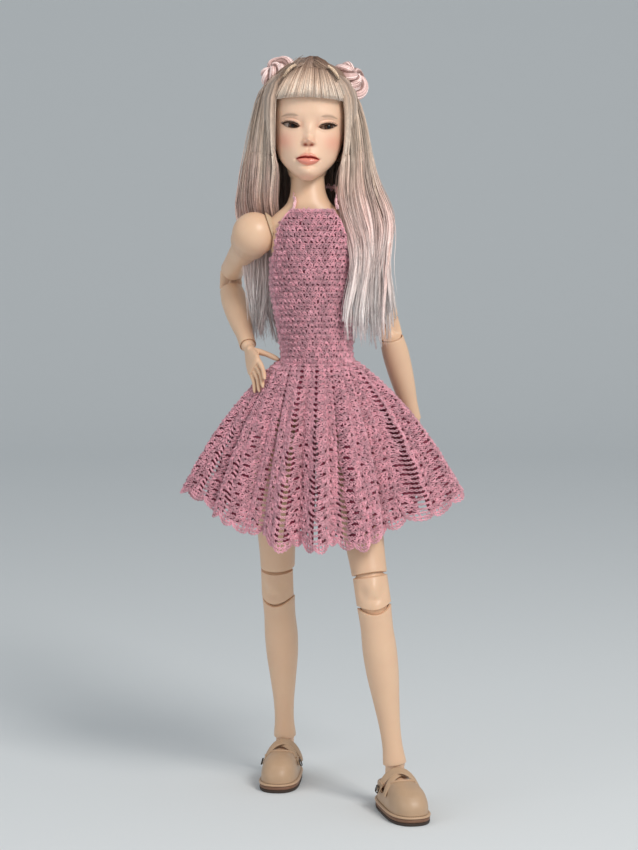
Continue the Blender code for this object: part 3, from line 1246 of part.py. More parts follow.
# The whole doll stands with the middle of its outline over the origin.
def centre_on_floor(root):
    bpy.context.view_layer.update()
    graph = bpy.context.evaluated_depsgraph_get()
    low, high = Vector((1, 1, 1)) * 9, Vector((-1, -1, -1)) * 9
    for item in bpy.data.objects:
        if item.type != "MESH" or item.hide_render:
            continue
        solid = item.evaluated_get(graph)
        for corner in solid.bound_box:
            place = item.matrix_world @ Vector(corner)
            low = Vector(map(min, low, place))
            high = Vector(map(max, high, place))
    middle = (low + high) / 2
    root.location.x -= middle.x
    root.location.y -= middle.y


clear_scene()
skin = material("resin_skin", (0.72, 0.47, 0.34), 0.42)
wig_root = material("hair_root", (0.42, 0.33, 0.27), 0.45)
wig_end = material("hair_end", (0.72, 0.56, 0.53), 0.42)
eye_coat = material("eye_glass", (0.06, 0.04, 0.035), 0.12)
lining_coat = material("lining_suede", (0.66, 0.52, 0.40), 0.9)
steel = material("hook_steel", (0.62, 0.62, 0.62), 0.3, 1.0)
rubber = material("elastic_cord", (0.85, 0.84, 0.80), 0.75)
crochet = material("crochet_cotton", (0.72, 0.30, 0.42), 0.7)
leather = material("shoe_leather", (0.66, 0.49, 0.36), 0.5)
sole_rubber = material("shoe_sole", (0.17, 0.12, 0.09), 0.65)
buckle_metal = material("buckle_metal", (0.10, 0.09, 0.08), 0.35, 1.0)

build_frames()
for side_sign in (RIGHT, LEFT):
    side_word = SIDE_NAMES[side_sign]
    joint_frame(f"wrist_hook_{side_word}",
                facing(frames[f"hand_{side_word}"].translation,
                       -frames[f"forearm_{side_word}"].col[2].to_3d(),
                       -frames[f"hand_{side_word}"].col[1].to_3d()), f"forearm_{side_word}")
    joint_frame(f"ankle_hook_{side_word}",
                facing(frames[f"foot_{side_word}"].translation,
                       -frames[f"shin_{side_word}"].col[2].to_3d(),
                       -frames[f"foot_{side_word}"].col[1].to_3d()), f"shin_{side_word}")
bpy.context.view_layer.update()

pelvis_piece, waist_piece, chest_piece = torso(skin)
head(skin, eye_coat)
wig(wig_root, wig_end)
neck_hook(steel)
arm_channel, leg_channels = elastic(rubber)
boolean(chest_piece, arm_channel)
for side_sign in (RIGHT, LEFT):
    side_word = SIDE_NAMES[side_sign]
    arm_pieces = [upper_arm(side_sign, skin), forearm(side_sign, skin)]
    arm_pieces.append(hinge_link(f"elbow_{side_word}", skin, f"elbow_{side_word}", ELBOW_LENGTH, ELBOW_BALL,
                                 ELBOW_RADIUS, 1, ELBOW_RIM, FOREARM_RIM))
    for arm_piece in arm_pieces:
        boolean(arm_piece, arm_channel)
    hand(side_sign, skin)
    s_hook(f"wrist_hook_{side_word}", steel, f"wrist_hook_{side_word}", WRIST_EYE, WRIST_WIRE, WRIST_EYE * 4.6)
    lining(f"shoulder_lining_{side_word}", SHOULDER_BALL, "chest",
           (side_sign * SHOULDER_SPACING / 2, 0, SHOULDER_RISE), (-side_sign, 0, SHOULDER_ELASTIC_SLOPE))

    leg_pieces = [thigh(side_sign, skin), shin(side_sign, skin)]
    leg_pieces.append(hinge_link(f"knee_{side_word}", skin, f"knee_{side_word}", KNEE_LENGTH, KNEE_BALL,
                                 KNEE_RADIUS, -1, KNEE_RIM, SHIN_RIM))
    leg_channel = leg_channels[side_sign]
    for leg_piece in leg_pieces + [pelvis_piece, waist_piece]:
        boolean(leg_piece, leg_channel)
    foot(side_sign, skin)
    s_hook(f"ankle_hook_{side_word}", steel, f"ankle_hook_{side_word}", ANKLE_EYE, ANKLE_WIRE, ANKLE_EYE * 4.6)
    lining(f"hip_lining_{side_word}", HIP_BALL, "pelvis",
           (side_sign * HIP_SPACING / 2, 0, 0), (-side_sign, 0, 1))
    shoe(side_sign, leather, sole_rubber, buckle_metal)
bodice(crochet)
skirt(crochet)
halter_cord(crochet)
centre_on_floor(empties["pelvis"])
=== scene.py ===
# Ball jointed doll in a crochet dress: the finish of every surface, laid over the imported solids.
import json
import math

import bmesh
import bpy
import numpy as np
from mathutils import Matrix, Vector

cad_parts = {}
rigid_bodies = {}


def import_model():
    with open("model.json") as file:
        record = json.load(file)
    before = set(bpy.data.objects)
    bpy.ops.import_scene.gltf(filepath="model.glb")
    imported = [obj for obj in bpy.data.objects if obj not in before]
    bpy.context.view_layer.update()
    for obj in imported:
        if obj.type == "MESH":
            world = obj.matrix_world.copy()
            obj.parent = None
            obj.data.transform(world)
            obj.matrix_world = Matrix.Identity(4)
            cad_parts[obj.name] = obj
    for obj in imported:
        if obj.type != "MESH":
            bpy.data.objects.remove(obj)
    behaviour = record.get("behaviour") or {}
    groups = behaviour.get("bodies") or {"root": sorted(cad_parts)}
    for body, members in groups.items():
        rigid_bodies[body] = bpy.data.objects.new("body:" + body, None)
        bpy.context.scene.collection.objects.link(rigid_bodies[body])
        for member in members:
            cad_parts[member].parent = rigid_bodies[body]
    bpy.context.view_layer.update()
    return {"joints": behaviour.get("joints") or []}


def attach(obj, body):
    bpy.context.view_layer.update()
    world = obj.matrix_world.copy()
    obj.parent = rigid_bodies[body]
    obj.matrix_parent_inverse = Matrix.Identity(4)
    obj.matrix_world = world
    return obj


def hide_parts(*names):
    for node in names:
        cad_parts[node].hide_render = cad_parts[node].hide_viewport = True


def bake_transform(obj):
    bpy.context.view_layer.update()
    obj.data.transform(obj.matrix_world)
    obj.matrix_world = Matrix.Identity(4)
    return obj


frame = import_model()
joints = {joint["name"]: joint for joint in frame["joints"]}
print("frame loaded")


# Places of the joints

# Where a joint sits, in metres.
def place(name):
    return np.array(joints[name]["pos_m"], float)


# The line that a joint turns about.
def axis(name):
    return np.array(joints[name]["axis"], float)


# Vectors divided by their own length.
def unit(v):
    return v / np.maximum(np.linalg.norm(v, axis=-1, keepdims=True), 1e-12)


# A joint's frame as origin and three axes: x along the hinge, z up the limb, y = z cross x.
def limbFrame(origin, down, across):
    z = -unit(np.asarray(down, float))
    x = unit(across - (across @ z) * z)
    return origin, np.stack([x, np.cross(z, x), z])


# Points of a frame in the world: their shares of the frame's axes, plus its origin.
def toWorld(where, points):
    origin, axes = where
    return points @ axes + origin


# A frame turned by an angle about one of its own axes.
def turned(where, degrees, about):
    angle = math.radians(degrees)
    c, s = math.cos(angle), math.sin(angle)
    turns = {"y": [[c, 0, -s], [0, 1, 0], [s, 0, c]], "z": [[c, s, 0], [-s, c, 0], [0, 0, 1]]}
    return where[0], np.array(turns[about]) @ where[1]


stance = {"headTilt": 4.4, "headTurn": 1.2, "aimRight": (0.22, -0.78, -0.60),
          "aimLeft": (0.22, 0.30, -0.93)}
frames = {}
hips = (place("hip_swing_right") + place("hip_swing_left")) / 2
up = np.array([0.0, 0.0, 1.0])
frames["pelvis"] = limbFrame(hips, -axis("waist_turn"), axis("hip_swing_left"))
frames["waist"] = limbFrame(place("waist_turn"), -up, np.array([1.0, 0, 0]))
frames["chest"] = limbFrame(place("chest_bend"), -axis("neck_turn"), axis("chest_bend"))
neckFrame = limbFrame(place("head_nod"), -axis("neck_turn"), axis("chest_bend"))
frames["head"] = turned(turned(neckFrame, stance["headTilt"], "y"), stance["headTurn"], "z")
for word in ("right", "left"):
    shoulder, upperElbow, lowerElbow = (place(f"{n}_{word}") for n in ("shoulder_swing", "elbow_upper",
                                                                       "elbow_lower"))
    bendAxis = axis(f"elbow_upper_{word}")
    frames[f"upper_arm_{word}"] = limbFrame(shoulder, upperElbow - shoulder, bendAxis)
    frames[f"elbow_{word}"] = limbFrame(upperElbow, lowerElbow - upperElbow, bendAxis)
    frames[f"forearm_{word}"] = limbFrame(lowerElbow, -axis(f"wrist_turn_{word}"), bendAxis)
    aim = np.array(stance["aimRight" if word == "right" else "aimLeft"])
    frames[f"hand_{word}"] = limbFrame(place(f"wrist_bend_{word}"), aim, axis(f"wrist_bend_{word}"))
    hip, upperKnee, lowerKnee = (place(f"{n}_{word}") for n in ("hip_swing", "knee_upper", "knee_lower"))
    bendAxis = axis(f"knee_upper_{word}")
    frames[f"thigh_{word}"] = limbFrame(hip, upperKnee - hip, bendAxis)
    frames[f"knee_{word}"] = limbFrame(upperKnee, lowerKnee - upperKnee, bendAxis)
    frames[f"shin_{word}"] = limbFrame(lowerKnee, -axis(f"ankle_turn_{word}"), bendAxis)
    frames[f"foot_{word}"] = limbFrame(place(f"ankle_bend_{word}"), -up, axis(f"ankle_bend_{word}"))


# Camera, light and floor

view = {"lens": 87.8, "height": 0.300, "distance": 1.223, "pitch": 3.685}
camera = bpy.data.objects.new("camera", bpy.data.cameras.new("camera"))
bpy.context.scene.collection.objects.link(camera)
camera.data.lens = view["lens"]
camera.data.sensor_width = 36
camera.data.clip_start = 0.01
camera.location = (hips[0] + 0.006, hips[1] - view["distance"], view["height"])
camera.rotation_euler = (math.radians(90 - view["pitch"]), 0, 0)
bpy.context.scene.camera = camera
bpy.context.scene.view_settings.view_transform = "Standard"

light = {"keyWatts": 17.0, "fillWatts": 2.4, "sky": (0.84, 0.87, 0.89), "skyStrength": 0.56}


# An area lamp aimed at a target.
def addLamp(name, spot, target, watts, size, colour):
    lamp = bpy.data.objects.new(name, bpy.data.lights.new(name, "AREA"))
    lamp.data.energy, lamp.data.size, lamp.data.color = watts, size, colour
    lamp.location = spot
    lamp.rotation_euler = (Vector(target) - Vector(spot)).to_track_quat("-Z", "Y").to_euler()
    bpy.context.scene.collection.objects.link(lamp)


addLamp("key_lamp", (0.75, -1.15, 1.25), (0, 0, 0.25), light["keyWatts"], 0.55, (1.0, 0.97, 0.93))
addLamp("fill_lamp", (-1.1, -0.9, 0.7), (0, 0, 0.25), light["fillWatts"], 0.9, (0.93, 0.96, 1.0))
world = bpy.data.worlds.new("sky")
bpy.context.scene.world = world
world.use_nodes = True
world.node_tree.nodes["Background"].inputs["Color"].default_value = (*light["sky"], 1)
world.node_tree.nodes["Background"].inputs["Strength"].default_value = light["skyStrength"]


# Mesh helpers

# Rows of a grid as quads: corner (r, c), (r, c+1), (r+1, c+1), (r+1, c), wrapped where asked.
def gridQuads(rows, columns, wrapColumns=True, wrapRows=False, start=0):
    r = np.arange(rows if wrapRows else rows - 1)[:, None]
    c = np.arange(columns if wrapColumns else columns - 1)[None, :]
    r2, c2 = (r + 1) % rows, (c + 1) % columns
    quads = np.stack([r * columns + c, r * columns + c2, r2 * columns + c2, r2 * columns + c], -1)
    return quads.reshape(-1, 4) + start


# A mesh from points, quads and triangles; a closed one is turned so that its faces point outwards.
def addPiece(name, points, quads, triangles=None, coat=None, masks=None, smooth=True, closed=True):
    points = np.asarray(points, float).reshape(-1, 3)
    quads = np.asarray(quads, int).reshape(-1, 4)
    triangles = np.zeros((0, 3), int) if triangles is None else np.asarray(triangles, int)
    if closed:
        halves = np.concatenate([quads[:, [0, 1, 2]], quads[:, [0, 2, 3]], triangles])
        a, b, c = (points[halves[:, k]] for k in range(3))
        if np.einsum("ij,ij->i", a, np.cross(b, c)).sum() < 0:
            quads, triangles = quads[:, ::-1], triangles[:, ::-1]
    mesh = bpy.data.meshes.new(name)
    mesh.vertices.add(len(points))
    mesh.vertices.foreach_set("co", points.astype(np.float32).ravel())
    corners = np.concatenate([quads.ravel(), triangles.ravel()])
    mesh.loops.add(len(corners))
    mesh.loops.foreach_set("vertex_index", corners.astype(np.int32))
    starts = np.concatenate([np.arange(len(quads)) * 4, len(quads) * 4 + np.arange(len(triangles)) * 3])
    mesh.polygons.add(len(starts))
    mesh.polygons.foreach_set("loop_start", starts.astype(np.int32))
    mesh.polygons.foreach_set("use_smooth", np.full(len(starts), smooth))
    for key, values in (masks or {}).items():
        mesh.attributes.new(key, "FLOAT", "POINT").data.foreach_set("value",
                                                                    np.asarray(values, np.float32).ravel())
    mesh.update(calc_edges=True)
    piece = bpy.data.objects.new(name, mesh)
    bpy.context.scene.collection.objects.link(piece)
    if coat:
        mesh.materials.append(coat)
    return piece


# Points and faces of rings (rows, columns, 3), each end drawn in to its middle point.
def solidOf(rings):
    rows, columns = rings.shape[:2]
    c = np.arange(columns)
    c2 = (c + 1) % columns
    points = np.concatenate([rings.reshape(-1, 3), rings[0].mean(0)[None], rings[-1].mean(0)[None]])
    first, last, top = rows * columns, rows * columns + 1, (rows - 1) * columns
    ends = np.concatenate([np.stack([np.full(columns, first), c2, c], -1),
                           np.stack([np.full(columns, last), top + c, top + c2], -1)])
    quads = gridQuads(rows, columns)
    halves = np.concatenate([quads[:, [0, 1, 2]], quads[:, [0, 2, 3]], ends])
    a, b, c3 = (points[halves[:, k]] for k in range(3))
    if np.einsum("ij,ij->i", a, np.cross(b, c3)).sum() < 0:
        quads, ends = quads[:, ::-1], ends[:, ::-1]
    return points, quads, ends


# A closed surface from rings.
def ringSolid(name, rings, coat, masks=None, **options):
    if masks:
        masks = {k: np.concatenate([v.ravel(), [v[0].mean(), v[-1].mean()]]) for k, v in masks.items()}
    return addPiece(name, *solidOf(rings), coat, masks, **options)


# Tubes along many paths at once (paths, points, 3): sections of some sides around each, with pointed ends.
def tubes(paths, radii, sides=4, reference=(0.0, 0.0, 1.0), flat=1.0, turn=0.0):
    paths = np.asarray(paths, float)
    count, length = paths.shape[:2]
    along = unit(np.gradient(paths, axis=1))
    side = unit(np.cross(along, np.broadcast_to(reference, paths.shape)))
    out = np.cross(side, along)
    radii = np.broadcast_to(radii, (count, length))[..., None, None]
    angles = turn + 2 * math.pi * np.arange(sides) / sides
    section = side[:, :, None] * np.cos(angles)[:, None] + out[:, :, None] * np.sin(angles)[:, None] * flat
    body = (paths[:, :, None] + section * radii).reshape(-1, 3)
    points = np.concatenate([body, paths[:, 0], paths[:, -1]])
    one = gridQuads(length, sides)
    quads = (one[None] + (np.arange(count) * length * sides)[:, None, None]).reshape(-1, 4)
    s = np.arange(sides)
    s2 = (s + 1) % sides
    base = np.arange(count)[:, None]
    first = np.stack([np.broadcast_to(len(body) + base, (count, sides)), base * length * sides + s2,
                      base * length * sides + s], -1)
    tail = base * length * sides + (length - 1) * sides
    last = np.stack([np.broadcast_to(len(body) + count + base, (count, sides)), tail + s, tail + s2], -1)
    return points, quads, np.concatenate([first.reshape(-1, 3), last.reshape(-1, 3)])


# Several sets of points and faces as one.
def joined(parts):
    points, quads, triangles, start = [], [], [], 0
    for p, q, t in parts:
        points.append(p)
        quads.append(q + start)
        triangles.append(t + start)
        start += len(p)
    return np.concatenate(points), np.concatenate(quads), np.concatenate(triangles)


# A smooth curve through knots: cubic between each two, with slopes from their neighbours.
def smoothAt(knots, values, at):
    knots, values, at = np.asarray(knots, float), np.asarray(values, float), np.asarray(at, float)
    slopes = np.gradient(values, knots, axis=0)
    i = np.clip(np.searchsorted(knots, at, side="right") - 1, 0, len(knots) - 2)
    gap = knots[i + 1] - knots[i]
    t = np.clip((at - knots[i]) / gap, 0, 1)
    shape = t.shape + (1,) * (values.ndim - 1)
    t, gap = t.reshape(shape), gap.reshape(shape)
    return (values[i] * (2 * t ** 3 - 3 * t ** 2 + 1) + values[i + 1] * (3 * t ** 2 - 2 * t ** 3)
            + slopes[i] * gap * (t ** 3 - 2 * t ** 2 + t) + slopes[i + 1] * gap * (t ** 3 - t ** 2))


# A smooth path through points, at even steps between them.
def smoothPath(points, count):
    points = np.asarray(points, float)
    return smoothAt(np.arange(len(points)), points, np.linspace(0, len(points) - 1, count))


# A bell curve: e to the power of minus the squared share of distance over width.
def bell(x, middle, width):
    return np.exp(-((x - middle) / width) ** 2)


# A step from 0 to 1 between two values: 3 t squared minus 2 t cubed.
def softStep(low, high, x):
    t = np.clip((x - low) / (high - low), 0, 1)
    return t * t * (3 - 2 * t)


# The piece's mesh with its modifiers worked in.
def settle(piece):
    graph = bpy.context.evaluated_depsgraph_get()
    mesh = bpy.data.meshes.new_from_object(piece.evaluated_get(graph))
    piece.modifiers.clear()
    piece.data = mesh
    return piece


# A piece less the space of a cutter, which is removed after it.
def cutAway(piece, cutter, solver="EXACT"):
    change = piece.modifiers.new("cut", "BOOLEAN")
    change.operation, change.object, change.solver = "DIFFERENCE", cutter, solver
    settle(piece)
    bpy.data.objects.remove(cutter)
    piece.data.shade_smooth()
    piece.data.set_sharp_from_angle(angle=math.radians(38))
    return piece


# Ties a piece to its body and hides the imported nodes that it stands in for; its slot is not used.
def finishPiece(piece, body, slot, *nodes):
    if body:
        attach(piece, body)
    if nodes:
        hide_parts(*nodes)
    return piece


# Materials

# A screen colour as linear light: the sRGB curve undone.
def tone(red, green, blue):
    share = np.array([red, green, blue]) / 255
    return tuple(np.where(share <= 0.04045, share / 12.92, ((share + 0.055) / 1.055) ** 2.4))


# A shader node with its settings, each input linked or set.
def addNode(tree, kind, inputs=None, **settings):
    node = tree.nodes.new(kind)
    for key, value in settings.items():
        setattr(node, key, value)
    for key, value in (inputs or {}).items():
        if isinstance(value, bpy.types.NodeSocket):
            tree.links.new(value, node.inputs[key])
        else:
            node.inputs[key].default_value = value
    return node


# Two colours mixed by a share.
def mixColour(tree, share, first, second, blend="MIX"):
    return addNode(tree, "ShaderNodeMix", {0: share, 6: first, 7: second},
                   data_type="RGBA", blend_type=blend).outputs[2]


# A value stored for each point of a mesh.
def mask(tree, name):
    return addNode(tree, "ShaderNodeAttribute", attribute_name=name).outputs["Fac"]


# A ladder of colours by share.
def ramp(tree, share, stops):
    node = addNode(tree, "ShaderNodeValToRGB", {0: share})
    ladder = node.color_ramp.elements
    while len(ladder) < len(stops):
        ladder.new(0.5)
    for step, (where, colour) in zip(ladder, stops):
        step.position, step.color = where, (*colour, 1)
    return node.outputs["Color"]


# A new material, its node tree and its shader.
def newCoat(name, roughness=0.5, **plain):
    made = bpy.data.materials.new(name)
    made.use_nodes = True
    shader = made.node_tree.nodes["Principled BSDF"]
    shader.inputs["Roughness"].default_value = roughness
    for key, value in plain.items():
        shader.inputs[key.replace("_", " ")].default_value = value
    return made, made.node_tree, shader


# Mottling and grain in one group: Scale and Amount in; Colour, Value and Height out.
def grainGroup():
    group = bpy.data.node_groups.new("surface_grain", "ShaderNodeTree")
    face = group.interface
    face.new_socket("Colour", in_out="INPUT", socket_type="NodeSocketColor")
    face.new_socket("Second colour", in_out="INPUT", socket_type="NodeSocketColor")
    for name, start in (("Scale", 200.0), ("Grain scale", 2000.0), ("Amount", 0.3)):
        face.new_socket(name, in_out="INPUT", socket_type="NodeSocketFloat").default_value = start
    face.new_socket("Colour", in_out="OUTPUT", socket_type="NodeSocketColor")
    face.new_socket("Value", in_out="OUTPUT", socket_type="NodeSocketFloat")
    face.new_socket("Height", in_out="OUTPUT", socket_type="NodeSocketFloat")
    source = group.nodes.new("NodeGroupInput")
    end = group.nodes.new("NodeGroupOutput")
    spot = addNode(group, "ShaderNodeTexCoord").outputs["Object"]
    broad = addNode(group, "ShaderNodeTexNoise",
                    {"Vector": spot, "Scale": source.outputs["Scale"], "Detail": 3.0})
    fine = addNode(group, "ShaderNodeTexNoise",
                   {"Vector": spot, "Scale": source.outputs["Grain scale"], "Detail": 2.0})
    share = addNode(group, "ShaderNodeMath", {0: broad.outputs["Fac"], 1: source.outputs["Amount"]},
                    operation="MULTIPLY").outputs[0]
    colour = mixColour(group, share, source.outputs["Colour"], source.outputs["Second colour"])
    group.links.new(colour, end.inputs["Colour"])
    group.links.new(broad.outputs["Fac"], end.inputs["Value"])
    group.links.new(fine.outputs["Fac"], end.inputs["Height"])
    return group


grain = grainGroup()


# The grain group in a material, its colours linked or set.
def useGrain(tree, colour, second, scale, grainScale, amount):
    values = {"Scale": scale, "Grain scale": grainScale, "Amount": amount}
    node = addNode(tree, "ShaderNodeGroup", node_tree=grain)
    for key, value in values.items():
        node.inputs[key].default_value = value
    for index, value in ((0, colour), (1, second)):
        if isinstance(value, bpy.types.NodeSocket):
            tree.links.new(value, node.inputs[index])
        else:
            node.inputs[index].default_value = (*value, 1)
    return node


# A coat whose colour is mottled between two tones, with a fine grain as bump.
def plainCoat(name, colour, second, roughness, scale=150, grainScale=2500, amount=0.5, bump=0.00002,
              **plain):
    made, tree, shader = newCoat(name, roughness, **plain)
    node = useGrain(tree, colour, second, scale, grainScale, amount)
    tree.links.new(node.outputs["Colour"], shader.inputs["Base Color"])
    relief = addNode(tree, "ShaderNodeBump",
                     {"Height": node.outputs["Height"], "Distance": bump, "Strength": 1.0})
    tree.links.new(relief.outputs["Normal"], shader.inputs["Normal"])
    rough = addNode(tree, "ShaderNodeMapRange", {"Value": node.outputs["Value"], "To Min": roughness - 0.06,
                                                 "To Max": roughness + 0.06})
    tree.links.new(rough.outputs[0], shader.inputs["Roughness"])
    return made


# A matt coat for the floor.
def stageCoat(name, colour):
    made, _, shader = newCoat(name, 0.9)
    shader.inputs["Base Color"].default_value = (*colour, 1)
    shader.inputs["Specular IOR Level"].default_value = 0.1
    return made


resin = plainCoat("resin_skin", tone(232, 196, 164), tone(214, 170, 138), 0.40, 60, 3500, 0.55, 0.000012,
                  Subsurface_Weight=0.06, Subsurface_Scale=0.003, Subsurface_Radius=(1.0, 0.4, 0.2))
steelCoat = plainCoat("hook_steel", tone(176, 176, 178), tone(140, 140, 142), 0.28, 300, 5000, 0.4,
                      Metallic=1.0)
rubberCoat = plainCoat("elastic_cord", tone(232, 230, 222), tone(205, 203, 196), 0.75, 800, 6000, 0.6)
suedeCoat = plainCoat("lining_suede", tone(212, 186, 156), tone(188, 160, 130), 0.95, 700, 5000, 0.6,
                      0.00006)
leatherCoat = plainCoat("shoe_leather", tone(197, 166, 136), tone(176, 143, 112), 0.42, 120, 2600, 0.7,
                        0.00005)
pipingCoat = plainCoat("piping_leather", tone(206, 172, 140), tone(178, 142, 112), 0.42, 300, 3000, 0.6,
                       0.00004)
weltCoat = plainCoat("shoe_welt", tone(142, 104, 80), tone(108, 76, 58), 0.6, 260, 2400, 0.8, 0.00005)
treadCoat = plainCoat("shoe_sole", tone(70, 55, 46), tone(48, 38, 33), 0.7, 300, 2000, 0.7, 0.00006)
threadCoat = plainCoat("sewing_thread", tone(216, 192, 162), tone(180, 152, 122), 0.7, 900, 6000, 0.6)
buckleCoat = plainCoat("buckle_metal", tone(74, 64, 56), tone(44, 38, 34), 0.32, 500, 4000, 0.5,
                       Metallic=1.0)
print("materials made")

rise = np.linspace(0, math.pi / 2, 9)
cove = np.stack([np.zeros(9), 2.6 + 1.2 * np.sin(rise), 1.2 - 1.2 * np.cos(rise)], -1)
backdrop = np.concatenate([[[0, -4, 0]], cove, [[0, 3.8, 5]]])
backdrop = np.stack([backdrop + [-4, 0, 0], backdrop + [4, 0, 0]], 1)
stagePiece = addPiece("floor", backdrop.reshape(-1, 3), gridQuads(len(backdrop), 2, False), None,
                      stageCoat("pale_floor", tone(226, 230, 232)), closed=False)


# Body: every limb is a stack of rings, worked out for all angles of a ring at once

limb = {"sides": 48, "gap": 0.0004, "bevel": 0.00022}
angles = 2 * math.pi * np.arange(limb["sides"]) / limb["sides"]
cosines, sines = np.cos(angles), np.sin(angles)


# One ring: reach along x and y and height, each a number or one value for each angle.
def ringAt(width, depth, height, shiftX=0.0, shiftY=0.0):
    ones = np.ones_like(cosines)
    return np.stack([shiftX + width * cosines, shiftY + depth * sines, height * ones], -1)


# Part of a ball, from one polar angle to another, measured from +z.
def ballRows(radius, start, end, count, height=0.0):
    polar = np.radians(np.linspace(start, end, count))
    return [ringAt(radius * math.sin(p), radius * math.sin(p),
                   height + radius * math.cos(p)) for p in polar]


# Rows between the rows of a profile table: height share, width, depth and shift forward.
def profileRows(length, radius, table, count, shape=None):
    table = np.asarray(table, float)
    rows = []
    for share in np.linspace(table[0, 0], table[-1, 0], count):
        width, depth, shift = smoothAt(table[:, 0], table[:, 1:], share)
        row = ringAt(radius * width, radius * depth, -length * share, 0, radius * shift)
        rows.append(row if shape is None else shape(row, share))
    return rows


# A limb's cup: the rim's polar angle changes with direction, with a small round edge, then the cup inside.
def cupRows(ball, outside, rim, height, opens, depthSteps=7):
    inner = ball + limb["gap"]
    polar = np.radians(rim(angles))
    edge = limb["bevel"]
    level = height + opens * inner * np.cos(polar)
    reach = inner * np.sin(polar)
    rows = [ringAt(outside, outside, level + opens * edge * 1.6)]
    rows.append(ringAt(outside - edge * 0.3, outside - edge * 0.3, level + opens * edge * 0.5))
    rows.append(ringAt((outside + reach) / 2 + edge, (outside + reach) / 2 + edge,
                       level - opens * edge * 0.1))
    rows.append(ringAt(reach + edge * 0.3, reach + edge * 0.3, level + opens * edge * 0.3))
    for share in np.linspace(1, 0.06, depthSteps):
        rows.append(ringAt(inner * np.sin(polar * share), inner * np.sin(polar * share),
                           height + opens * inner * np.cos(polar * share)))
    return rows


# A limb from its rows, in its body's frame.
def limbPiece(name, rows, body, where=None, coat=None):
    rings = toWorld(frames[where or name], np.stack(rows))
    piece = ringSolid(name + "_skin", rings, coat or resin)
    piece.data.set_sharp_from_angle(angle=math.radians(50))
    return finishPiece(piece, body, "resin_skin", name)


elbowRim = lambda a: 80 + 8 * np.sin(a)
forearmRim = lambda a: 82 + 10 * np.sin(a)
kneeRim = lambda a: 84 - 8 * np.sin(a)
shinRim = lambda a: 81 + 14 * np.cos(2 * a)
arm = {"upper": 0.0565, "elbow": 0.0115, "lower": 0.053, "shoulderBall": 0.013, "elbowBall": 0.006,
       "wristBall": 0.0042, "upperRadius": 0.0082, "elbowRadius": 0.0071, "lowerRadius": 0.0078,
       "wristRadius": 0.005}
leg = {"thigh": 0.1015, "knee": 0.0185, "shin": 0.0925, "hipBall": 0.0125, "kneeBall": 0.0082,
       "ankleBall": 0.0058,
       "thighRadius": 0.0148, "kneeRadius": 0.0103, "calfRadius": 0.0099, "ankleRadius": 0.0068}


# A double hinge: a ball at each end and between them a barrel that is flush with the limb on its outer side.
def hingeRows(length, ball, barrel, bulge, topRim, lowRim, relief=None):
    folding = np.maximum(0, 0.15 - bulge * sines)
    flush = softStep(0, 1, np.maximum(0, 1 - 2 * folding))
    inside, notch = ball * 0.97, ball * 0.30
    ledge = ball * 0.13
    high = np.minimum(ball * np.cos(np.radians(topRim(angles))) - 1.4 * ledge, -ledge * 0.6)
    low = -length - ball * np.cos(np.radians(lowRim(angles))) + 1.4 * ledge
    outer = inside + (barrel * 0.985 - inside) * flush
    rows = ballRows(ball, 3, 66, 10)
    rows.append(ringAt(inside, inside, high + ledge * 0.9))
    rows.append(ringAt((inside + outer) / 2, (inside + outer) / 2, high + ledge * 0.25))
    for share in np.linspace(0, 1, 15):
        waist = math.sin(math.pi * share) ** 0.7
        reach = outer + (notch + (barrel * 0.985 - notch) * flush - outer) * waist
        row = ringAt(reach, reach, high + (low - high) * share)
        rows.append(row if relief is None else relief(row, share))
    rows.append(ringAt((inside + outer) / 2, (inside + outer) / 2, low - ledge * 0.25))
    rows.append(ringAt(inside, inside, low - ledge * 0.9))
    return rows + ballRows(ball, 114, 177, 10, -length)


# The kneecap: a rounded shield with a dimple at each side and one below it.
def kneecap(row, share):
    front = np.maximum(0, -sines)
    across = cosines
    push = 0.0017 * bell(across, 0, 0.42) * bell(share, 0.34, 0.26)
    push -= 0.0013 * (bell(across, 0.62, 0.2) + bell(across, -0.62, 0.2)) * bell(share, 0.48, 0.2)
    push -= 0.0010 * bell(across, 0, 0.3) * bell(share, 0.70, 0.07)
    push += 0.0006 * bell(across, 0, 0.34) * bell(share, 0.90, 0.12)
    return row + np.stack([np.zeros_like(front), -push * front, np.zeros_like(front)], -1)


# A pit where the elastic's channel shows at the side of the elbow.
def elbowPit(side):
    def carve(row, share):
        pit = 0.0016 * bell(cosines * side, 0.80, 0.17) * (sines > 0) * bell(share, 0.48, 0.10)
        return row * (1 - np.stack([pit, pit, np.zeros_like(pit)], -1) / 0.0071)
    return carve


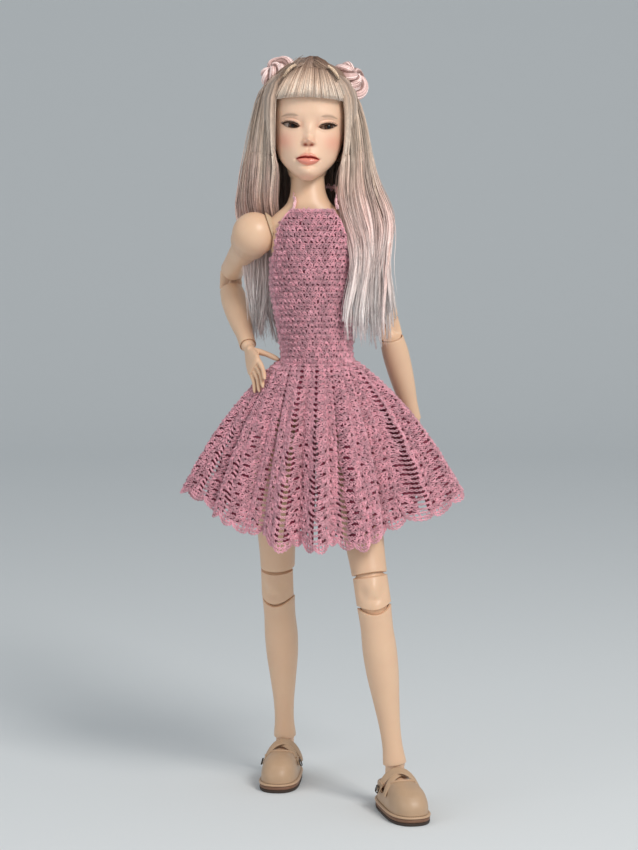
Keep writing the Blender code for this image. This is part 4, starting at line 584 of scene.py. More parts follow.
# Arms and legs: rows from the upper joint down to the lower one.
def makeLimbs():
    for side, word in ((-1, "right"), (1, "left")):
        rows = ballRows(arm["shoulderBall"], 3, 112, 18)
        rows += profileRows(arm["upper"], arm["upperRadius"], ((0.20, 1.40, 1.42, 0), (0.28, 1.16, 1.17, 0),
                            (0.42, 1.01, 1.05, 0.02), (0.62, 0.94, 0.98, 0.03), (0.80, 0.90, 0.91, 0.0),
                            (0.90, 0.875, 0.88, 0), (0.955, 0.866, 0.866, 0)), 26)
        rows += cupRows(arm["elbowBall"], arm["elbowRadius"], elbowRim, -arm["upper"], 1)
        limbPiece(f"upper_arm_{word}", rows, f"upper_arm_{word}")
        rows = hingeRows(arm["elbow"], arm["elbowBall"], arm["elbowRadius"], 1, elbowRim, forearmRim,
                         elbowPit(-side))
        limbPiece(f"elbow_{word}", rows, f"elbow_{word}")
        rows = cupRows(arm["elbowBall"], arm["elbowRadius"], forearmRim, 0, -1)[::-1]
        rows += profileRows(arm["lower"], arm["lowerRadius"],
                            ((0.05, 0.93, 0.92, 0), (0.16, 1.0, 0.98, 0.02),
                            (0.34, 0.99, 0.95, 0.05), (0.60, 0.85, 0.82, 0.04), (0.82, 0.67, 0.66, 0.0),
                            (0.95, 0.645, 0.645, 0)), 30)
        rows += cupRows(arm["wristBall"], arm["wristRadius"], lambda a: 84 + 0 * a, -arm["lower"], 1)
        limbPiece(f"forearm_{word}", rows, f"forearm_{word}")

        rows = ballRows(leg["hipBall"], 3, 96, 16)
        rows += profileRows(leg["thigh"], leg["thighRadius"],
                            ((0.05, 0.845, 0.85, 0), (0.12, 0.89, 0.91, 0),
                            (0.20, 0.97, 1.0, 0), (0.40, 0.98, 0.99, -0.02), (0.62, 0.87, 0.90, -0.03),
                            (0.82, 0.76, 0.78, -0.02), (0.93, 0.71, 0.72, 0), (0.975, 0.698, 0.70, 0)), 34)
        rows += cupRows(leg["kneeBall"], leg["kneeRadius"], kneeRim, -leg["thigh"], 1)
        limbPiece(f"thigh_{word}", rows, f"thigh_{word}")
        rows = hingeRows(leg["knee"], leg["kneeBall"], leg["kneeRadius"], -1, kneeRim, shinRim, kneecap)
        limbPiece(f"knee_{word}", rows, f"knee_{word}")
        rows = cupRows(leg["kneeBall"], leg["kneeRadius"] * 0.96, shinRim, 0, -1)[::-1]
        rows += profileRows(leg["shin"], leg["calfRadius"],
                            ((0.045, 0.97, 0.99, 0), (0.13, 0.95, 1.0, 0.05),
                            (0.27, 1.0, 1.10, 0.16), (0.42, 0.95, 1.06, 0.20), (0.60, 0.77, 0.84, 0.16),
                            (0.78, 0.61, 0.65, 0.08), (0.90, 0.60, 0.62, 0.02), (0.965, 0.665, 0.665, 0)),
                            40)
        rows += cupRows(leg["ankleBall"], leg["ankleRadius"], lambda a: 86 + 0 * a, -leg["shin"], 1)
        limbPiece(f"shin_{word}", rows, f"shin_{word}")


makeLimbs()
print("limbs made")


# Torso: rings of a rounded outline, with ball sockets cut into them

torso = {"lowerRise": 0.0245, "upperRise": 0.0320, "shoulderRise": 0.0455, "neckRise": 0.0385,
         "neckBack": 0.004,
         "waistBall": 0.015, "neckBall": 0.0118, "hipWidth": 0.028, "hipDepth": 0.0155,
         "chestWidth": 0.0252, "chestDepth": 0.016, "lining": 0.0009}


# A ring between an ellipse and a box: reach times cosine or sine to a power.
def squareRing(width, depth, height, shiftY=0.0, square=1.0):
    x = width * np.sign(cosines) * np.abs(cosines) ** square
    y = depth * np.sign(sines) * np.abs(sines) ** square
    return np.stack([x, y + shiftY, np.full_like(x, height)], -1)


# Rings between the rows of a table: height, width, depth and shift.
def torsoRows(table, count, square):
    table = np.asarray(table, float)
    heights = np.linspace(table[0, 0], table[-1, 0], count)
    return [squareRing(w, d, z, s, square) for z,
            (w, d, s) in zip(heights, smoothAt(table[:, 0], table[:, 1:], heights))]


# A whole ball.
def ballSolid(name, centre, radius):
    polar = np.radians(np.linspace(2, 178, 33))
    rings = np.stack([np.stack([radius * math.sin(p) * cosines, radius * math.sin(p) * sines,
                                np.full_like(cosines, radius * math.cos(p))], -1) for p in polar])
    return ringSolid(name, rings + np.asarray(centre), None)


# Pelvis, waist and chest: rings between balls, less the sockets and the leg openings.
def makeTorso():
    t = torso
    ball, rise = t["waistBall"], t["lowerRise"]
    table = [(rise * z, t["hipWidth"] * w, t["hipDepth"] * d, 0) for z, w, d in
             ((-0.42, 0.16, 0.62), (-0.34, 0.30, 0.78), (-0.20, 0.60, 0.92), (0.0, 0.90, 1.01),
              (0.20, 1.0, 1.05),
              (0.42, 0.90, 0.95), (0.60, 0.60, 0.80))]
    rows = torsoRows(table, 26, 0.92) + ballRows(ball, 118, 3, 16, rise)
    pelvis = ringSolid("pelvis_skin", toWorld(frames["pelvis"], np.stack(rows)), resin)
    for side, word in ((-1, "right"), (1, "left")):
        hip = place(f"hip_swing_{word}")
        cutAway(pelvis, ballSolid("socket", hip, leg["hipBall"] + t["lining"]))
        lower = [ringAt(r, r, z) for r, z in ((0.0165, -0.0005), (0.0178, -0.006), (0.0178, -0.03),
                                              (0.002, -0.032))]
        lower = np.stack(lower) + np.array([side * 0.0205, 0, 0.0025])
        cutAway(pelvis, ringSolid("opening", toWorld(frames["pelvis"], lower), None))
    finishPiece(pelvis, "pelvis", "resin_skin", "pelvis")

    middle = t["upperRise"] / 2
    rows = cupRows(ball, ball * 1.16, lambda a: 80 + 0 * a, 0, 1)[::-1]
    rows += torsoRows([(ball * 0.20, ball * 1.16, ball * 1.08, 0),
                       (middle * 0.6, ball * 1.13, ball * 1.0, 0),
                       (middle, ball * 1.07, ball * 0.97, 0), (middle * 1.25, ball * 0.99, ball * 0.95, 0)],
                       10, 1.0)
    rows += ballRows(ball, 108, 3, 16, t["upperRise"])
    waist = ringSolid("waist_skin", toWorld(frames["waist"], np.stack(rows)), resin)
    waist.data.set_sharp_from_angle(angle=math.radians(50))
    finishPiece(waist, "waist", "resin_skin", "waist")

    rows = cupRows(ball, ball * 1.20, lambda a: 80 + 0 * a, 0, 1)[::-1]
    table = [(ball * 0.20, ball * 1.20, ball * 1.12, 0)]
    table += [(t["shoulderRise"] * z, t["chestWidth"] * w, t["chestDepth"] * d, s) for z, w, d, s in
              ((0.14, 0.80, 0.96, 0), (0.32, 0.86, 1.04, 0), (0.55, 0.88, 1.10, 0), (0.76, 0.90, 1.06, 0),
               (1.0, 0.98, 0.93, 0), (1.15, 0.97, 0.78, 0.0006), (1.26, 0.76, 0.68, 0.0012),
               (1.36, 0.545, 0.71, 0.0022), (1.48, 0.435, 0.665, 0.003), (1.60, 0.40, 0.625, 0.0036),
               (1.72, 0.395, 0.62, 0.004))]
    rows += torsoRows(table, 66, 0.94)
    neckCentre = t["shoulderRise"] + t["neckRise"]
    rows += [row + [0, t["neckBack"], 0] for row in ballRows(t["neckBall"], 120, 3, 16, neckCentre)]
    chest = ringSolid("chest_skin", toWorld(frames["chest"], np.stack(rows)), resin)
    for word in ("right", "left"):
        cutAway(chest, ballSolid("socket", place(f"shoulder_swing_{word}"),
                                 arm["shoulderBall"] + t["lining"]))
    finishPiece(chest, "chest", "resin_skin", "chest")


makeTorso()
print("torso made")


# Hands and feet: each is merged from its parts and smoothed

# A closed skin over several overlapping solids.
def mergedPiece(name, parts, voxel, coat):
    points, quads, triangles = joined(parts)
    piece = addPiece(name, points, quads, triangles, coat)
    melt = piece.modifiers.new("melt", "REMESH")
    melt.mode, melt.voxel_size = "VOXEL", voxel
    soften = piece.modifiers.new("soften", "SMOOTH")
    soften.factor, soften.iterations = 0.5, 5
    settle(piece)
    piece.data.shade_smooth()
    return piece


hand = {"palmLength": 0.0175, "palmWidth": 0.0135, "palmThickness": 0.0056, "finger": 0.0185,
        "fingerRadius": 0.00150,
        "lead": {"right": ((0.40, -0.50, -0.77), (0.86, -0.34, -0.24)), "left": None},
        "fingers": ((-0.38, 0.86, -0.10, 0.30), (-0.13, 0.98, -0.03, 0.26), (0.12, 0.94, 0.04, 0.32),
                    (0.37, 0.78, 0.13, 0.40)), "voxel": 0.00028}
foot = {"length": 0.048, "heel": 0.012, "halfWidth": 0.0105, "rise": 0.0213, "floor": -0.0207,
        "voxel": 0.00045,
        "shares": ((0.0, 0.42, 0.25), (0.06, 0.62, 0.46), (0.25, 0.66, 0.64), (0.40, 0.70, 0.66),
                   (0.52, 0.76, 0.56),
                   (0.68, 0.84, 0.40), (0.85, 0.80, 0.27), (0.97, 0.56, 0.20))}


# A finger: round, a little thicker at each knuckle, with a rounded tip and a nail on its back.
def fingerTube(root, aim, curled, length, radius, where, count=22):
    knuckle = root + unit(aim) * length * 0.5
    tip = knuckle + unit(curled) * length * 0.52
    path = smoothPath(np.stack([root - unit(aim) * 0.003, root, knuckle, tip]), count)
    share = np.linspace(0, 1, count)
    width = smoothAt((0, 0.15, 0.34, 0.5, 0.64, 0.8, 0.93, 1.0),
                     (1.1, 1.12, 0.98, 1.06, 0.90, 0.90, 0.76, 0.34), share)
    return tubes(toWorld(where, path)[None], (radius * width)[None], 12, where[1][0])


# Hands: a palm, four fingers, a thumb and the wrist ball, merged.
def makeHands():
    for side, word in ((-1, "right"), (1, "left")):
        where = frames[f"hand_{word}"]
        thumbSide, width, length = -side, hand["palmWidth"], hand["palmLength"]
        start = arm["wristBall"]
        table = ((-0.12, 0.50, 0.92, 0.0), (0.04, 0.58, 0.96, 0.0), (0.25, 0.72, 1.02, 0.01),
                 (0.50, 0.92, 1.0, 0.03),
                 (0.75, 1.0, 0.88, 0.06), (0.96, 0.94, 0.66, 0.12), (1.04, 0.80, 0.40, 0.14))
        shares = np.linspace(-0.12, 1.04, 18)
        rows = [squareRing(width / 2 * w, hand["palmThickness"] / 2 * d, -start - length * s,
                           -hand["palmThickness"] * drop, 0.85)
                for s, (w, d, drop) in zip(shares,
                                           smoothAt([r[0] for r in table], [r[1:] for r in table], shares))]
        parts = [solidOf(toWorld(where, np.stack(rows)))]
        for across, reach, lean, curl in hand["fingers"]:
            root = np.array([-thumbSide * across * width, 0, -start - length * 0.88])
            aim = np.array([-thumbSide * lean, -curl * 0.35, -1])
            curled = np.array([-thumbSide * lean * 0.6, -curl * 1.5, -1])
            lead = hand["lead"][word]
            if lead:
                spread = np.array([-thumbSide * lean * 0.7, -0.25 * curl, 0])
                aim = np.array(lead[0]) @ where[1].T + spread
                curled = aim + [0, -0.25, 0]
            parts.append(fingerTube(root, aim, curled, hand["finger"] * reach, hand["fingerRadius"], where))
        root = np.array([thumbSide * width * 0.22, 0, -start - length * 0.22])
        aim, curled = np.array([thumbSide * 0.70, -0.30, -0.68]), np.array([thumbSide * 0.50, -0.32, -0.80])
        if hand["lead"][word]:
            aim = np.array(hand["lead"][word][1]) @ where[1].T
            curled = aim + [0, 0, -0.25]
        parts.append(fingerTube(root, aim, curled, hand["finger"] * 0.98,
                                hand["fingerRadius"] * 1.25, where))
        ball = np.stack(ballRows(start, 2, 178, 20))
        parts.append(solidOf(toWorld(where, ball)))
        piece = mergedPiece(f"hand_{word}_skin", parts, hand["voxel"], resin)
        finishPiece(piece, f"hand_{word}", "resin_skin", f"hand_{word}")


# Feet: a sole form and the ankle, merged.
def makeFeet():
    for word in ("right", "left"):
        where = frames[f"foot_{word}"]
        table = np.array(foot["shares"])
        shares = np.linspace(0, 0.97, 26)
        rings = []
        for share, (w, h) in zip(shares, smoothAt(table[:, 0], table[:, 1:], shares)):
            x = foot["halfWidth"] * w * cosines
            z = foot["floor"] + foot["rise"] * h * (1 + sines) / 2 * 1.15
            rings.append(np.stack([x, np.full_like(x, foot["heel"] - foot["length"] * share), z], -1))
        ball, rise = leg["ankleBall"], foot["rise"]
        neck = ballRows(ball, 2, 110, 14)
        for z, w, d in ((-0.42, 1.02, 1.25), (-0.62, 1.0, 1.4), (-0.80, 1.0, 1.5)):
            neck.append(ringAt(ball * w, ball * d, rise * z, 0, -0.001))
        parts = [solidOf(toWorld(where, np.stack(rings))), solidOf(toWorld(where, np.stack(neck)))]
        piece = mergedPiece(f"foot_{word}_skin", parts, foot["voxel"], resin)
        finishPiece(piece, f"foot_{word}", "resin_skin", f"foot_{word}")


makeHands()
makeFeet()
print("hands and feet made")


# Head: the skull is one table of outlines by height, and the face is relief laid over it

head = {"width": 0.0226, "depth": 0.0268, "height": 0.0675, "chin": 0.0087, "eyeRadius": 0.0055,
        "eye": (0.0102, -0.0148, 0.0222), "lidHalf": 0.0047, "irisRadius": 0.0027, "columns": 250,
        "rows": 250}
skull = np.array([(0, 0.12, 0.80, -0.50), (0.03, 0.27, 0.88, -0.20), (0.085, 0.47, 0.92, 0.10),
                  (0.16, 0.68, 0.92, 0.38),
                  (0.26, 0.82, 0.93, 0.66), (0.38, 0.92, 0.93, 0.86), (0.50, 0.975, 0.95, 0.96),
                  (0.62, 1, 0.985, 1),
                  (0.74, 0.97, 0.97, 0.98), (0.84, 0.86, 0.86, 0.88), (0.92, 0.66, 0.66, 0.70),
                  (0.965, 0.44, 0.44, 0.48),
                  (0.990, 0.24, 0.24, 0.27)])


# Outline sizes at a height share: half width, middle in depth and half depth.
def skullSizes(share, offset):
    w, f, b = np.moveaxis(smoothAt(skull[:, 0], skull[:, 1:], np.clip(share, 0, 0.99)), -1, 0)
    return head["width"] * w + offset, head["depth"] * (b - f) / 2, head["depth"] * (b + f) / 2 + offset


# A point of the skull by direction and height share, some way off its surface.
def skullAt(turn, share, offset=0.0):
    width, middle, depth = skullSizes(share, offset)
    x = width * np.cos(turn)
    y = middle + depth * np.sign(np.sin(turn)) * np.abs(np.sin(turn)) ** 0.88
    z = -head["chin"] + head["height"] * share + offset * (2 * share - 1)
    return np.stack(np.broadcast_arrays(x, y, z), -1)


# A point on the front or back of the skull straight above a place across it.
def skullFront(x, z, offset, front=-1.0):
    share = (z + head["chin"] - offset * 0.4) / head["height"]
    width, middle, depth = skullSizes(share, offset)
    rounding = np.maximum(1 - (x / width) ** 2, 0.0) ** 0.44
    return np.stack(np.broadcast_arrays(x, middle + front * depth * rounding, z), -1)


# Lines of the mouth by distance from the middle: upper edge, parting and lower edge, in head heights.
def lipLines(across):
    reach = np.clip(across / 0.100, 0, 1)
    parting = 0.060 - 0.016 * reach ** 2 - 0.003 * bell(across, 0, 0.012)
    bow = 1 - 0.16 * bell(across, 0, 0.014)
    upper = parting + 0.045 * (1 - reach ** 1.7) * bow
    lower = parting - 0.070 * (1 - reach ** 2) ** 0.8
    return upper, parting, lower


# Eye opening: how far along it a place is, and the heights of its two lids, in head heights.
def lidLines(across):
    along = (across - head["eye"][0] / head["height"]) / (head["lidHalf"] / head["height"])
    middle = 0.330 + 0.010 * along
    inside = np.clip(1 - along ** 2, 0, 1)
    return along, middle + 0.021 * inside ** 0.62, middle - 0.023 * inside ** 0.8


# The face's height over the skull: a sum of bell curves, in head heights.
def faceRelief(x, z):
    u, v = np.abs(x) / head["height"], z / head["height"]
    bump = lambda a, b, c, d: bell(u, a, c) * bell(v, b, d)
    under = softStep(0.150, 0.188, v)
    nose = (0.072 * bump(0, 0.203, 0.031, 0.030) + 0.024 * bump(0, 0.280, 0.036, 0.060)) * under
    wings = 0.030 * bump(0.040, 0.186, 0.020, 0.019) * softStep(0.155, 0.180, v)
    nostril = -0.006 * bump(0.027, 0.170, 0.011, 0.008)
    groove = -0.004 * bump(0, 0.130, 0.012, 0.020)
    upper, parting, lower = lipLines(u)
    high = np.clip((v - parting) / np.maximum(upper - parting, 0.002), 0, 1)
    low = np.clip((parting - v) / np.maximum(parting - lower, 0.002), 0, 1)
    width = 1 - softStep(0.078, 0.102, u)
    lips = width * (0.022 * np.sin(math.pi * high) ** 0.8 + 0.032 * np.sin(math.pi * low) ** 0.8)
    lips -= 0.014 * bell(v - parting, 0, 0.006) * (1 - softStep(0.090, 0.108, u))
    corner = -0.008 * bump(0.106, 0.044, 0.014, 0.014)
    muzzle = 0.026 * bump(0, 0.060, 0.12, 0.075)
    chin = 0.036 * bump(0, -0.062, 0.070, 0.045) - 0.010 * bump(0, -0.020, 0.055, 0.016)
    hollow = -0.018 * bump(0.155, 0.325, 0.080, 0.052) - 0.012 * bump(0.065, 0.335, 0.022, 0.045)
    brow = 0.014 * bump(0.150, 0.430, 0.12, 0.045)
    cheek = 0.016 * bump(0.185, 0.175, 0.095, 0.090)
    along, lidTop, lidLow = lidLines(u)
    lid = 0.012 * bell(v - lidTop, 0.014, 0.018) * bell(along, 0, 1.0) + 0.008 * bell(v - lidLow, -0.010,
                                                                                      0.012) * bell(along,
                                                                                                    0, 0.9)
    crease = -0.007 * bell(v - lidTop, 0.036, 0.006) * bell(along, 0.1, 0.9)
    return (nose + wings + nostril + groove + lips + corner + muzzle + chin + hollow + brow + cheek + lid + crease) * head["height"]


# Face paint: each mask is a soft shape in head heights. Blush, lips, parting, brow and liner are the faceup's
# paint; the nostrils and shade masks are painted shade.
def faceMasks(x, z, front):
    u, v = np.abs(x) / head["height"], z / head["height"]
    bump = lambda a, b, c, d: bell(u, a, c) * bell(v, b, d)
    upper, parting, lower = lipLines(u)
    inLip = 1 - softStep(upper - 0.014, upper + 0.010, v)
    inLip = inLip * softStep(lower - 0.008, lower + 0.010, v) * (1 - softStep(0.088, 0.104, u))
    inLip *= 1 - 0.40 * softStep(parting, upper, v)
    along, lidTop, lidLow = lidLines(u)
    line = bell(v - lidTop, 0.003, 0.0068) * (1 - softStep(1.0, 1.35, np.abs(along - 0.12)))
    wing = 0.8 * bell(v - (0.344 + 0.020 * (along - 1)), 0, 0.007) * bell(along, 1.05, 0.18)
    lowLine = 0.55 * bell(v - lidLow, -0.003, 0.006) * (1 - softStep(0.8, 1.1, np.abs(along - 0.1)))
    browMiddle = 0.408 + 0.009 * bell(u, 0.165, 0.055) - 0.16 * np.maximum(0, u - 0.20)
    browWidth = 0.0095 * softStep(0.085, 0.14, u) * (1 - softStep(0.19, 0.25, u)) + 0.0025
    brow = bell(v - browMiddle, 0, browWidth) * softStep(0.085, 0.115, u) * (1 - softStep(0.232, 0.250, u))
    return {
        "lips": inLip * front, "parting": bell(v - parting, 0,
                                               0.0100) * (1 - softStep(0.090, 0.112, u)) * front,
        "blush": (0.78 * bump(0.215, 0.195, 0.085, 0.075) + 0.40 * bump(0, 0.190, 0.050, 0.030)
                  + 0.35 * bump(0, -0.115, 0.12, 0.028) + 0.30 * bump(0.160, 0.375, 0.090, 0.030)) * front,
        "liner": np.clip(line + 0.9 * wing + lowLine, 0, 1) * front,
        "brow": brow * front,
        # nostrils: painted shade, dark orange in the nostril pits and in a band under the nose tip
        "nostrils": np.clip(bump(0.028, 0.167, 0.016, 0.012) + 0.45 * bump(0.012, 0.160, 0.035, 0.009), 0,
                            1) * front,
        # shade: painted shade at the sides of the nose, under its tip, beside the inner eye corners and in the
        # groove over the upper lip
        "shade": (0.35 * bump(0.046, 0.215, 0.012, 0.040) + 0.6 * bump(0, 0.152, 0.045, 0.010)
                  + 0.6 * bump(0.068, 0.330, 0.020, 0.030) + 0.5 * bump(0, 0.118, 0.02, 0.014)) * front}


# Skin with each paint mask mixed over it in turn; the shade and nostrils tones are painted shade.
def faceCoat():
    made, tree, shader = newCoat("resin_face", 0.42, Subsurface_Weight=0.08, Subsurface_Scale=0.003,
                                 Subsurface_Radius=(1.0, 0.4, 0.2))
    node = useGrain(tree, tone(240, 204, 176), tone(226, 184, 154), 60, 3500, 0.5)
    colour = node.outputs["Colour"]
    for key, tint, share in (("blush", tone(232, 150, 128), 0.72), ("shade", tone(196, 128, 100), 0.8),
                             ("nostrils", tone(150, 60, 34), 0.95), ("lips", tone(230, 132, 116), 0.84),
                             ("parting", tone(168, 30, 26), 0.95), ("brow", tone(150, 120, 100), 0.66),
                             ("liner", tone(88, 56, 44), 0.88)):
        weight = addNode(tree, "ShaderNodeMath", {0: mask(tree, key), 1: share},
                         operation="MULTIPLY").outputs[0]
        colour = mixColour(tree, weight, colour, (*tint, 1))
    tree.links.new(colour, shader.inputs["Base Color"])
    gloss = addNode(tree, "ShaderNodeMapRange",
                    {"Value": mask(tree, "lips"), "To Min": 0.44, "To Max": 0.12})
    tree.links.new(gloss.outputs[0], shader.inputs["Roughness"])
    relief = addNode(tree, "ShaderNodeBump", {"Height": node.outputs["Height"], "Distance": 0.000012})
    tree.links.new(relief.outputs["Normal"], shader.inputs["Normal"])
    return made


# The face shell: the skull with its relief, less the neck socket and the cap opening.
def makeFace():
    rows, columns = head["rows"], head["columns"]
    share = np.interp(np.linspace(0, 1, rows), (0, 0.10, 0.84, 1), (0.0, 0.06, 0.64, 0.99))[:, None]
    turn = 2 * math.pi * np.arange(columns)[None, :] / columns
    turn = turn - 0.60 * np.cos(turn)
    points = skullAt(turn, share)
    front = np.clip(-2 * np.sin(turn), 0, 1) * np.ones_like(share)
    x, z = points[..., 0], points[..., 2]
    points[..., 1] -= faceRelief(x, z) * front
    u, v = np.abs(x) / head["height"], z / head["height"]
    along, lidTop, lidLow = lidLines(u)
    inside = np.minimum(lidTop - v, v - lidLow) * head["height"]
    points[..., 1] += 0.0056 * softStep(-0.00005, 0.00045, inside) * (np.abs(along) < 1) * (front > 0.2)
    masks = faceMasks(x, z, front)
    piece = ringSolid("face_skin", toWorld(frames["head"], points), faceCoat(), masks)
    neck = ballRows(0.0123, 3, 92, 14) + [ringAt(0.0124, 0.0124, -0.004), ringAt(0.0150, 0.0150, -0.020)]
    cutAway(piece, ringSolid("socket", toWorld(frames["head"], np.stack(neck)), None))
    slope = math.radians(34)
    origin = np.array([0, 0.30 * head["depth"], 0.56 * head["height"]])
    lean = np.array([[1, 0, 0], [0, math.cos(slope), math.sin(slope)],
                     [0, -math.sin(slope), math.cos(slope)]])
    corners = np.array([[x, y, z] for z in (-1, 1) for x, y in ((-1, 0), (1, 0), (1, 1), (-1, 1))]) * [0.05,
                                                                                                       0.06,
                                                                                                       0.08]
    box = ringSolid("capCutter", toWorld(frames["head"], (corners @ lean + origin).reshape(2, 4, 3)), None)
    cutAway(piece, box)
    finishPiece(piece, "head", "resin_skin", "face_shell")


# An eye: a glass ball with a dark iris, turned a little to one side.
def makeEyes():
    made, tree, shader = newCoat("eye_glass", 0.10, Specular_IOR_Level=0.35)
    # The white of the eye is a greyish beige, darker than white glass, as painted shade of the lids and lashes
    # over it.
    node = useGrain(tree, tone(170, 150, 138), tone(150, 126, 114), 300, 4000, 0.5)
    iris = ramp(tree, mask(tree, "radius"),
                ((0.0, tone(8, 6, 6)), (0.40, tone(12, 9, 8)), (0.46, tone(84, 54, 36)),
                                            (0.80, tone(70, 46, 32)), (0.95, tone(24, 18, 16)),
                                            (1.0, tone(30, 22, 20))))
    streak = addNode(tree, "ShaderNodeTexNoise",
                     {"Vector": addNode(tree, "ShaderNodeTexCoord").outputs["Object"],
                                                  "Scale": 3200.0, "Detail": 3.0}).outputs["Fac"]
    shade = addNode(tree, "ShaderNodeMapRange", {"Value": streak, "To Min": 0.7, "To Max": 1.25}).outputs[0]
    inner = mixColour(tree, 1.0, iris, shade, "MULTIPLY")
    colour = mixColour(tree, mask(tree, "white"), inner, node.outputs["Colour"])
    tree.links.new(colour, shader.inputs["Base Color"])
    for side, word, gaze in ((-1, "right", 0.0007), (1, "left", 0.0012)):
        centre = head["eye"] * np.array([side, 1, 1])
        polar, around = np.radians(np.linspace(1, 179, 70))[:, None], 2 * math.pi * np.arange(64)[None,
                                                                                                  :] / 64
        radius = head["eyeRadius"] * np.ones_like(polar * around)
        distance = polar * head["eyeRadius"]
        radius = radius + 0.0003 * bell(distance, 0, 0.0022)
        rings = np.stack([radius * np.sin(polar) * np.cos(around), -radius * np.cos(polar),
                          radius * np.sin(polar) * np.sin(around)], -1)
        angle = gaze / head["eyeRadius"]
        spin = np.array([[math.cos(angle), math.sin(angle), 0], [-math.sin(angle), math.cos(angle), 0],
                         [0, 0, 1]])
        share = np.clip(distance / head["irisRadius"], 0, 1) * np.ones_like(around)
        masks = {"radius": share, "white": softStep(0.94, 1.06,
                                                    distance / head["irisRadius"]) * np.ones_like(around)}
        rings = toWorld(frames["head"], rings @ spin + centre)
        finishPiece(ringSolid(f"eye_{word}_glass", rings, made, masks), "head", "eye_glass", f"eye_{word}")


# Lashes: short tapered hairs along the upper lid, a few finer ones below.
def makeLashes():
    chance = np.random.default_rng(5)
    parts = []
    for side in (-1, 1):
        for count, upper, reach, thick in ((46, True, 0.0024, 0.00010), (24, False, 0.0010, 0.00005)):
            along = np.linspace(-0.75 if upper else -0.5, 1.05 if upper else 0.95, count)
            u = (head["eye"][0] + along * head["lidHalf"]) / head["height"]
            _, top, low = lidLines(u)
            v = top if upper else low
            x, z = u * head["height"] * side, v * head["height"]
            root = skullFront(x, z, 0.0)
            root[:, 1] -= faceRelief(x, z) - 0.0003
            length = reach * (0.55 + 0.45 * np.clip(along + 0.6, 0, 1)) * chance.uniform(0.8, 1.1, count)
            out = np.stack([side * (0.25 + 0.55 * np.clip(along, -0.6, 1)), np.full(count, -0.75),
                            np.full(count, 0.10 if upper else -0.55)], -1)
            t = np.linspace(0, 1, 6)[None, :, None]
            path = root[:, None] + unit(out)[:, None] * (length[:, None, None] * t)
            path[..., 2] += (0.45 if upper else -0.1) * length[:, None] * t[..., 0] ** 2
            parts.append(tubes(toWorld(frames["head"], path), thick * (1.15 - t[..., 0]), 4))
    points, quads, triangles = joined(parts)
    coat = plainCoat("lash_hair", tone(50, 34, 28), tone(34, 24, 20), 0.5, 800, 5000, 0.5)
    finishPiece(addPiece("lashes", points, quads, triangles, coat), "head", "hair_roots")


makeFace()
makeEyes()
makeLashes()
print("face made")


# Wig: a thin cap, then hair as many fine tapered strands that follow guide curves in clumps

# Ground cloth or cap: a grid of thin cells between two surfaces, some of them left open.
def thinGround(name, outer, inner, openCell, wrap, coat, masks=None):
    rows, columns = outer.shape[:2]
    size = rows * columns
    keep = gridQuads(rows, columns, wrap)[~openCell.reshape(-1)]
    edges = np.concatenate([keep[:, [k, (k + 1) % 4]] for k in range(4)])
    key = np.sort(edges, 1) @ np.array([size, 1])
    _, index, counts = np.unique(key, return_index=True, return_counts=True)
    border = edges[index[counts == 1]]
    walls = np.stack([border[:, 1], border[:, 0], border[:, 0] + size, border[:, 1] + size], -1)
    quads = np.concatenate([keep, keep[:, ::-1] + size, walls])
    used = np.unique(quads)
    fresh = np.zeros(2 * size, int)
    fresh[used] = np.arange(len(used))
    points = np.concatenate([outer.reshape(-1, 3), inner.reshape(-1, 3)])[used]
    masks = {k: np.tile(v.ravel(), 2)[used] for k, v in (masks or {}).items()}
    return addPiece(name, points, fresh[quads], None, coat, masks)


wig = {"cap": 0.0020, "capThickness": 0.0012, "strand": 0.00018, "fringeEnd": 0.0382, "splitHigh": 0.010,
       "splitLow": -0.002, "clump": 0.0016, "wave": 0.0048, "locks": 2.5, "ribbon": 0.0014, "perClump": 8}
hairDice = np.random.default_rng(23)


# Hair colour along its length: ash brown at the root, blonde, then dusty pink and silver towards the tip.
def hairCoat(name, stops, roughness):
    made, tree, shader = newCoat(name, roughness, Anisotropic=0.5, Sheen_Weight=0.15, Coat_Weight=0.35,
                                 Coat_Roughness=0.25)
    colour = ramp(tree, mask(tree, "tint"), stops)
    # The shade mask scales each strand's colour; it carries random tone, and for deeper clumps, buns and braids it
    # carries painted light and shade.
    shade = addNode(tree, "ShaderNodeMapRange",
                    {"Value": mask(tree, "shade"), "To Min": 0.62, "To Max": 1.50})
    deep = mixColour(tree, 1.0, colour, shade.outputs[0], "MULTIPLY")
    spot = addNode(tree, "ShaderNodeTexCoord").outputs["Object"]
    fine = addNode(tree, "ShaderNodeTexNoise",
                   {"Vector": spot, "Scale": 900.0, "Detail": 3.0}).outputs["Fac"]
    thin = addNode(tree, "ShaderNodeVectorMath", {0: spot, 1: (1.0, 1.0, 0.04)},
                   operation="MULTIPLY").outputs[0]
    streak = addNode(tree, "ShaderNodeTexNoise",
                     {"Vector": thin, "Scale": 2600.0, "Detail": 2.0}).outputs["Fac"]
    vary = addNode(tree, "ShaderNodeMapRange",
                   {"Value": streak, "From Min": 0.25, "From Max": 0.75, "To Min": 0.72,
                                                "To Max": 1.20}).outputs[0]
    relief = addNode(tree, "ShaderNodeBump", {"Height": streak, "Distance": 0.00006, "Strength": 0.7})
    tree.links.new(relief.outputs["Normal"], shader.inputs["Normal"])
    tree.links.new(mixColour(tree, 1.0, deep, vary, "MULTIPLY"), shader.inputs["Base Color"])
    rough = addNode(tree, "ShaderNodeMapRange",
                    {"Value": fine, "To Min": roughness - 0.06, "To Max": roughness + 0.08})
    tree.links.new(rough.outputs[0], shader.inputs["Roughness"])
    return made


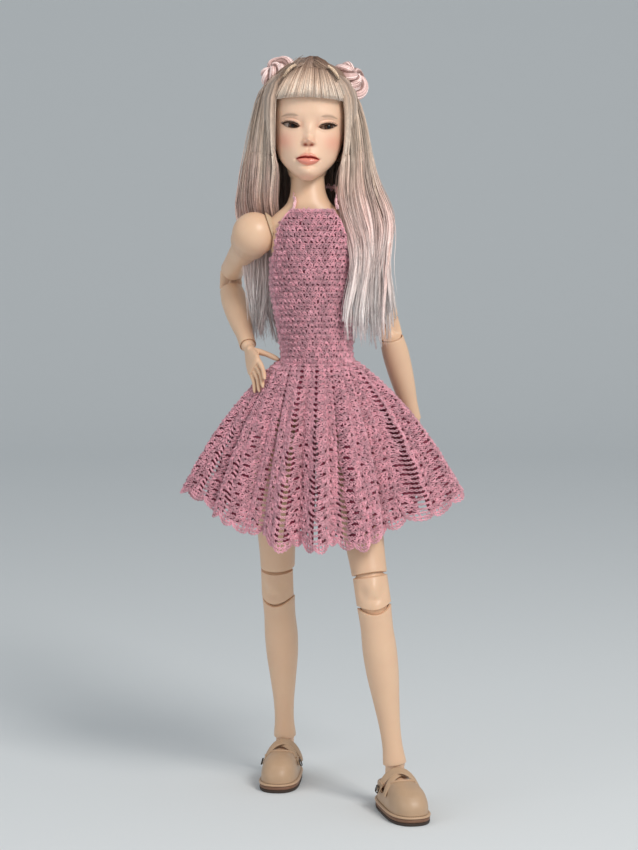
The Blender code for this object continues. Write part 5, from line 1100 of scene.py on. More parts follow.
longStops = ((0.0, tone(148, 118, 98)), (0.16, tone(194, 168, 148)), (0.34, tone(222, 202, 184)),
             (0.50, tone(222, 192, 178)), (0.66, tone(234, 204, 196)), (0.82, tone(244, 226, 220)),
             (1.0, tone(248, 238, 234)))
fringeStops = ((0.0, tone(104, 76, 60)), (0.28, tone(146, 114, 94)), (0.6, tone(214, 186, 164)),
               (1.0, tone(244, 228, 212)))
# The bun's ladder runs from a painted shadow brown to a painted highlight silver, read by each hair's painted
# light.
bunShadowToHighlightStops = ((0.0, tone(70, 44, 36)), (0.35, tone(140, 102, 92)), (0.7, tone(214, 178, 172)),
            (1.0, tone(246, 228, 224)))
hairLong = hairCoat("hair_long", longStops, 0.40)
hairFringe = hairCoat("hair_fringe", fringeStops, 0.38)
hairBun = hairCoat("hair_bun", bunShadowToHighlightStops, 0.30)
# The pale braid ladder runs from a painted shadow brown to the braids' pale blonde, read by their painted light.
hairPale = hairCoat("hair_pale", ((0.0, tone(84, 60, 46)), (0.5, tone(160, 132, 108)),
                                  (1.0, tone(222, 198, 172))), 0.38)
capCoat = plainCoat("wig_cap", tone(150, 122, 104), tone(118, 92, 76), 0.7, 500, 5000, 0.7, 0.00005)


# Strands as one piece: paths, thickness, and for each point its tint and shade.
def strandPiece(name, paths, thickness, tint, shade, coat, sides=3, flat=1.0):
    count, length = paths.shape[:2]
    taper = smoothAt((0, 0.1, 0.7, 1.0), (0.8, 1.0, 0.9, 0.25), np.linspace(0, 1, length))
    radii = np.asarray(thickness).reshape(-1, 1) * taper
    outward = unit(paths - paths.mean(0).mean(0)) + [0.0, 0.0, 0.01]
    points, quads, triangles = tubes(paths, radii, sides, outward, flat)
    spread = lambda v: np.concatenate([np.repeat(v.ravel(), sides), v[:, 0], v[:, -1]])
    masks = {"tint": spread(np.broadcast_to(tint, (count, length))),
             "shade": spread(np.broadcast_to(shade, (count, length)))}
    return addPiece(name, points, quads, triangles, coat, masks)


# Moves points out of the skull, to at least some distance off it.
def offSkull(points, spare):
    share = (points[..., 2] + head["chin"]) / head["height"]
    width, middle, depth = skullSizes(share, 0.0)
    width, depth = width + spare, depth + spare
    x, y = points[..., 0], points[..., 1] - middle
    reach = np.sqrt((x / width) ** 2 + (y / depth) ** 2)
    push = np.where((reach < 1) & (share > -0.12) & (share < 1.0), 1 / np.maximum(reach, 0.2), 1.0)
    push = np.minimum(push, 2.5)
    return np.stack([x * push, y * push + middle, points[..., 2]], -1)


# Guide curves of each side, from the edge of the face to the back, in the neck joint's place.
guides = {
    "right": [
        [(-0.003, -0.020, 0.0580), (-0.0162, -0.0200, 0.0480), (-0.0188, -0.0185, 0.0250),
         (-0.0190, -0.0160, 0.0060),
         (-0.0190, -0.0060, -0.0120), (-0.0200, 0.0040, -0.0300), (-0.0210, 0.0170, -0.0480),
         (-0.0205, 0.0195, -0.0760),
         (-0.0215, 0.0165, -0.1010)],
        [(-0.003, -0.009, 0.0605), (-0.0220, -0.0070, 0.0460), (-0.0290, -0.0070, 0.0270),
         (-0.0320, -0.0060, 0.0090),
         (-0.0345, -0.0010, -0.0100), (-0.0370, 0.0100, -0.0270), (-0.0310, 0.0205, -0.0480),
         (-0.0265, 0.0200, -0.0780),
         (-0.0270, 0.0170, -0.1050)],
        [(-0.003, 0.000, 0.0610), (-0.0240, 0.0020, 0.0450), (-0.0310, 0.0030, 0.0270),
         (-0.0352, 0.0040, 0.0090),
         (-0.0400, 0.0080, -0.0100), (-0.0440, 0.0160, -0.0260), (-0.0370, 0.0235, -0.0480),
         (-0.0310, 0.0220, -0.0780),
         (-0.0300, 0.0190, -0.1080)],
        [(-0.003, 0.011, 0.0600), (-0.0210, 0.0190, 0.0420), (-0.0250, 0.0250, 0.0220),
         (-0.0260, 0.0270, 0.0030),
         (-0.0275, 0.0280, -0.0180), (-0.0280, 0.0280, -0.0380), (-0.0260, 0.0270, -0.0600),
         (-0.0240, 0.0250, -0.0830),
         (-0.0240, 0.0230, -0.1070)],
        [(-0.001, 0.017, 0.0570), (-0.0080, 0.0310, 0.0370), (-0.0100, 0.0340, 0.0180),
         (-0.0110, 0.0330, -0.0010),
         (-0.0115, 0.0310, -0.0210), (-0.0120, 0.0300, -0.0420), (-0.0120, 0.0290, -0.0640),
         (-0.0120, 0.0280, -0.0850),
         (-0.0120, 0.0270, -0.1060)],
        [(0.0005, 0.019, 0.0555), (0.0010, 0.0330, 0.0350), (0.0010, 0.0360, 0.0160),
         (0.0010, 0.0345, -0.0030),
         (0.0010, 0.0325, -0.0230), (0.0010, 0.0310, -0.0440), (0.0010, 0.0300, -0.0650),
         (0.0010, 0.0290, -0.0860),
         (0.0010, 0.0280, -0.1060)]],
    "left": [
        [(0.005, -0.020, 0.0575), (0.0172, -0.0195, 0.0480), (0.0212, -0.0165, 0.0250),
         (0.0208, -0.0140, 0.0060),
         (0.0205, -0.0120, -0.0120), (0.0215, -0.0160, -0.0320), (0.0235, -0.0235, -0.0540),
         (0.0235, -0.0245, -0.0790),
         (0.0270, -0.0220, -0.1050)],
        [(0.005, -0.009, 0.0600), (0.0235, -0.0070, 0.0450), (0.0305, -0.0070, 0.0270),
         (0.0335, -0.0070, 0.0090),
         (0.0350, -0.0090, -0.0110), (0.0370, -0.0170, -0.0330), (0.0390, -0.0250, -0.0560),
         (0.0420, -0.0245, -0.0820),
         (0.0440, -0.0200, -0.1090)],
        [(0.005, 0.000, 0.0600), (0.0260, 0.0020, 0.0440), (0.0335, 0.0020, 0.0260),
         (0.0372, 0.0010, 0.0080),
         (0.0420, -0.0020, -0.0110), (0.0470, -0.0110, -0.0300), (0.0500, -0.0215, -0.0540),
         (0.0560, -0.0215, -0.0800),
         (0.0520, -0.0170, -0.1080)],
        [(0.004, 0.011, 0.0600), (0.0220, 0.0190, 0.0420), (0.0265, 0.0250, 0.0220),
         (0.0280, 0.0270, 0.0030),
         (0.0290, 0.0280, -0.0180), (0.0290, 0.0285, -0.0380), (0.0270, 0.0280, -0.0600),
         (0.0250, 0.0260, -0.0830),
         (0.0240, 0.0240, -0.1070)],
        [(0.001, 0.017, 0.0570), (0.0080, 0.0310, 0.0370), (0.0100, 0.0340, 0.0180),
         (0.0110, 0.0330, -0.0010),
         (0.0115, 0.0310, -0.0210), (0.0120, 0.0300, -0.0420), (0.0120, 0.0290, -0.0640),
         (0.0120, 0.0280, -0.0850),
         (0.0120, 0.0270, -0.1060)],
        [(0.0005, 0.019, 0.0555), (-0.0010, 0.0330, 0.0350), (-0.0010, 0.0360, 0.0160),
         (-0.0010, 0.0345, -0.0030),
         (-0.0010, 0.0325, -0.0230), (-0.0010, 0.0310, -0.0440), (-0.0010, 0.0300, -0.0650),
         (-0.0010, 0.0290, -0.0860),
         (-0.0010, 0.0280, -0.1060)]]}


# Many strands between guide curves: each clump has its own place among them, depth, wave and length.
def flowStrands(curves, clumps, perClump, deepest, count=30):
    curves = np.stack([smoothPath(c, count) for c in curves])
    where = (np.arange(clumps) + hairDice.uniform(0.1, 0.9, clumps)) / clumps * (len(curves) - 1)
    locks = (np.floor(where * wig["locks"]) + 0.5) / wig["locks"]
    t = np.linspace(0, 1, count)
    drawn = 0.42 * softStep(0.42, 0.95, t)[None, :, None]
    base = (smoothAt(np.arange(len(curves)), curves, where) * (1 - drawn)
            + smoothAt(np.arange(len(curves)), curves, locks) * drawn)
    phase, pace = hairDice.uniform(0, 2 * math.pi, (2, clumps, 1)), hairDice.uniform(1.6, 3.0, (clumps, 1))
    sway = 0.0013 * softStep(0.20, 1.0, t)[None] * hairDice.uniform(0.5, 1.3, (clumps, 1))
    broad = wig["wave"] * softStep(0.40, 0.75, t)[None]
    base[..., 0] += broad * np.sin(2 * math.pi * (1.7 * t[None] + 0.16 * locks[:, None]))
    base[..., 1] += 0.5 * broad * np.sin(2 * math.pi * (1.7 * t[None] + 0.16 * locks[:, None]) + 1.2)
    base[..., 0] += sway * np.sin(2 * math.pi * pace * t + phase[0])
    base[..., 1] += sway * 0.7 * np.sin(2 * math.pi * pace * t + phase[1])
    depth = hairDice.uniform(0, 1, clumps) ** 1.3
    shrink = 1 - deepest * depth[:, None] * softStep(0.05, 0.35, t)[None] * 1.0
    base[..., 0] *= shrink
    base[..., 1] = (base[..., 1] - 0.004) * (1 - 0.6 * (1 - shrink)) + 0.004
    strands = np.repeat(base, perClump, axis=0)
    total = len(strands)
    width = wig["clump"] * smoothAt((0, 0.2, 0.6, 1.0), (1.2, 1.0, 1.1, 0.55), t)[None, :, None]
    scatter = hairDice.normal(0, 0.55, (total, 1, 3)) * width
    own = hairDice.uniform(0, 2 * math.pi, (total, 1))
    strands = strands + scatter
    strands[..., 0] += 0.00035 * np.sin(own + 2 * math.pi * 3.1 * t[None]) * t[None]
    stray = hairDice.uniform(0, 1, total) > 0.965
    strands[stray, :, 0] *= 1 + 0.10 * t[None]
    length = np.repeat(hairDice.uniform(0.90, 1.0, clumps), perClump) * hairDice.uniform(0.92, 1.0, total)
    ownTint = np.repeat(hairDice.normal(0, 0.05, clumps), perClump) + hairDice.normal(0, 0.02, total)
    # Each clump's shade: a random tone and a broad wave of lighter and darker locks across the clumps, with
    # painted shade making deeper clumps darker.
    broadShade = 0.5 + 0.5 * np.sin(where * 9.0 + 1.0)
    shade = (0.6 * hairDice.uniform(0.0, 1.0, clumps) + 0.4 * broadShade) * (1 - 0.55 * depth)
    shade = np.repeat(shade, perClump) + hairDice.normal(0, 0.05, total)
    layer = np.repeat(depth, perClump)
    ribbons = np.arange(clumps) * perClump
    strands[ribbons] = base
    return strands, length, ownTint, np.clip(shade, 0, 1), layer


# The part of each strand between two shares of its length.
def partOf(strands, start, end, points):
    count, length = strands.shape[:2]
    share = start[:, None] + (end - start)[:, None] * np.linspace(0, 1, points)
    spot = np.clip(share, 0, 1) * (length - 1)
    low = np.clip(spot.astype(int), 0, length - 2)
    f = (spot - low)[..., None]
    number = np.arange(count)[:, None]
    return strands[number, low] * (1 - f) + strands[number, low + 1] * f, share


# Long hair of each side: a crown part that rides with the head and a length that bends at the neck.
def makeLongHair():
    neck = frames["head"][0]
    for side, word in ((-1, "right"), (1, "left")):
        strands, length, ownTint, shade, layer = flowStrands(guides[word], 185, wig["perClump"], 0.20)
        spare = (wig["cap"] + wig["capThickness"] + 0.0006 + 0.0016 * (1 - layer))[:, None]
        tilted = (strands @ frames["head"][1].T)
        tilted = offSkull(tilted, spare)
        strands = tilted @ frames["head"][1]
        strands = strands + neck
        split = np.argmax(strands[..., 2] < neck[2] + wig["splitHigh"], axis=1) / (strands.shape[1] - 1)
        below = np.argmax(strands[..., 2] < neck[2] + wig["splitLow"], axis=1) / (strands.shape[1] - 1)
        for name, start, end, points in (("crown", np.zeros_like(split), below, 11),
                                         ("length", split, length, 14)):
            paths, share = partOf(strands, start, end, points)
            tint = np.clip((neck[2] + 0.062 - paths[..., 2]) / 0.150 + ownTint[:, None], 0, 1)
            # Painted shade: the hair of the deeper clumps is darker near the neck.
            inner = 0.30 * layer[:, None] * bell((paths[..., 2] - neck[2]), -0.015, 0.030)
            dark = np.clip(shade[:, None] - inner, 0, 1)
            piece = strandPiece(f"hair_{word}_{name}", paths,
                                wig["strand"] * hairDice.uniform(0.8, 1.25, len(paths)),
                                tint, dark, hairLong)
            # The lock ribbons under the strands are a little darker, as painted shade.
            first = slice(None, None, wig["perClump"])
            under = strandPiece(f"hair_{word}_{name}_locks", paths[first],
                                np.full(len(paths[first]), wig["ribbon"]),
                                tint[first], dark[first] * 0.9, hairLong, 8, 0.30)
            for one in (piece, under):
                if name == "crown":
                    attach(one, "head")
                else:
                    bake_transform(one)
            if name == "length":
                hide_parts(*(("lock_right", "hair_back") if word == "right" else ("lock_left",)))


# Fringe: strands fan from the parting down the forehead and end in one blunt line.
def makeFringe():
    groups, perGroup, points = 92, 12, 12
    across = (np.arange(groups) + hairDice.uniform(0.2, 0.8, groups)) / groups * 2 - 1
    ends = np.repeat(0.0222 * across, perGroup) + hairDice.normal(0, 0.00028, groups * perGroup)
    layer = hairDice.uniform(0, 1, len(ends))
    t = np.linspace(0, 1, points)[None]
    spreading = 0.10 + 0.90 * t ** 0.62
    bottom = wig["fringeEnd"] - 0.0014 * (ends / 0.0222) ** 2 + hairDice.normal(0, 0.00022, len(ends))
    x = 0.0010 + ends[:, None] * spreading
    z = 0.0595 + (bottom[:, None] - 0.0595) * t ** 1.12
    offset = wig["cap"] + wig["capThickness"] + 0.0004 + 0.0016 * layer[:, None] - 0.0012 * t ** 4
    inHead = np.moveaxis(skullFront(x, np.minimum(z, 0.0580), offset), -1, 0)
    y = inHead[1] * (1 - 0.35 * (1 - t) ** 2)
    paths = toWorld(frames["head"], np.stack([x, y, z + 0.0022 * (1 - t) ** 2 + 0.0016 * (1 - t)], -1))
    tint = np.clip(t + np.repeat(hairDice.normal(0, 0.10, groups), perGroup)[:, None], 0, 1)
    shade = np.clip(np.repeat(hairDice.uniform(0.35, 1.0, groups), perGroup) + hairDice.normal(0, 0.08,
                                                                                               len(ends)),
                                                                                               0, 1)
    piece = strandPiece("fringe_hair", paths, np.full(len(ends), 0.00021), tint, shade[:, None], hairFringe)
    finishPiece(piece, "head", "hair_roots", "fringe")


# Wig cap: follows the skull outside the face, with a dark fibre ground under the hair.
def makeCap():
    rows, columns = 60, 120
    share = np.linspace(0.10, 0.985, rows)[:, None]
    turn = 2 * math.pi * np.arange(columns)[None, :] / columns
    outer = skullAt(turn, share, wig["cap"] + wig["capThickness"])
    inner = skullAt(turn, share, wig["cap"])
    x, y, z = np.moveaxis((outer[:-1] + np.roll(outer, -1, 1)[1:]) / 2, -1, 0)
    arch = 0.0345 + 0.0180 * np.sqrt(np.clip(1 - (x / 0.0195) ** 2, 0, 1))
    face = (y < -0.0110) & (z < arch + 0.0030)
    neckHole = (z < 0.004) & (y < 0.012)
    piece = thinGround("wig_cap", toWorld(frames["head"], outer), toWorld(frames["head"], inner),
                       face | neckHole, True, capCoat)
    finishPiece(piece, "head", "hair_roots", "wig_crown")


# A braid of three bundles along a path: each bundle is a small sheaf of hairs. Each hair's shade is painted light:
# lighter on the outer side of its bundle and where the bundle rides outward.
def braidPaths(path, radius, crossings, hairs, normal):
    count = len(path)
    along = unit(np.gradient(path, axis=0))
    side = unit(np.cross(along, normal))
    out = np.cross(side, along)
    radius = np.broadcast_to(radius, (count,))[:, None]
    phase = np.linspace(0, 2 * math.pi * crossings, count)[:, None]
    strands, shades = [], []
    for k in range(3):
        swing = phase + 2 * math.pi * k / 3
        centre = path + side * radius * 0.60 * np.sin(swing) + out * radius * 0.42 * np.sin(2 * swing)
        for _ in range(hairs):
            angle, reach = hairDice.uniform(0, 2 * math.pi), 0.46 * hairDice.uniform(0.90, 1.0)
            wind = angle + phase * 0.35
            strands.append(centre + (side * np.cos(wind) + out * np.sin(wind)) * radius * reach)
            # Painted light: the level rises on each bundle's outer side and where the bundle swings out.
            level = 0.60 + 0.26 * np.sin(wind[:, 0]) * reach / 0.46 + 0.18 * np.sin(2 * swing[:, 0])
            shades.append(np.clip(level + hairDice.normal(0, 0.10), 0, 1))
    return np.stack(strands), np.stack(shades)


buns = {"right": ((-0.0200, 0.0010, 0.0540), 0.0083), "left": ((0.0228, 0.0010, 0.0520), 0.0090)}


# A full tube under the hairs of a braid, in their colour at one tint and shade.
def fillPiece(name, tube, coat, level):
    points, quads, triangles = tube
    piece = addPiece(name, points, quads, triangles, coat,
                     {"tint": np.full(len(points), level), "shade": np.full(len(points), level)})
    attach(piece, "head")
    return piece


# A bun: a thick braid coiled round its own axis over a dark core, which shows as painted shade in the gaps between
# the coils.
def makeBuns():
    for side, word in ((-1, "right"), (1, "left")):
        centre, radius = np.array(buns[word][0]), buns[word][1]
        axisOut = unit(np.array([side * 0.62, -0.42, 0.62]))
        first = unit(np.cross(axisOut, [0.0, 1.0, 0.2]))
        second = np.cross(axisOut, first)
        t = np.linspace(0, 1, 110)
        angle = 2 * math.pi * 1.55 * t + 0.6
        reach = radius * smoothAt((0, 0.5, 0.72, 1.0), (0.66, 0.62, 0.40, 0.10), t)
        climb = radius * smoothAt((0, 0.5, 0.75, 1.0), (-0.22, -0.05, 0.28, 0.42), t)
        path = (centre + first * (reach * np.cos(angle))[:, None] + second * (reach * np.sin(angle))[:,
                                                                                                     None]
                + axisOut * climb[:, None])
        thick = radius * smoothAt((0, 0.08, 0.8, 1.0), (0.22, 0.46, 0.44, 0.30), t)
        outward = unit(path - centre) + axisOut * 0.4
        strands, shades = twistPaths(path, thick, 2.6, 38, outward)
        # The tint follows the painted light too, so the hairs run from shadow brown to highlight silver.
        tint = np.clip(shades * 0.9, 0, 1)
        strands = toWorld(frames["head"], strands)
        bundles = strands.reshape(3, -1, len(path), 3).mean(1)
        ropes = tubes(bundles, np.broadcast_to(thick * 0.52, (3, len(path))), 14,
                      toWorld((np.zeros(3), frames["head"][1]), outward)[None])
        fillPiece(f"bun_{word}_bundles", ropes, hairBun, 0.40)
        piece = strandPiece(f"bun_{word}_braid", strands[:, ::2], np.full(len(strands), 0.00050),
                            tint[:, ::2],
                            shades[:, ::2], hairBun, 5)
        finishPiece(piece, "head", "hair_ends", f"bun_{word}")
        # The core in the wig cap's brown: painted shade showing between the coils.
        core = np.stack(ballRows(1.0, 3, 177, 20)) * radius * [0.80, 0.80, 0.50]
        core = core @ np.stack([first, second, axisOut]) + centre
        finishPiece(ringSolid(f"bun_{word}_core", toWorld(frames["head"], core), capCoat), "head",
                    "hair_roots")


# A twisted rope of three bundles along a path, with hairs over each bundle. Each hair's shade is painted light:
# lighter where it faces out of its bundle and towards the given normal, darker where it faces in.
def twistPaths(path, radius, turns, hairs, normal):
    along = unit(np.gradient(path, axis=0))
    side = unit(np.cross(along, normal))
    out = np.cross(side, along)
    phase = np.linspace(0, 2 * math.pi * turns, len(path))[:, None]
    strands, shades = [], []
    for k in range(3):
        swing = phase + 2 * math.pi * k / 3
        lean = side * np.cos(swing) + out * np.sin(swing)
        for angle in 2 * math.pi * (np.arange(hairs) + hairDice.uniform(0, 0.5, hairs)) / hairs:
            wind = side * np.cos(angle + swing * 0.4) + out * np.sin(angle + swing * 0.4)
            strands.append(path + (lean * 0.52 + wind * 0.54 * hairDice.uniform(0.96, 1.07)) * radius[:,
                                                                                                      None])
            # Painted light: each hair is lighter by how far it faces out.
            facing = (wind * lean).sum(1) * 0.5 + (wind * out).sum(1) * 0.5
            shades.append(np.clip(0.44 + 0.46 * facing + hairDice.normal(0, 0.17), 0, 1))
    return np.stack(strands), np.stack(shades)


# Thin pale braids from the parting to each bun, coloured from dark to pale by each hair's painted light.
def makeCrownBraids():
    for side, word in ((-1, "right"), (1, "left")):
        knots = np.array([(0.0092, 0.0566), (0.0115, 0.0552), (0.0137, 0.0528), (0.0158, 0.0490)])
        path = smoothPath(skullFront(knots[:, 0] * side, knots[:, 1], 0.0068), 60)
        strands, shades = braidPaths(path, 0.0010, 4.0, 16, np.array([side * 0.3, -0.5, 0.8]))
        strands = toWorld(frames["head"], strands)
        piece = strandPiece(f"crown_braid_{word}", strands, np.full(len(strands), 0.00020), shades, shades,
                            hairPale)
        finishPiece(piece, "head", "hair_roots")


makeCap()
makeLongHair()
makeFringe()
makeBuns()
makeCrownBraids()
print("hair made")


# Dress: a holed ground in deep rose, standing for the deeper loops and for painted shade between the stitches,
# with the cotton yarn of every stitch laid over it

dress = {"ease": 0.0022, "lift": 0.0007, "pitch": 0.0031, "rowHeight": 0.0034, "yarn": 0.00040,
         "skirtLength": 0.112,
         "hemReach": 0.058, "gores": 18, "waistShift": 0.0030, "skirtRows": 33, "scallops": 46,
         "panelShift": 0.10, "mostTriangles": 180000,
         "stray": np.array([0.09, 0.08, 0.35])}
waistAt = frames["waist"][0]
chestLean = math.tan(math.radians(2.0))
chestShares = ((0.14, 0.80, 0.94), (0.32, 0.86, 1.04), (0.55, 0.87, 1.10), (0.76, 0.90, 1.08),
               (1.0, 0.97, 0.95),
               (1.17, 0.98, 0.78), (1.30, 0.86, 0.72))
bodyTable = np.array([(-0.0075, 0.0252, 0.0160), (0.0, 0.0183, 0.0176), (0.016, 0.0180, 0.0163),
                      (0.032, 0.0192, 0.0174)]
                     + [(0.032 + 0.0455 * z, 0.0252 * max(w, 0.86), 0.016 * d) for z, w,
                        d in chestShares[1:]])
# Hem by direction from the front, turning to the doll's left: reach and drop as shares.
hemShares = np.array([
    (0, 0.93, 0.965), (12, 0.80, 0.93), (25, 1.03, 0.955), (42, 0.94, 0.88), (62, 1.26, 0.80),
    (80, 1.50, 0.675),
    (96, 1.16, 0.72), (118, 0.72, 0.84), (138, 0.60, 0.88), (158, 0.84, 0.92), (180, 0.66, 0.90),
    (204, 0.92, 0.90),
    (226, 0.74, 0.86), (250, 1.12, 0.80), (272, 1.36, 0.695), (294, 1.08, 0.80), (312, 1.00, 0.88),
    (326, 0.84, 0.88), (340, 1.03, 0.955), (350, 0.84, 0.93), (360, 0.93, 0.965)])


# Waves between the rows of a table, eased with a cosine.
def waveAt(table, at, column):
    i = np.clip(np.searchsorted(table[:, 0], at, side="right") - 1, 0, len(table) - 2)
    t = (at - table[i, 0]) / (table[i + 1, 0] - table[i, 0])
    t = (1 - np.cos(math.pi * t)) / 2
    return table[i, column] + (table[i + 1, column] - table[i, column]) * t


# Skirt surface: from the waist line to the hem along each direction, with pleats that grow towards the hem.
def skirtAt(turn, drop):
    degrees = np.degrees(turn) % 360
    angle = turn - math.pi / 2
    width, depth = bodyTable[1, 1] + dress["ease"] + 0.0010, bodyTable[1, 2] + dress["ease"]
    reach = dress["hemReach"] * waveAt(hemShares, degrees,
                                       1) * (1 - 0.06 * drop * np.clip(-np.cos(angle), 0, 1))
    fall = dress["skirtLength"] * waveAt(hemShares, degrees, 2) * 0.935
    flare = np.clip(drop, 0, 1.2) ** 0.84
    pleat = 0.0018 * np.sin(turn * 31) * np.clip(drop * 2.2, 0, 1) * (1 - 0.4 * drop)
    pleat = pleat + 0.0034 * np.sin(turn * 11 + 0.9) * np.clip(drop * 1.6, 0, 1)
    x = width * np.cos(angle) * (1 - flare) + reach * np.cos(angle) * flare
    y = depth * np.sin(angle) * (1 - flare) + reach * np.sin(angle) * flare
    belly = 0.004 * np.sin(math.pi * np.clip(drop, 0, 1)) * np.clip(np.cos(angle), 0, 1)
    shift = dress["waistShift"] * (1 - 0.35 * np.clip(drop, 0, 1))
    points = np.stack([x + (pleat + belly) * np.cos(angle) + shift, y + pleat * np.sin(angle),
                       -fall * drop + 0.0012 * (1 - drop)], -1)
    return points + waistAt


# Bodice surface: the body's outline under the dress, at a height above the waist joint.
def bodiceAt(turn, height):
    angle = turn - math.pi / 2
    sizes = smoothAt(bodyTable[:, 0], bodyTable[:, 1:], np.clip(height, 0.0, 0.0975))
    lean = chestLean * np.maximum(0, height - 0.032)
    shift = dress["waistShift"] * (1 - softStep(0.0, 0.040, height))
    spare = dress["ease"] + 0.0010 * (1 - softStep(0.0, 0.02, height))
    x = (sizes[..., 0] + spare) * np.cos(angle) + lean + shift
    y = (sizes[..., 1] + spare) * np.sin(angle)
    return np.stack([x, y, height], -1) + waistAt


# The outward normal of a surface of two parameters, from two small steps along it.
def normalOf(surface, u, v, du=0.004, dv=0.004, flip=1):
    middle = surface(u, v)
    return flip * unit(np.cross(surface(u + du, v) - middle, surface(u, v + dv) - middle))


# The top edge of the bodice by share across: high across the front panel, low under the arms and at the back.
topEdge = np.array([(0, 0.0899), (0.49, 0.0899), (0.53, 0.0884), (0.62, 0.0836), (0.72, 0.0768),
                    (0.80, 0.0698),
                    (0.87, 0.0640), (0.93, 0.0625), (1.0, 0.0625)])


# The height of the top edge in a direction.
def bodiceTop(turn):
    across = np.where(np.cos(turn) > 0, np.abs(np.sin(turn + dress["panelShift"])), 1.0)
    return np.interp(across, topEdge[:, 0], topEdge[:, 1])


# Stitch yarns in a cell one stitch wide and one row high: across, down the row, and out in yarn widths.
stitchYarns = {
    "legA": ((0.50, 1.02, 0.2), (0.34, 0.72, 1.0), (0.16, 0.40, 0.8), (0.06, 0.10, 0.1)),
    "legB": ((0.52, 1.02, 0.4), (0.66, 0.70, 1.0), (0.84, 0.38, 0.9), (0.96, 0.10, 0.1)),
    "wrap": ((0.14, 0.66, 0.5), (0.38, 0.58, 1.8), (0.64, 0.46, 1.8), (0.86, 0.36, 0.6)),
    "loop": ((0.24, 0.20, 1.0), (0.06, 0.50, 2.0), (0.36, 0.84, 2.4), (0.80, 0.70, 2.2), (0.86, 0.34, 1.0)),
}
postYarns = {
    "postA": ((0.40, 1.04, 0.1), (0.60, 0.80, 0.9), (0.40, 0.54, 0.9), (0.62, 0.28, 0.8), (0.44, 0.0, 0.2)),
    "postB": ((0.62, 1.04, 0.5), (0.40, 0.80, 0.2), (0.62, 0.54, 0.3), (0.40, 0.28, 0.9), (0.60, 0.0, 0.4)),
    "wrap": ((0.22, 0.74, 0.4), (0.42, 0.62, 1.7), (0.60, 0.48, 1.7), (0.80, 0.38, 0.5)),
    "loop": ((0.20, 0.06, 1.0), (0.02, 0.40, 2.0), (0.40, 0.74, 2.5), (0.92, 0.52, 2.0), (0.74, 0.10, 1.0)),
}
dice = np.random.default_rng(11)
yarnSides = 3


# Yarn tubes for stitches: each stitch's corner and size in the surface's two parameters.
def layStitches(surface, flip, startU, startV, sizeU, sizeV, yarns, thickness, lean=None):
    parts = []
    wobble = dice.normal(0, 0.06, (len(startU), 1))
    shade = dice.uniform(0, 1, (len(startU), 1))
    for points in yarns.values():
        knots = np.array(points)[None] + dice.normal(0, 1, (len(startU), len(points), 3)) * dress["stray"]
        fine = np.moveaxis(smoothPath(np.moveaxis(knots, 0, 1), 5), 1, 0)
        across = fine[..., 0] + wobble
        if lean is not None:
            across = across + lean[:, None] * (fine[..., 1] - 0.5)
        u = startU[:, None] + across * sizeU[:, None]
        v = startV[:, None] + fine[..., 1] * sizeV[:, None]
        normal = normalOf(surface, u, v, flip=flip)
        lift = (fine[..., 2] + dice.normal(0, 0.12, (len(startU), 1))) * thickness
        path = surface(u, v) + normal * (lift + dress["lift"])[..., None]
        tube = tubes(path, thickness, yarnSides, normal, turn=math.pi / 2)
        parts.append((*tube, stitchShade(path.shape[:2], shade)))
    return parts


# Lightness of each yarn point: one value for each stitch.
def stitchShade(shape, shade):
    whole = np.broadcast_to(shade, shape)
    return np.concatenate([np.repeat(whole.ravel(), yarnSides), whole[:, 0], whole[:, -1]])


# A chain along a line: two strands that cross once in each stitch.
def layChain(surface, flip, u, v, stitches, thickness, sway, out=0.6):
    parts = []
    phase = np.linspace(0, 2 * math.pi * stitches, len(u))
    for half in (0, math.pi):
        shiftedV = v + sway * np.sin(phase + half)
        normal = normalOf(surface, u, shiftedV, flip=flip)
        lift = dress["lift"] + thickness * (out + 0.9 * np.cos(phase + half))
        path = surface(u, shiftedV) + normal * lift[:, None]
        tube = tubes(path[None], thickness, yarnSides, normal[None], turn=math.pi / 2)
        parts.append((*tube, stitchShade((1, len(u)), 0.5 + 0.4 * np.sin(phase * 0.37))))
    return parts


# Yarn tubes joined as one piece, with their shades.
def yarnPiece(name, parts, coat):
    points, quads, triangles = joined([part[:3] for part in parts])
    masks = {"shade": np.concatenate([part[3] for part in parts])} if len(parts[0]) > 3 else None
    return addPiece(name, points, quads, triangles, coat, masks)


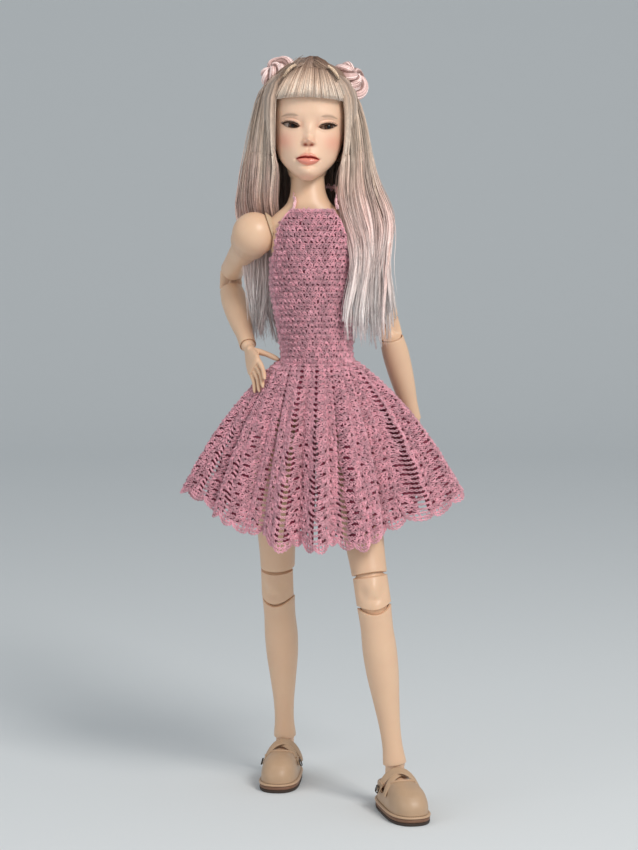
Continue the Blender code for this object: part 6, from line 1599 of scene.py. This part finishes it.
# Cotton: two tones along the ply, painted shade in the depth of each twist, a soft sheen and fine fibres.
def cottonCoat(name, colour, second, sheen):
    made, tree, shader = newCoat(name, 0.5, Sheen_Weight=sheen, Sheen_Roughness=0.4)
    node = useGrain(tree, colour, second, 420, 7000, 0.75)
    spot = addNode(tree, "ShaderNodeTexCoord").outputs["Object"]
    ply = addNode(tree, "ShaderNodeTexWave",
                  {"Vector": spot, "Scale": 900.0, "Distortion": 3.0, "Detail": 1.0},
                  bands_direction="DIAGONAL")
    # Painted shade: the ply's bands scale the colour down to 0.78 in each twist's groove.
    shade = addNode(tree, "ShaderNodeMapRange",
                    {"Value": ply.outputs["Fac"], "To Min": 0.78, "To Max": 1.06})
    each = addNode(tree, "ShaderNodeMapRange",
                   {"Value": mask(tree, "shade"), "To Min": 0.74, "To Max": 1.22})
    lightness = addNode(tree, "ShaderNodeMath", {0: shade.outputs[0], 1: each.outputs[0]},
                        operation="MULTIPLY").outputs[0]
    deep = mixColour(tree, 1.0, node.outputs["Colour"], lightness, "MULTIPLY")
    tree.links.new(deep, shader.inputs["Base Color"])
    relief = addNode(tree, "ShaderNodeBump",
                     {"Height": ply.outputs["Fac"], "Distance": 0.00008, "Strength": 0.8})
    fibres = addNode(tree, "ShaderNodeBump", {"Height": node.outputs["Height"], "Distance": 0.00003,
                                              "Normal": relief.outputs["Normal"]})
    tree.links.new(fibres.outputs["Normal"], shader.inputs["Normal"])
    rough = addNode(tree, "ShaderNodeMapRange",
                    {"Value": node.outputs["Value"], "To Min": 0.36, "To Max": 0.62})
    tree.links.new(rough.outputs[0], shader.inputs["Roughness"])
    return made


cotton = cottonCoat("crochet_cotton", tone(255, 200, 212), tone(244, 150, 170), 0.4)
# The ground's deep rose: partly the deeper loops of the crochet, partly painted shade between the stitches.
groundLoopsAndShade = cottonCoat("crochet_ground", tone(172, 62, 90), tone(132, 42, 66), 0.1)
cottonPale = cottonCoat("halter_cotton", tone(255, 214, 220), tone(246, 184, 194), 0.3)


# Ground cloth with real holes: a grid of thin cells, some of them left open, in a deep rose that is partly deeper
# loops and partly painted shade.
def groundSheet(name, surface, flip, us, vs, openCell, wrap, topOf=None):
    u, v = np.meshgrid(us, vs)
    if topOf is not None:
        v = v * topOf(u)
    normal = normalOf(surface, u, v, flip=flip)
    outer = surface(u, v)
    inner = outer - normal * 0.00045
    return thinGround(name, outer, inner, openCell, wrap, groundLoopsAndShade)


# Skirt: rows of stitches in gores with a gap between them, a scalloped hem, and the ground under all.
def makeSkirt():
    rows, gores = dress["skirtRows"], dress["gores"]
    edges = np.linspace(0, 1, rows + 1)
    goreTurn = 2 * math.pi / gores
    bands = [[]]
    for row in range(rows):
        v0, v1 = edges[row], edges[row + 1]
        ring = skirtAt(np.linspace(0, 2 * math.pi, 361), np.full(361, v0))
        around = np.linalg.norm(np.diff(ring, axis=0), axis=1).sum()
        perGore = max(2, int(round(around / gores / dress["pitch"])))
        gap = 0.10 + 0.09 * softStep(0.30, 1.0, v0)
        gore, number = np.meshgrid(np.arange(gores), np.arange(perGore), indexing="ij")
        gore, number = gore.ravel(), number.ravel()
        share = gap / 2 + (1 - gap) * number / perGore
        drift = 0.05 * np.sin(row * 0.9 + gore * 2.1) * softStep(0.1, 0.5, v0)
        startU = (gore + share + drift) * goreTurn
        sizeU = np.full(len(startU), goreTurn * (1 - gap) / perGore)
        startV = np.full(len(startU), v0)
        sizeV = np.full(len(startU), v1 - v0)
        fan = (number + 0.5) / perGore - 0.5
        skip = (v0 > 0.45) & (perGore > 3) & ((number % 3) == 1) & (((row + gore) % 2) == 0)
        keep = ~skip
        parts = layStitches(skirtAt, -1, startU[keep], startV[keep], sizeU[keep], sizeV[keep],
                            postYarns if row % 3 else stitchYarns, dress["yarn"], 1.1 * fan[keep])
        steps = gores * perGore * 5 + 1
        turn = np.linspace(0, 2 * math.pi, steps)
        phase = (turn / goreTurn) % 1
        sag = 0.28 * (v1 - v0) * bell(np.minimum(phase, 1 - phase), 0, gap * 0.6)
        parts += layChain(skirtAt, -1, turn, np.full(steps, v0) + sag, gores * perGore, dress["yarn"],
                          0.20 * (v1 - v0))
        weigh = lambda some: sum(2 * len(part[1]) + len(part[2]) for part in some)
        if weigh(bands[-1]) + weigh(parts) > dress["mostTriangles"]:
            bands.append([])
        bands[-1] += parts
    bands.append([])
    steps = dress["scallops"] * 12 + 1
    turn = np.linspace(0, 2 * math.pi, steps)
    for drop, reach, thick in ((1.0, 0.0, 1.0), (1.005, 0.022, 1.15), (1.012, 0.034, 1.1)):
        wave = np.abs(np.sin(turn * dress["scallops"] / 2)) ** 0.7
        bands[-1] += layChain(skirtAt, -1, turn, drop + reach * wave, dress["scallops"] * 3,
                              dress["yarn"] * thick, 0.006)
    fans = np.linspace(0, 2 * math.pi, dress["scallops"] * 5, endpoint=False)
    wave = np.abs(np.sin(fans * dress["scallops"] / 2)) ** 0.7
    bands[-1] += layStitches(skirtAt, -1, fans, np.full(len(fans), 1.0), np.full(len(fans), 0.018),
                             0.008 + 0.026 * wave,
                            {"postA": postYarns["postA"], "postB": postYarns["postB"]}, dress["yarn"])
    yarns = [yarnPiece(f"skirt_yarn_{number}", parts, cotton) for number, parts in enumerate(bands, 1)]

    columns, levels = gores * 14, 67
    us = 2 * math.pi * np.arange(columns) / columns
    vs = np.linspace(0, 1.0, levels)
    cellU = (np.arange(columns) + 0.5) / columns * gores % 1
    cellV = (vs[:-1] + vs[1:]) / 2
    beside = np.minimum(cellU, 1 - cellU)[None, :]
    level = cellV[:, None]
    rowPhase = (level * rows) % 1
    opens = (beside < 0.040 + 0.035 * level) & (level > 0.30) & (rowPhase > 0.18) & (rowPhase < 0.9)
    inner = np.sin(cellU * math.pi * 2 * 3)[None, :] > 0.72 - 0.5 * level
    opens |= inner & (level > 0.55) & (rowPhase > 0.3) & (rowPhase < 0.85) & (beside > 0.12)
    ground = groundSheet("skirt_ground", skirtAt, -1, us, vs, opens, True)
    for piece in [ground] + yarns:
        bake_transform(piece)
    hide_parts("skirt")


# Bodice: rows of stitches up to the top edge, an edge chain, and the ground.
def makeBodice():
    step = dress["rowHeight"]
    count = int(0.0905 / step)
    low, high = [], []
    for row in range(count):
        height = 0.0002 + row * 0.0905 / count
        tall = 0.0905 / count
        turn = np.linspace(0, 2 * math.pi, 361)
        around = np.linalg.norm(np.diff(bodiceAt(turn, np.full(361, height)), axis=0), axis=1).sum()
        number = int(round(around / (dress["pitch"] * 0.94)))
        start = (np.arange(number) + 0.5 * (row % 2)) / number * 2 * math.pi
        middle = start + math.pi / number
        keep = height + tall * 0.6 < bodiceTop(middle)
        start = start[keep]
        size = np.full(len(start), 2 * math.pi / number)
        parts = layStitches(bodiceAt, 1, start, np.full(len(start), height), size,
                            np.full(len(start), tall),
                            stitchYarns, dress["yarn"] * 1.12)
        steps = number * 5 + 1
        turn = np.linspace(0, 2 * math.pi, steps)
        inside = height < bodiceTop(turn) - 0.0004
        if inside.all():
            parts += layChain(bodiceAt, 1, turn, np.full(steps, height), number, dress["yarn"] * 1.1,
                              0.18 * tall)
        else:
            for run in np.split(np.arange(steps), np.where(np.diff(inside.astype(int)) != 0)[0] + 1):
                if inside[run[0]] and len(run) > 8:
                    parts += layChain(bodiceAt, 1, turn[run], np.full(len(run), height), len(run) / 5,
                                      dress["yarn"] * 1.1, 0.18 * tall)
        (low if row < count // 2 else high).extend(parts)
    turn = np.linspace(0, 2 * math.pi, 721)
    for drop in (0.0, -0.0008):
        high += layChain(bodiceAt, 1, turn, bodiceTop(turn) + drop, 58, dress["yarn"] * 1.1, 0.0005)
    yarns = [yarnPiece("bodice_yarn_low", low, cotton), yarnPiece("bodice_yarn_high", high, cotton)]
    columns, levels = 120, 56
    us = 2 * math.pi * np.arange(columns) / columns
    opens = np.zeros((levels - 1, columns), bool)
    ground = groundSheet("bodice_ground", bodiceAt, 1, us, np.linspace(0, 1, levels), opens, True,
                         bodiceTop)
    for piece in [ground] + yarns:
        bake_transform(piece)
    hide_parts("bodice")


# Halter: a cord round the neck, covered with twisted yarn and small loops.
def makeHalter():
    top = 0.0905 + 0.0010
    half, around, neckBack = 0.0128, 0.0099 * 1.12 + 0.0012, 0.0040
    depth = 0.016 * 0.78 + dress["ease"]
    rise = 0.0385 * 0.33
    knots = [(-half, -depth * 0.80, top - 0.0008), (-half * 0.93, -depth * 0.52, top + rise * 0.30),
             (-around * 1.06, -depth * 0.12, top + rise * 0.62), (-around, neckBack, top + rise * 0.9),
             (-around * 0.7, neckBack + around * 0.80, top + rise * 1.02),
             (0, neckBack + around * 1.1, top + rise * 1.06)]
    knots += [(-x, y, z) for x, y, z in knots[-2::-1]]
    path = smoothPath(np.array(knots) + [chestLean * (top - 0.032), 0, 0], 121) + waistAt
    points, quads, triangles = tubes(path[None], 0.0006, 8, (0.0, 0.3, 1.0))
    core = addPiece("halter_core", points, quads, triangles, cottonPale,
                    {"shade": np.full(len(points), 0.6)})
    count = 30
    centres = path[np.linspace(2, 118, count).astype(int)]
    ahead = unit(np.gradient(path, axis=0))[np.linspace(2, 118, count).astype(int)]
    outward = unit(np.cross(ahead, np.cross([0.0, 0.0, 1.0], ahead)))
    outward *= np.where(np.arange(count) % 2, 1, -1)[:, None]
    beads = np.linspace(0, 2 * math.pi, 11)
    loops = (centres[:, None] + outward[:, None] * (0.0004 + 0.0008 * (1 - np.cos(beads)))[None, :, None]
             + ahead[:, None] * (0.0010 * np.sin(beads))[None, :, None])
    strands = [tubes(loops, 0.00032, 5, np.cross(ahead, outward)[:, None])]
    phase = np.linspace(0, 2 * math.pi * 26, len(path))
    sideways = unit(np.cross(unit(np.gradient(path, axis=0)), [0.0, 0.3, 1.0]))
    lifted = np.cross(sideways, unit(np.gradient(path, axis=0)))
    for k in range(3):
        turnBy = phase + 2 * math.pi * k / 3
        twisted = path + sideways * (0.00062 * np.cos(turnBy))[:,
                                                               None] + lifted * (0.00062 * np.sin(turnBy))[:, None]
        strands.append(tubes(twisted[None], 0.00036, 5, lifted[None]))
    strands = [(*part, np.full(len(part[0]), 0.9)) for part in strands]
    picots = yarnPiece("halter_picots", strands, cottonPale)
    for piece in (core, picots):
        finishPiece(piece, "chest", "crochet_cotton")
    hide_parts("halter_cord")


makeSkirt()
makeBodice()
makeHalter()
print("dress made")


# Shoes: a layered sole, a domed upper with a rolled edge, two crossed straps and their buckles

shoe = {"length": 0.060, "halfWidth": 0.0135, "sole": 0.0052, "upper": 0.0150, "leather": 0.0012,
        "floor": -0.0265,
        "gap": 0.0003, "strapWidth": 0.0052, "strapThickness": 0.0009, "piping": 0.00075}
domeTable = np.array([(0, 1), (0.30, 0.99), (0.55, 0.92), (0.78, 0.78), (0.93, 0.56), (1.0, 0.30)])
shoeTurn = 2 * math.pi * np.arange(96) / 96


# The shoe's outline, grown by some distance, or shrunk with less effect at the heel.
def shoeOutline(spare, height, shrink=1.0, turn=shoeTurn):
    along = -np.sin(turn)
    waist = 0.90 + 0.12 * along - 0.06 * np.cos(math.pi * along)
    size = shrink + (1 - shrink) * 0.85 * np.clip(-1.6 * along, 0, 1)
    x = (shoe["halfWidth"] * waist + spare) * size * np.sign(np.cos(turn)) * np.abs(np.cos(turn)) ** 0.82
    y = -0.20 * shoe["length"] - (shoe["length"] / 2 + spare) * size * np.sign(along) * np.abs(along) ** 0.92
    return np.stack(np.broadcast_arrays(x, y, height), -1)


# A solid from outlines, each given as spare and height.
def soleLayer(name, where, table, coat):
    rings = np.stack([shoeOutline(s, z) for s, z in table])
    piece = ringSolid(name, toWorld(where, rings), coat)
    piece.data.set_sharp_from_angle(angle=math.radians(60))
    return piece


# The dome of the upper: outlines that shrink as they rise.
def domeRings(spare, base, tall, count=26):
    shares = np.linspace(0, 1, count) ** 0.85
    return np.stack([shoeOutline(spare, base + tall * h, s)
                     for h, s in zip(shares, smoothAt(domeTable[:, 0], domeTable[:, 1], shares))])


# Short thread stitches along a closed or open line, each a little raised at its middle.
def stitchLine(path, count, radius, normal, fill=0.62, sink=0.00012):
    number = len(path)
    starts = np.linspace(0, number - 1, count + 1)[:-1]
    step = (number - 1) / count
    share = np.linspace(0, fill, 5)
    spot = starts[:, None] + share * step
    low = np.clip(spot.astype(int), 0, number - 2)
    f = (spot - low)[..., None]
    bow = np.sin(math.pi * share / fill)[None, :, None]
    normal = np.broadcast_to(normal, path.shape)
    points = path[low] * (1 - f) + path[low + 1] * f + normal[low] * (bow * radius - sink)
    return tubes(points, radius, 5, normal[low])


# A flat band along a path.
def bandTube(path, normal, halfWidth, thickness):
    return tubes(path[None], halfWidth, 20, normal[None], thickness / (2 * halfWidth))


# A shoe: three sole layers, the cut upper with its rolled edge, two straps with buckles, and the stitches.
def makeShoe(side, word):
    where = frames[f"foot_{word}"]
    body = f"foot_{word}"
    floor, top = shoe["floor"], shoe["floor"] + shoe["sole"]
    w = shoe["halfWidth"]
    tread = soleLayer(f"tread_{word}", where,
                      [(-0.05 * w, floor), (-0.005 * w, floor + 0.0003), (0.01 * w, floor + 0.0010),
                                               (0.01 * w, floor + 0.0017), (-0.02 * w, floor + 0.0019)],
                                               treadCoat)
    middle = soleLayer(f"midsole_{word}", where,
                       [(-0.03 * w, floor + 0.0019), (0.0, floor + 0.0021), (0.012 * w, floor + 0.0030),
                                                  (0.0, floor + 0.0038), (-0.03 * w, floor + 0.0040)],
                                                  weltCoat)
    welt = soleLayer(f"welt_{word}", where, [(-0.02 * w, floor + 0.0040), (0.035 * w, floor + 0.0042),
                                             (0.045 * w, floor + 0.0047), (0.02 * w, top),
                                             (-0.10 * w, top)], pipingCoat)
    finishPiece(tread, body, "shoe_sole", f"outsole_{word}")
    finishPiece(middle, body, "shoe_sole")
    finishPiece(welt, body, "shoe_sole")

    base = top + shoe["gap"]
    inset = -0.07 * w
    outer = domeRings(inset, base, shoe["upper"])
    upper = ringSolid(f"upper_{word}", toWorld(where, outer), leatherCoat)
    inner = domeRings(inset - shoe["leather"], base, shoe["upper"] - shoe["leather"])
    inner = np.concatenate([shoeOutline(inset - shoe["leather"], base - 0.002)[None], inner])
    inner = (inner + np.roll(inner, 1, 1)) / 2
    cutAway(upper, ringSolid("inside", toWorld(where, inner), None), solver="MANIFOLD")
    rimZ = floor + shoe["upper"] * 0.98
    mouthX, mouthY, mouthMiddle = w * 0.98, shoe["length"] * 0.335, shoe["length"] * 0.035
    mouth = np.stack([np.stack([mouthX * np.cos(shoeTurn), mouthMiddle + mouthY * np.sin(shoeTurn),
                                np.full(96, z)], -1)
                      for z in (rimZ, rimZ + 0.02)])
    cutAway(upper, ringSolid("mouth", toWorld(where, mouth), None), solver="MANIFOLD")
    sideMiddle, sideHeight = -0.09 * shoe["length"], base + shoe["upper"] * 0.80
    hole = np.stack([np.stack([np.full(96, x), sideMiddle + 0.095 * shoe["length"] * np.cos(shoeTurn),
                               sideHeight + shoe["upper"] * 0.42 * np.sin(shoeTurn)],
                               -1) for x in (-1.2 * w, 1.2 * w)])
    cutAway(upper, ringSolid("side", toWorld(where, hole), None), solver="MANIFOLD")
    upper.data.materials.clear()
    upper.data.materials.append(leatherCoat)
    finishPiece(upper, body, "shoe_leather", f"shoe_upper_{word}")

    # The front of the mouth: where the ellipse meets the dome.
    bend = np.radians(np.linspace(-158, -22, 61))
    x, y = mouthX * np.cos(bend), mouthMiddle + mouthY * np.sin(bend)
    heights = np.linspace(0, 1, 121)[:, None]
    shrink = smoothAt(domeTable[:, 0], domeTable[:, 1], heights[:, 0])[:, None]
    reach = (shoe["length"] / 2 + inset) * shrink
    along = np.clip((-0.20 * shoe["length"] - y[None]) / reach, -1, 1)
    along = np.sign(along) * np.abs(along) ** (1 / 0.92)
    half = (w * (0.90 + 0.12 * along - 0.06 * np.cos(math.pi * along)) + inset) * shrink
    fits = (np.abs(x)[None] / half) ** (2 / 0.82) + np.abs(along) ** 2 < 1
    level = base + shoe["upper"] * (fits * heights).max(0)
    keep = level > rimZ + 0.0002
    rim = np.stack([x, y, level + 0.0001], -1)[keep]
    normal = np.broadcast_to([0.0, -0.35, 1.0], rim.shape)
    roll = tubes(toWorld(where, rim)[None], shoe["piping"], 10,
                 toWorld((np.zeros(3), where[1]), normal)[None])
    finishPiece(addPiece(f"rolled_edge_{word}", *roll, pipingCoat), body, "shoe_leather")

    seams = [stitchLine(toWorld(where, shoeOutline(-0.028 * w, top + 0.0001,
                                                   turn=np.append(shoeTurn, 2 * math.pi))), 96,
                        0.00016, where[1][2])]
    towards = unit(rim - [0, mouthMiddle, 0]) * [1, 1, 0]
    seam = rim + unit(towards) * 0.0015 - [0, 0, 0.0006]
    seams.append(stitchLine(toWorld(where, seam), 44, 0.00011, where[1][2]))

    halfSpan, crown, low = w * 0.82, -0.138 * 0.0265, base + shoe["upper"] * 0.42
    straps = ((side, shoe["strapThickness"] + 3 * shoe["gap"], 1.0, "upper"), (-side, 0.0, 0.8, "lower"))
    for lean, lift, share, kind in straps:
        turn = math.pi * (1 - np.linspace(0.0, 1.0, 61))
        across = np.cos(turn)
        route = np.stack([halfSpan * across * (0.98 + 0.02 * np.abs(across)),
                          -shoe["length"] * (0.165 + 0.10 * lean * across),
                          low + (crown + lift - low) * np.sin(turn) ** 1.5], -1)
        outward = unit(np.cross(np.gradient(route, axis=0), [0.0, -1.0, 0.0]))
        outward *= np.sign(outward[:, 2:] + 1e-9)
        outward = np.where(np.abs(outward[:, 2:]) < 0.08, np.sign(across)[:, None] * [1.0, 0, 0], outward)
        outward = unit(outward - np.outer(0.75 * np.sin(turn) ** 2, [0, 1.0, 0]))
        inWorld, facing = toWorld(where, route), outward @ where[1]
        width = shoe["strapWidth"] * share / 2
        strap = addPiece(f"strap_{kind}_{word}_leather",
                         *bandTube(inWorld, facing, width, shoe["strapThickness"] * 1.25),
                         leatherCoat)
        finishPiece(strap, body, "shoe_leather", f"strap_{kind}_{word}")
        sideways = unit(np.cross(np.gradient(inWorld, axis=0), facing))
        for edge in (-0.74, 0.74):
            seams.append(stitchLine(inWorld + sideways * width * edge + facing * shoe["strapThickness"] * 0.36, 40,
                                    0.00010, facing, sink=0.00002))
        first = 4 if lean == side else -5
        centre = inWorld[first] + facing[first] * 0.0011
        size = 0.0019
        b = 2 * math.pi * np.arange(33) / 32
        square = lambda v: np.sign(v) * np.abs(v) ** 0.45
        tangent = unit(np.gradient(inWorld, axis=0))[first]
        frameLine = centre + np.outer(square(np.cos(b)),
                                      sideways[first]) * size * 1.25 + np.outer(square(np.sin(b)),
                                                                                tangent) * size
        pin = centre + np.outer(np.linspace(-1, 1.05, 9), tangent) * size + facing[first] * 0.0003
        metal = joined([tubes(frameLine[None], 0.00032, 8, facing[first]),
                        tubes(pin[None], 0.00022, 6, facing[first])])
        finishPiece(addPiece(f"buckle_{kind}_{word}_metal", *metal, buckleCoat), body, "buckle_metal",
                    f"buckle_{kind}_{word}")
        keeper = inWorld[first + (7 if first > 0 else -7)]
        facingHere = facing[first + (7 if first > 0 else -7)]
        bar = keeper + np.outer(np.linspace(-1.12, 1.12, 15), sideways[first]) * width + facingHere * 0.0006
        finishPiece(addPiece(f"keeper_{kind}_{word}", *tubes(bar[None], 0.00055, 8, tangent, 0.6),
                             pipingCoat), body,
                    "shoe_leather")
    finishPiece(addPiece(f"stitches_{word}", *joined(seams), threadCoat), body, "shoe_leather")


for side, word in ((-1, "right"), (1, "left")):
    makeShoe(side, word)
print("shoes made")


# Elastic: a rubber tube in every body that the cord runs through, from joint centre to joint centre.
elastic = {"arm": 0.0008, "leg": 0.0010, "armHook": 0.0088, "legHook": 0.0112, "shoulderRise": 0.0455,
           "inward": 0.27,
           "slope": 0.33, "neckHook": 0.0109, "liningHole": 22.0, "liningEnd": 44.0,
           "liningThickness": 0.0006}


# One stretch of elastic through a body.
def elasticRun(name, body, knots, radius, *nodes):
    path = smoothPath(np.array(knots), 24 if len(knots) > 2 else 6)
    facing = np.array([0.05, 1.0, 0.1])
    finishPiece(addPiece(name, *tubes(path[None], radius, 12, facing), rubberCoat), body, "elastic_cord",
                *nodes)


# Every stretch of elastic, and the linings of shoulder and hip sockets.
def makeElastics():
    chest, neck, waist = frames["chest"], neckFrame, frames["waist"]
    shoulders = {word: frames[f"upper_arm_{word}"][0] for word in ("right", "left")}
    span = shoulders["left"] - shoulders["right"]
    rise = elastic["shoulderRise"]
    middle = (shoulders["left"] + shoulders["right"]) / 2
    inner = [middle + span * share + np.array([0, 0,
                                               (0.5 - abs(share)) * np.linalg.norm(span) * elastic["slope"]])
             for share in (-elastic["inward"], elastic["inward"])]
    knots = [shoulders["right"], inner[0], middle + [0, -0.0022, 0], inner[1], shoulders["left"]]
    elasticRun("elastic_shoulders", "chest", knots, elastic["arm"], "arm_elastic")
    for side, word in ((-1, "right"), (1, "left")):
        forearm, elbow, upperArm = (frames[f"{part}_{word}"] for part in ("forearm", "elbow", "upper_arm"))
        wrist = frames[f"hand_{word}"][0]
        end = wrist + unit(forearm[0] - wrist) * elastic["armHook"]
        elasticRun(f"elastic_forearm_{word}", f"forearm_{word}", [end, forearm[0]], elastic["arm"])
        elasticRun(f"elastic_elbow_{word}", f"elbow_{word}", [forearm[0], elbow[0]], elastic["arm"])
        elasticRun(f"elastic_upper_arm_{word}", f"upper_arm_{word}", [elbow[0], upperArm[0]],
                   elastic["arm"])
        aside = side * elastic["leg"] * 1.5
        start = toWorld(neck, np.array([aside, 0, -elastic["neckHook"]]))
        high = toWorld(chest, np.array([aside, 0.0036, rise * 0.55]))
        waistSpot = waist[0] + [aside * 2.2, 0, 0]
        hip, knee, shin = (frames[f"{part}_{word}"] for part in ("thigh", "knee", "shin"))
        low = frames["pelvis"][0] + [side * 0.009, 0, 0.0098]
        elasticRun(f"elastic_chest_{word}", "chest", [start, high, chest[0] + [aside * 1.4, 0, 0]],
                   elastic["leg"])
        elasticRun(f"elastic_waist_{word}", "waist", [chest[0] + [aside * 1.4, 0, 0], waistSpot],
                   elastic["leg"])
        elasticRun(f"elastic_pelvis_{word}", "pelvis", [waistSpot, low, hip[0]], elastic["leg"],
                   f"leg_elastic_{word}")
        elasticRun(f"elastic_thigh_{word}", f"thigh_{word}", [hip[0], knee[0]], elastic["leg"])
        elasticRun(f"elastic_knee_{word}", f"knee_{word}", [knee[0], shin[0]], elastic["leg"])
        ankle = frames[f"foot_{word}"][0]
        end = ankle + unit(shin[0] - ankle) * elastic["legHook"]
        elasticRun(f"elastic_shin_{word}", f"shin_{word}", [shin[0], end], elastic["leg"])
        for kind, body, centre, inward, ball in (("shoulder", "chest", shoulders[word], (-side, 0, 0.33),
                                                  arm["shoulderBall"]),
                                                 ("hip", "pelvis", hip[0], (-side, 0, 1), leg["hipBall"])):
            inside = ball + 0.0008
            rows = (ballRows(inside + elastic["liningThickness"], elastic["liningHole"],
                             elastic["liningEnd"], 12)
                    + ballRows(inside, elastic["liningEnd"], elastic["liningHole"], 12))
            out = unit(np.array(inward, float))
            across = unit(np.cross([0.0, 1.0, 0.0], out))
            turnTo = np.stack([across, np.cross(out, across), out])
            rings = np.stack(rows + rows[:1]) @ turnTo + centre
            piece = liningRing(f"{kind}_lining_{word}_suede", rings[:-1])
            finishPiece(piece, body, "lining_suede", f"{kind}_lining_{word}")


# A closed ring solid: rows that run round its section as well as round its axis.
def liningRing(name, rings):
    rows, columns = rings.shape[:2]
    number = np.arange(rows * columns).reshape(rows, columns)
    right, below = np.roll(number, -1, 1), np.roll(number, -1, 0)
    quads = np.stack([number, right, np.roll(below, -1, 1), below], -1).reshape(-1, 4)
    points = rings.reshape(-1, 3)
    a, b, c = (points[quads[:, k]] for k in range(3))
    if np.einsum("ij,ij->i", a - points.mean(0), np.cross(b - a, c - a)).sum() < 0:
        quads = quads[:, ::-1]
    return addPiece(name, points, quads, None, suedeCoat)


makeElastics()
print("elastics and linings made")


# Hooks and head cap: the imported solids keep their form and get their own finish.
def coatNodes():
    coats = {"hook": steelCoat, "head_cap": resin}
    for node in bpy.data.objects:
        if node.type != "MESH" or not node.material_slots:
            continue
        for word, coat in coats.items():
            if word in node.name and not node.name.startswith("shoe"):
                for slot in node.material_slots:
                    slot.link = "OBJECT"
                    slot.material = coat


coatNodes()
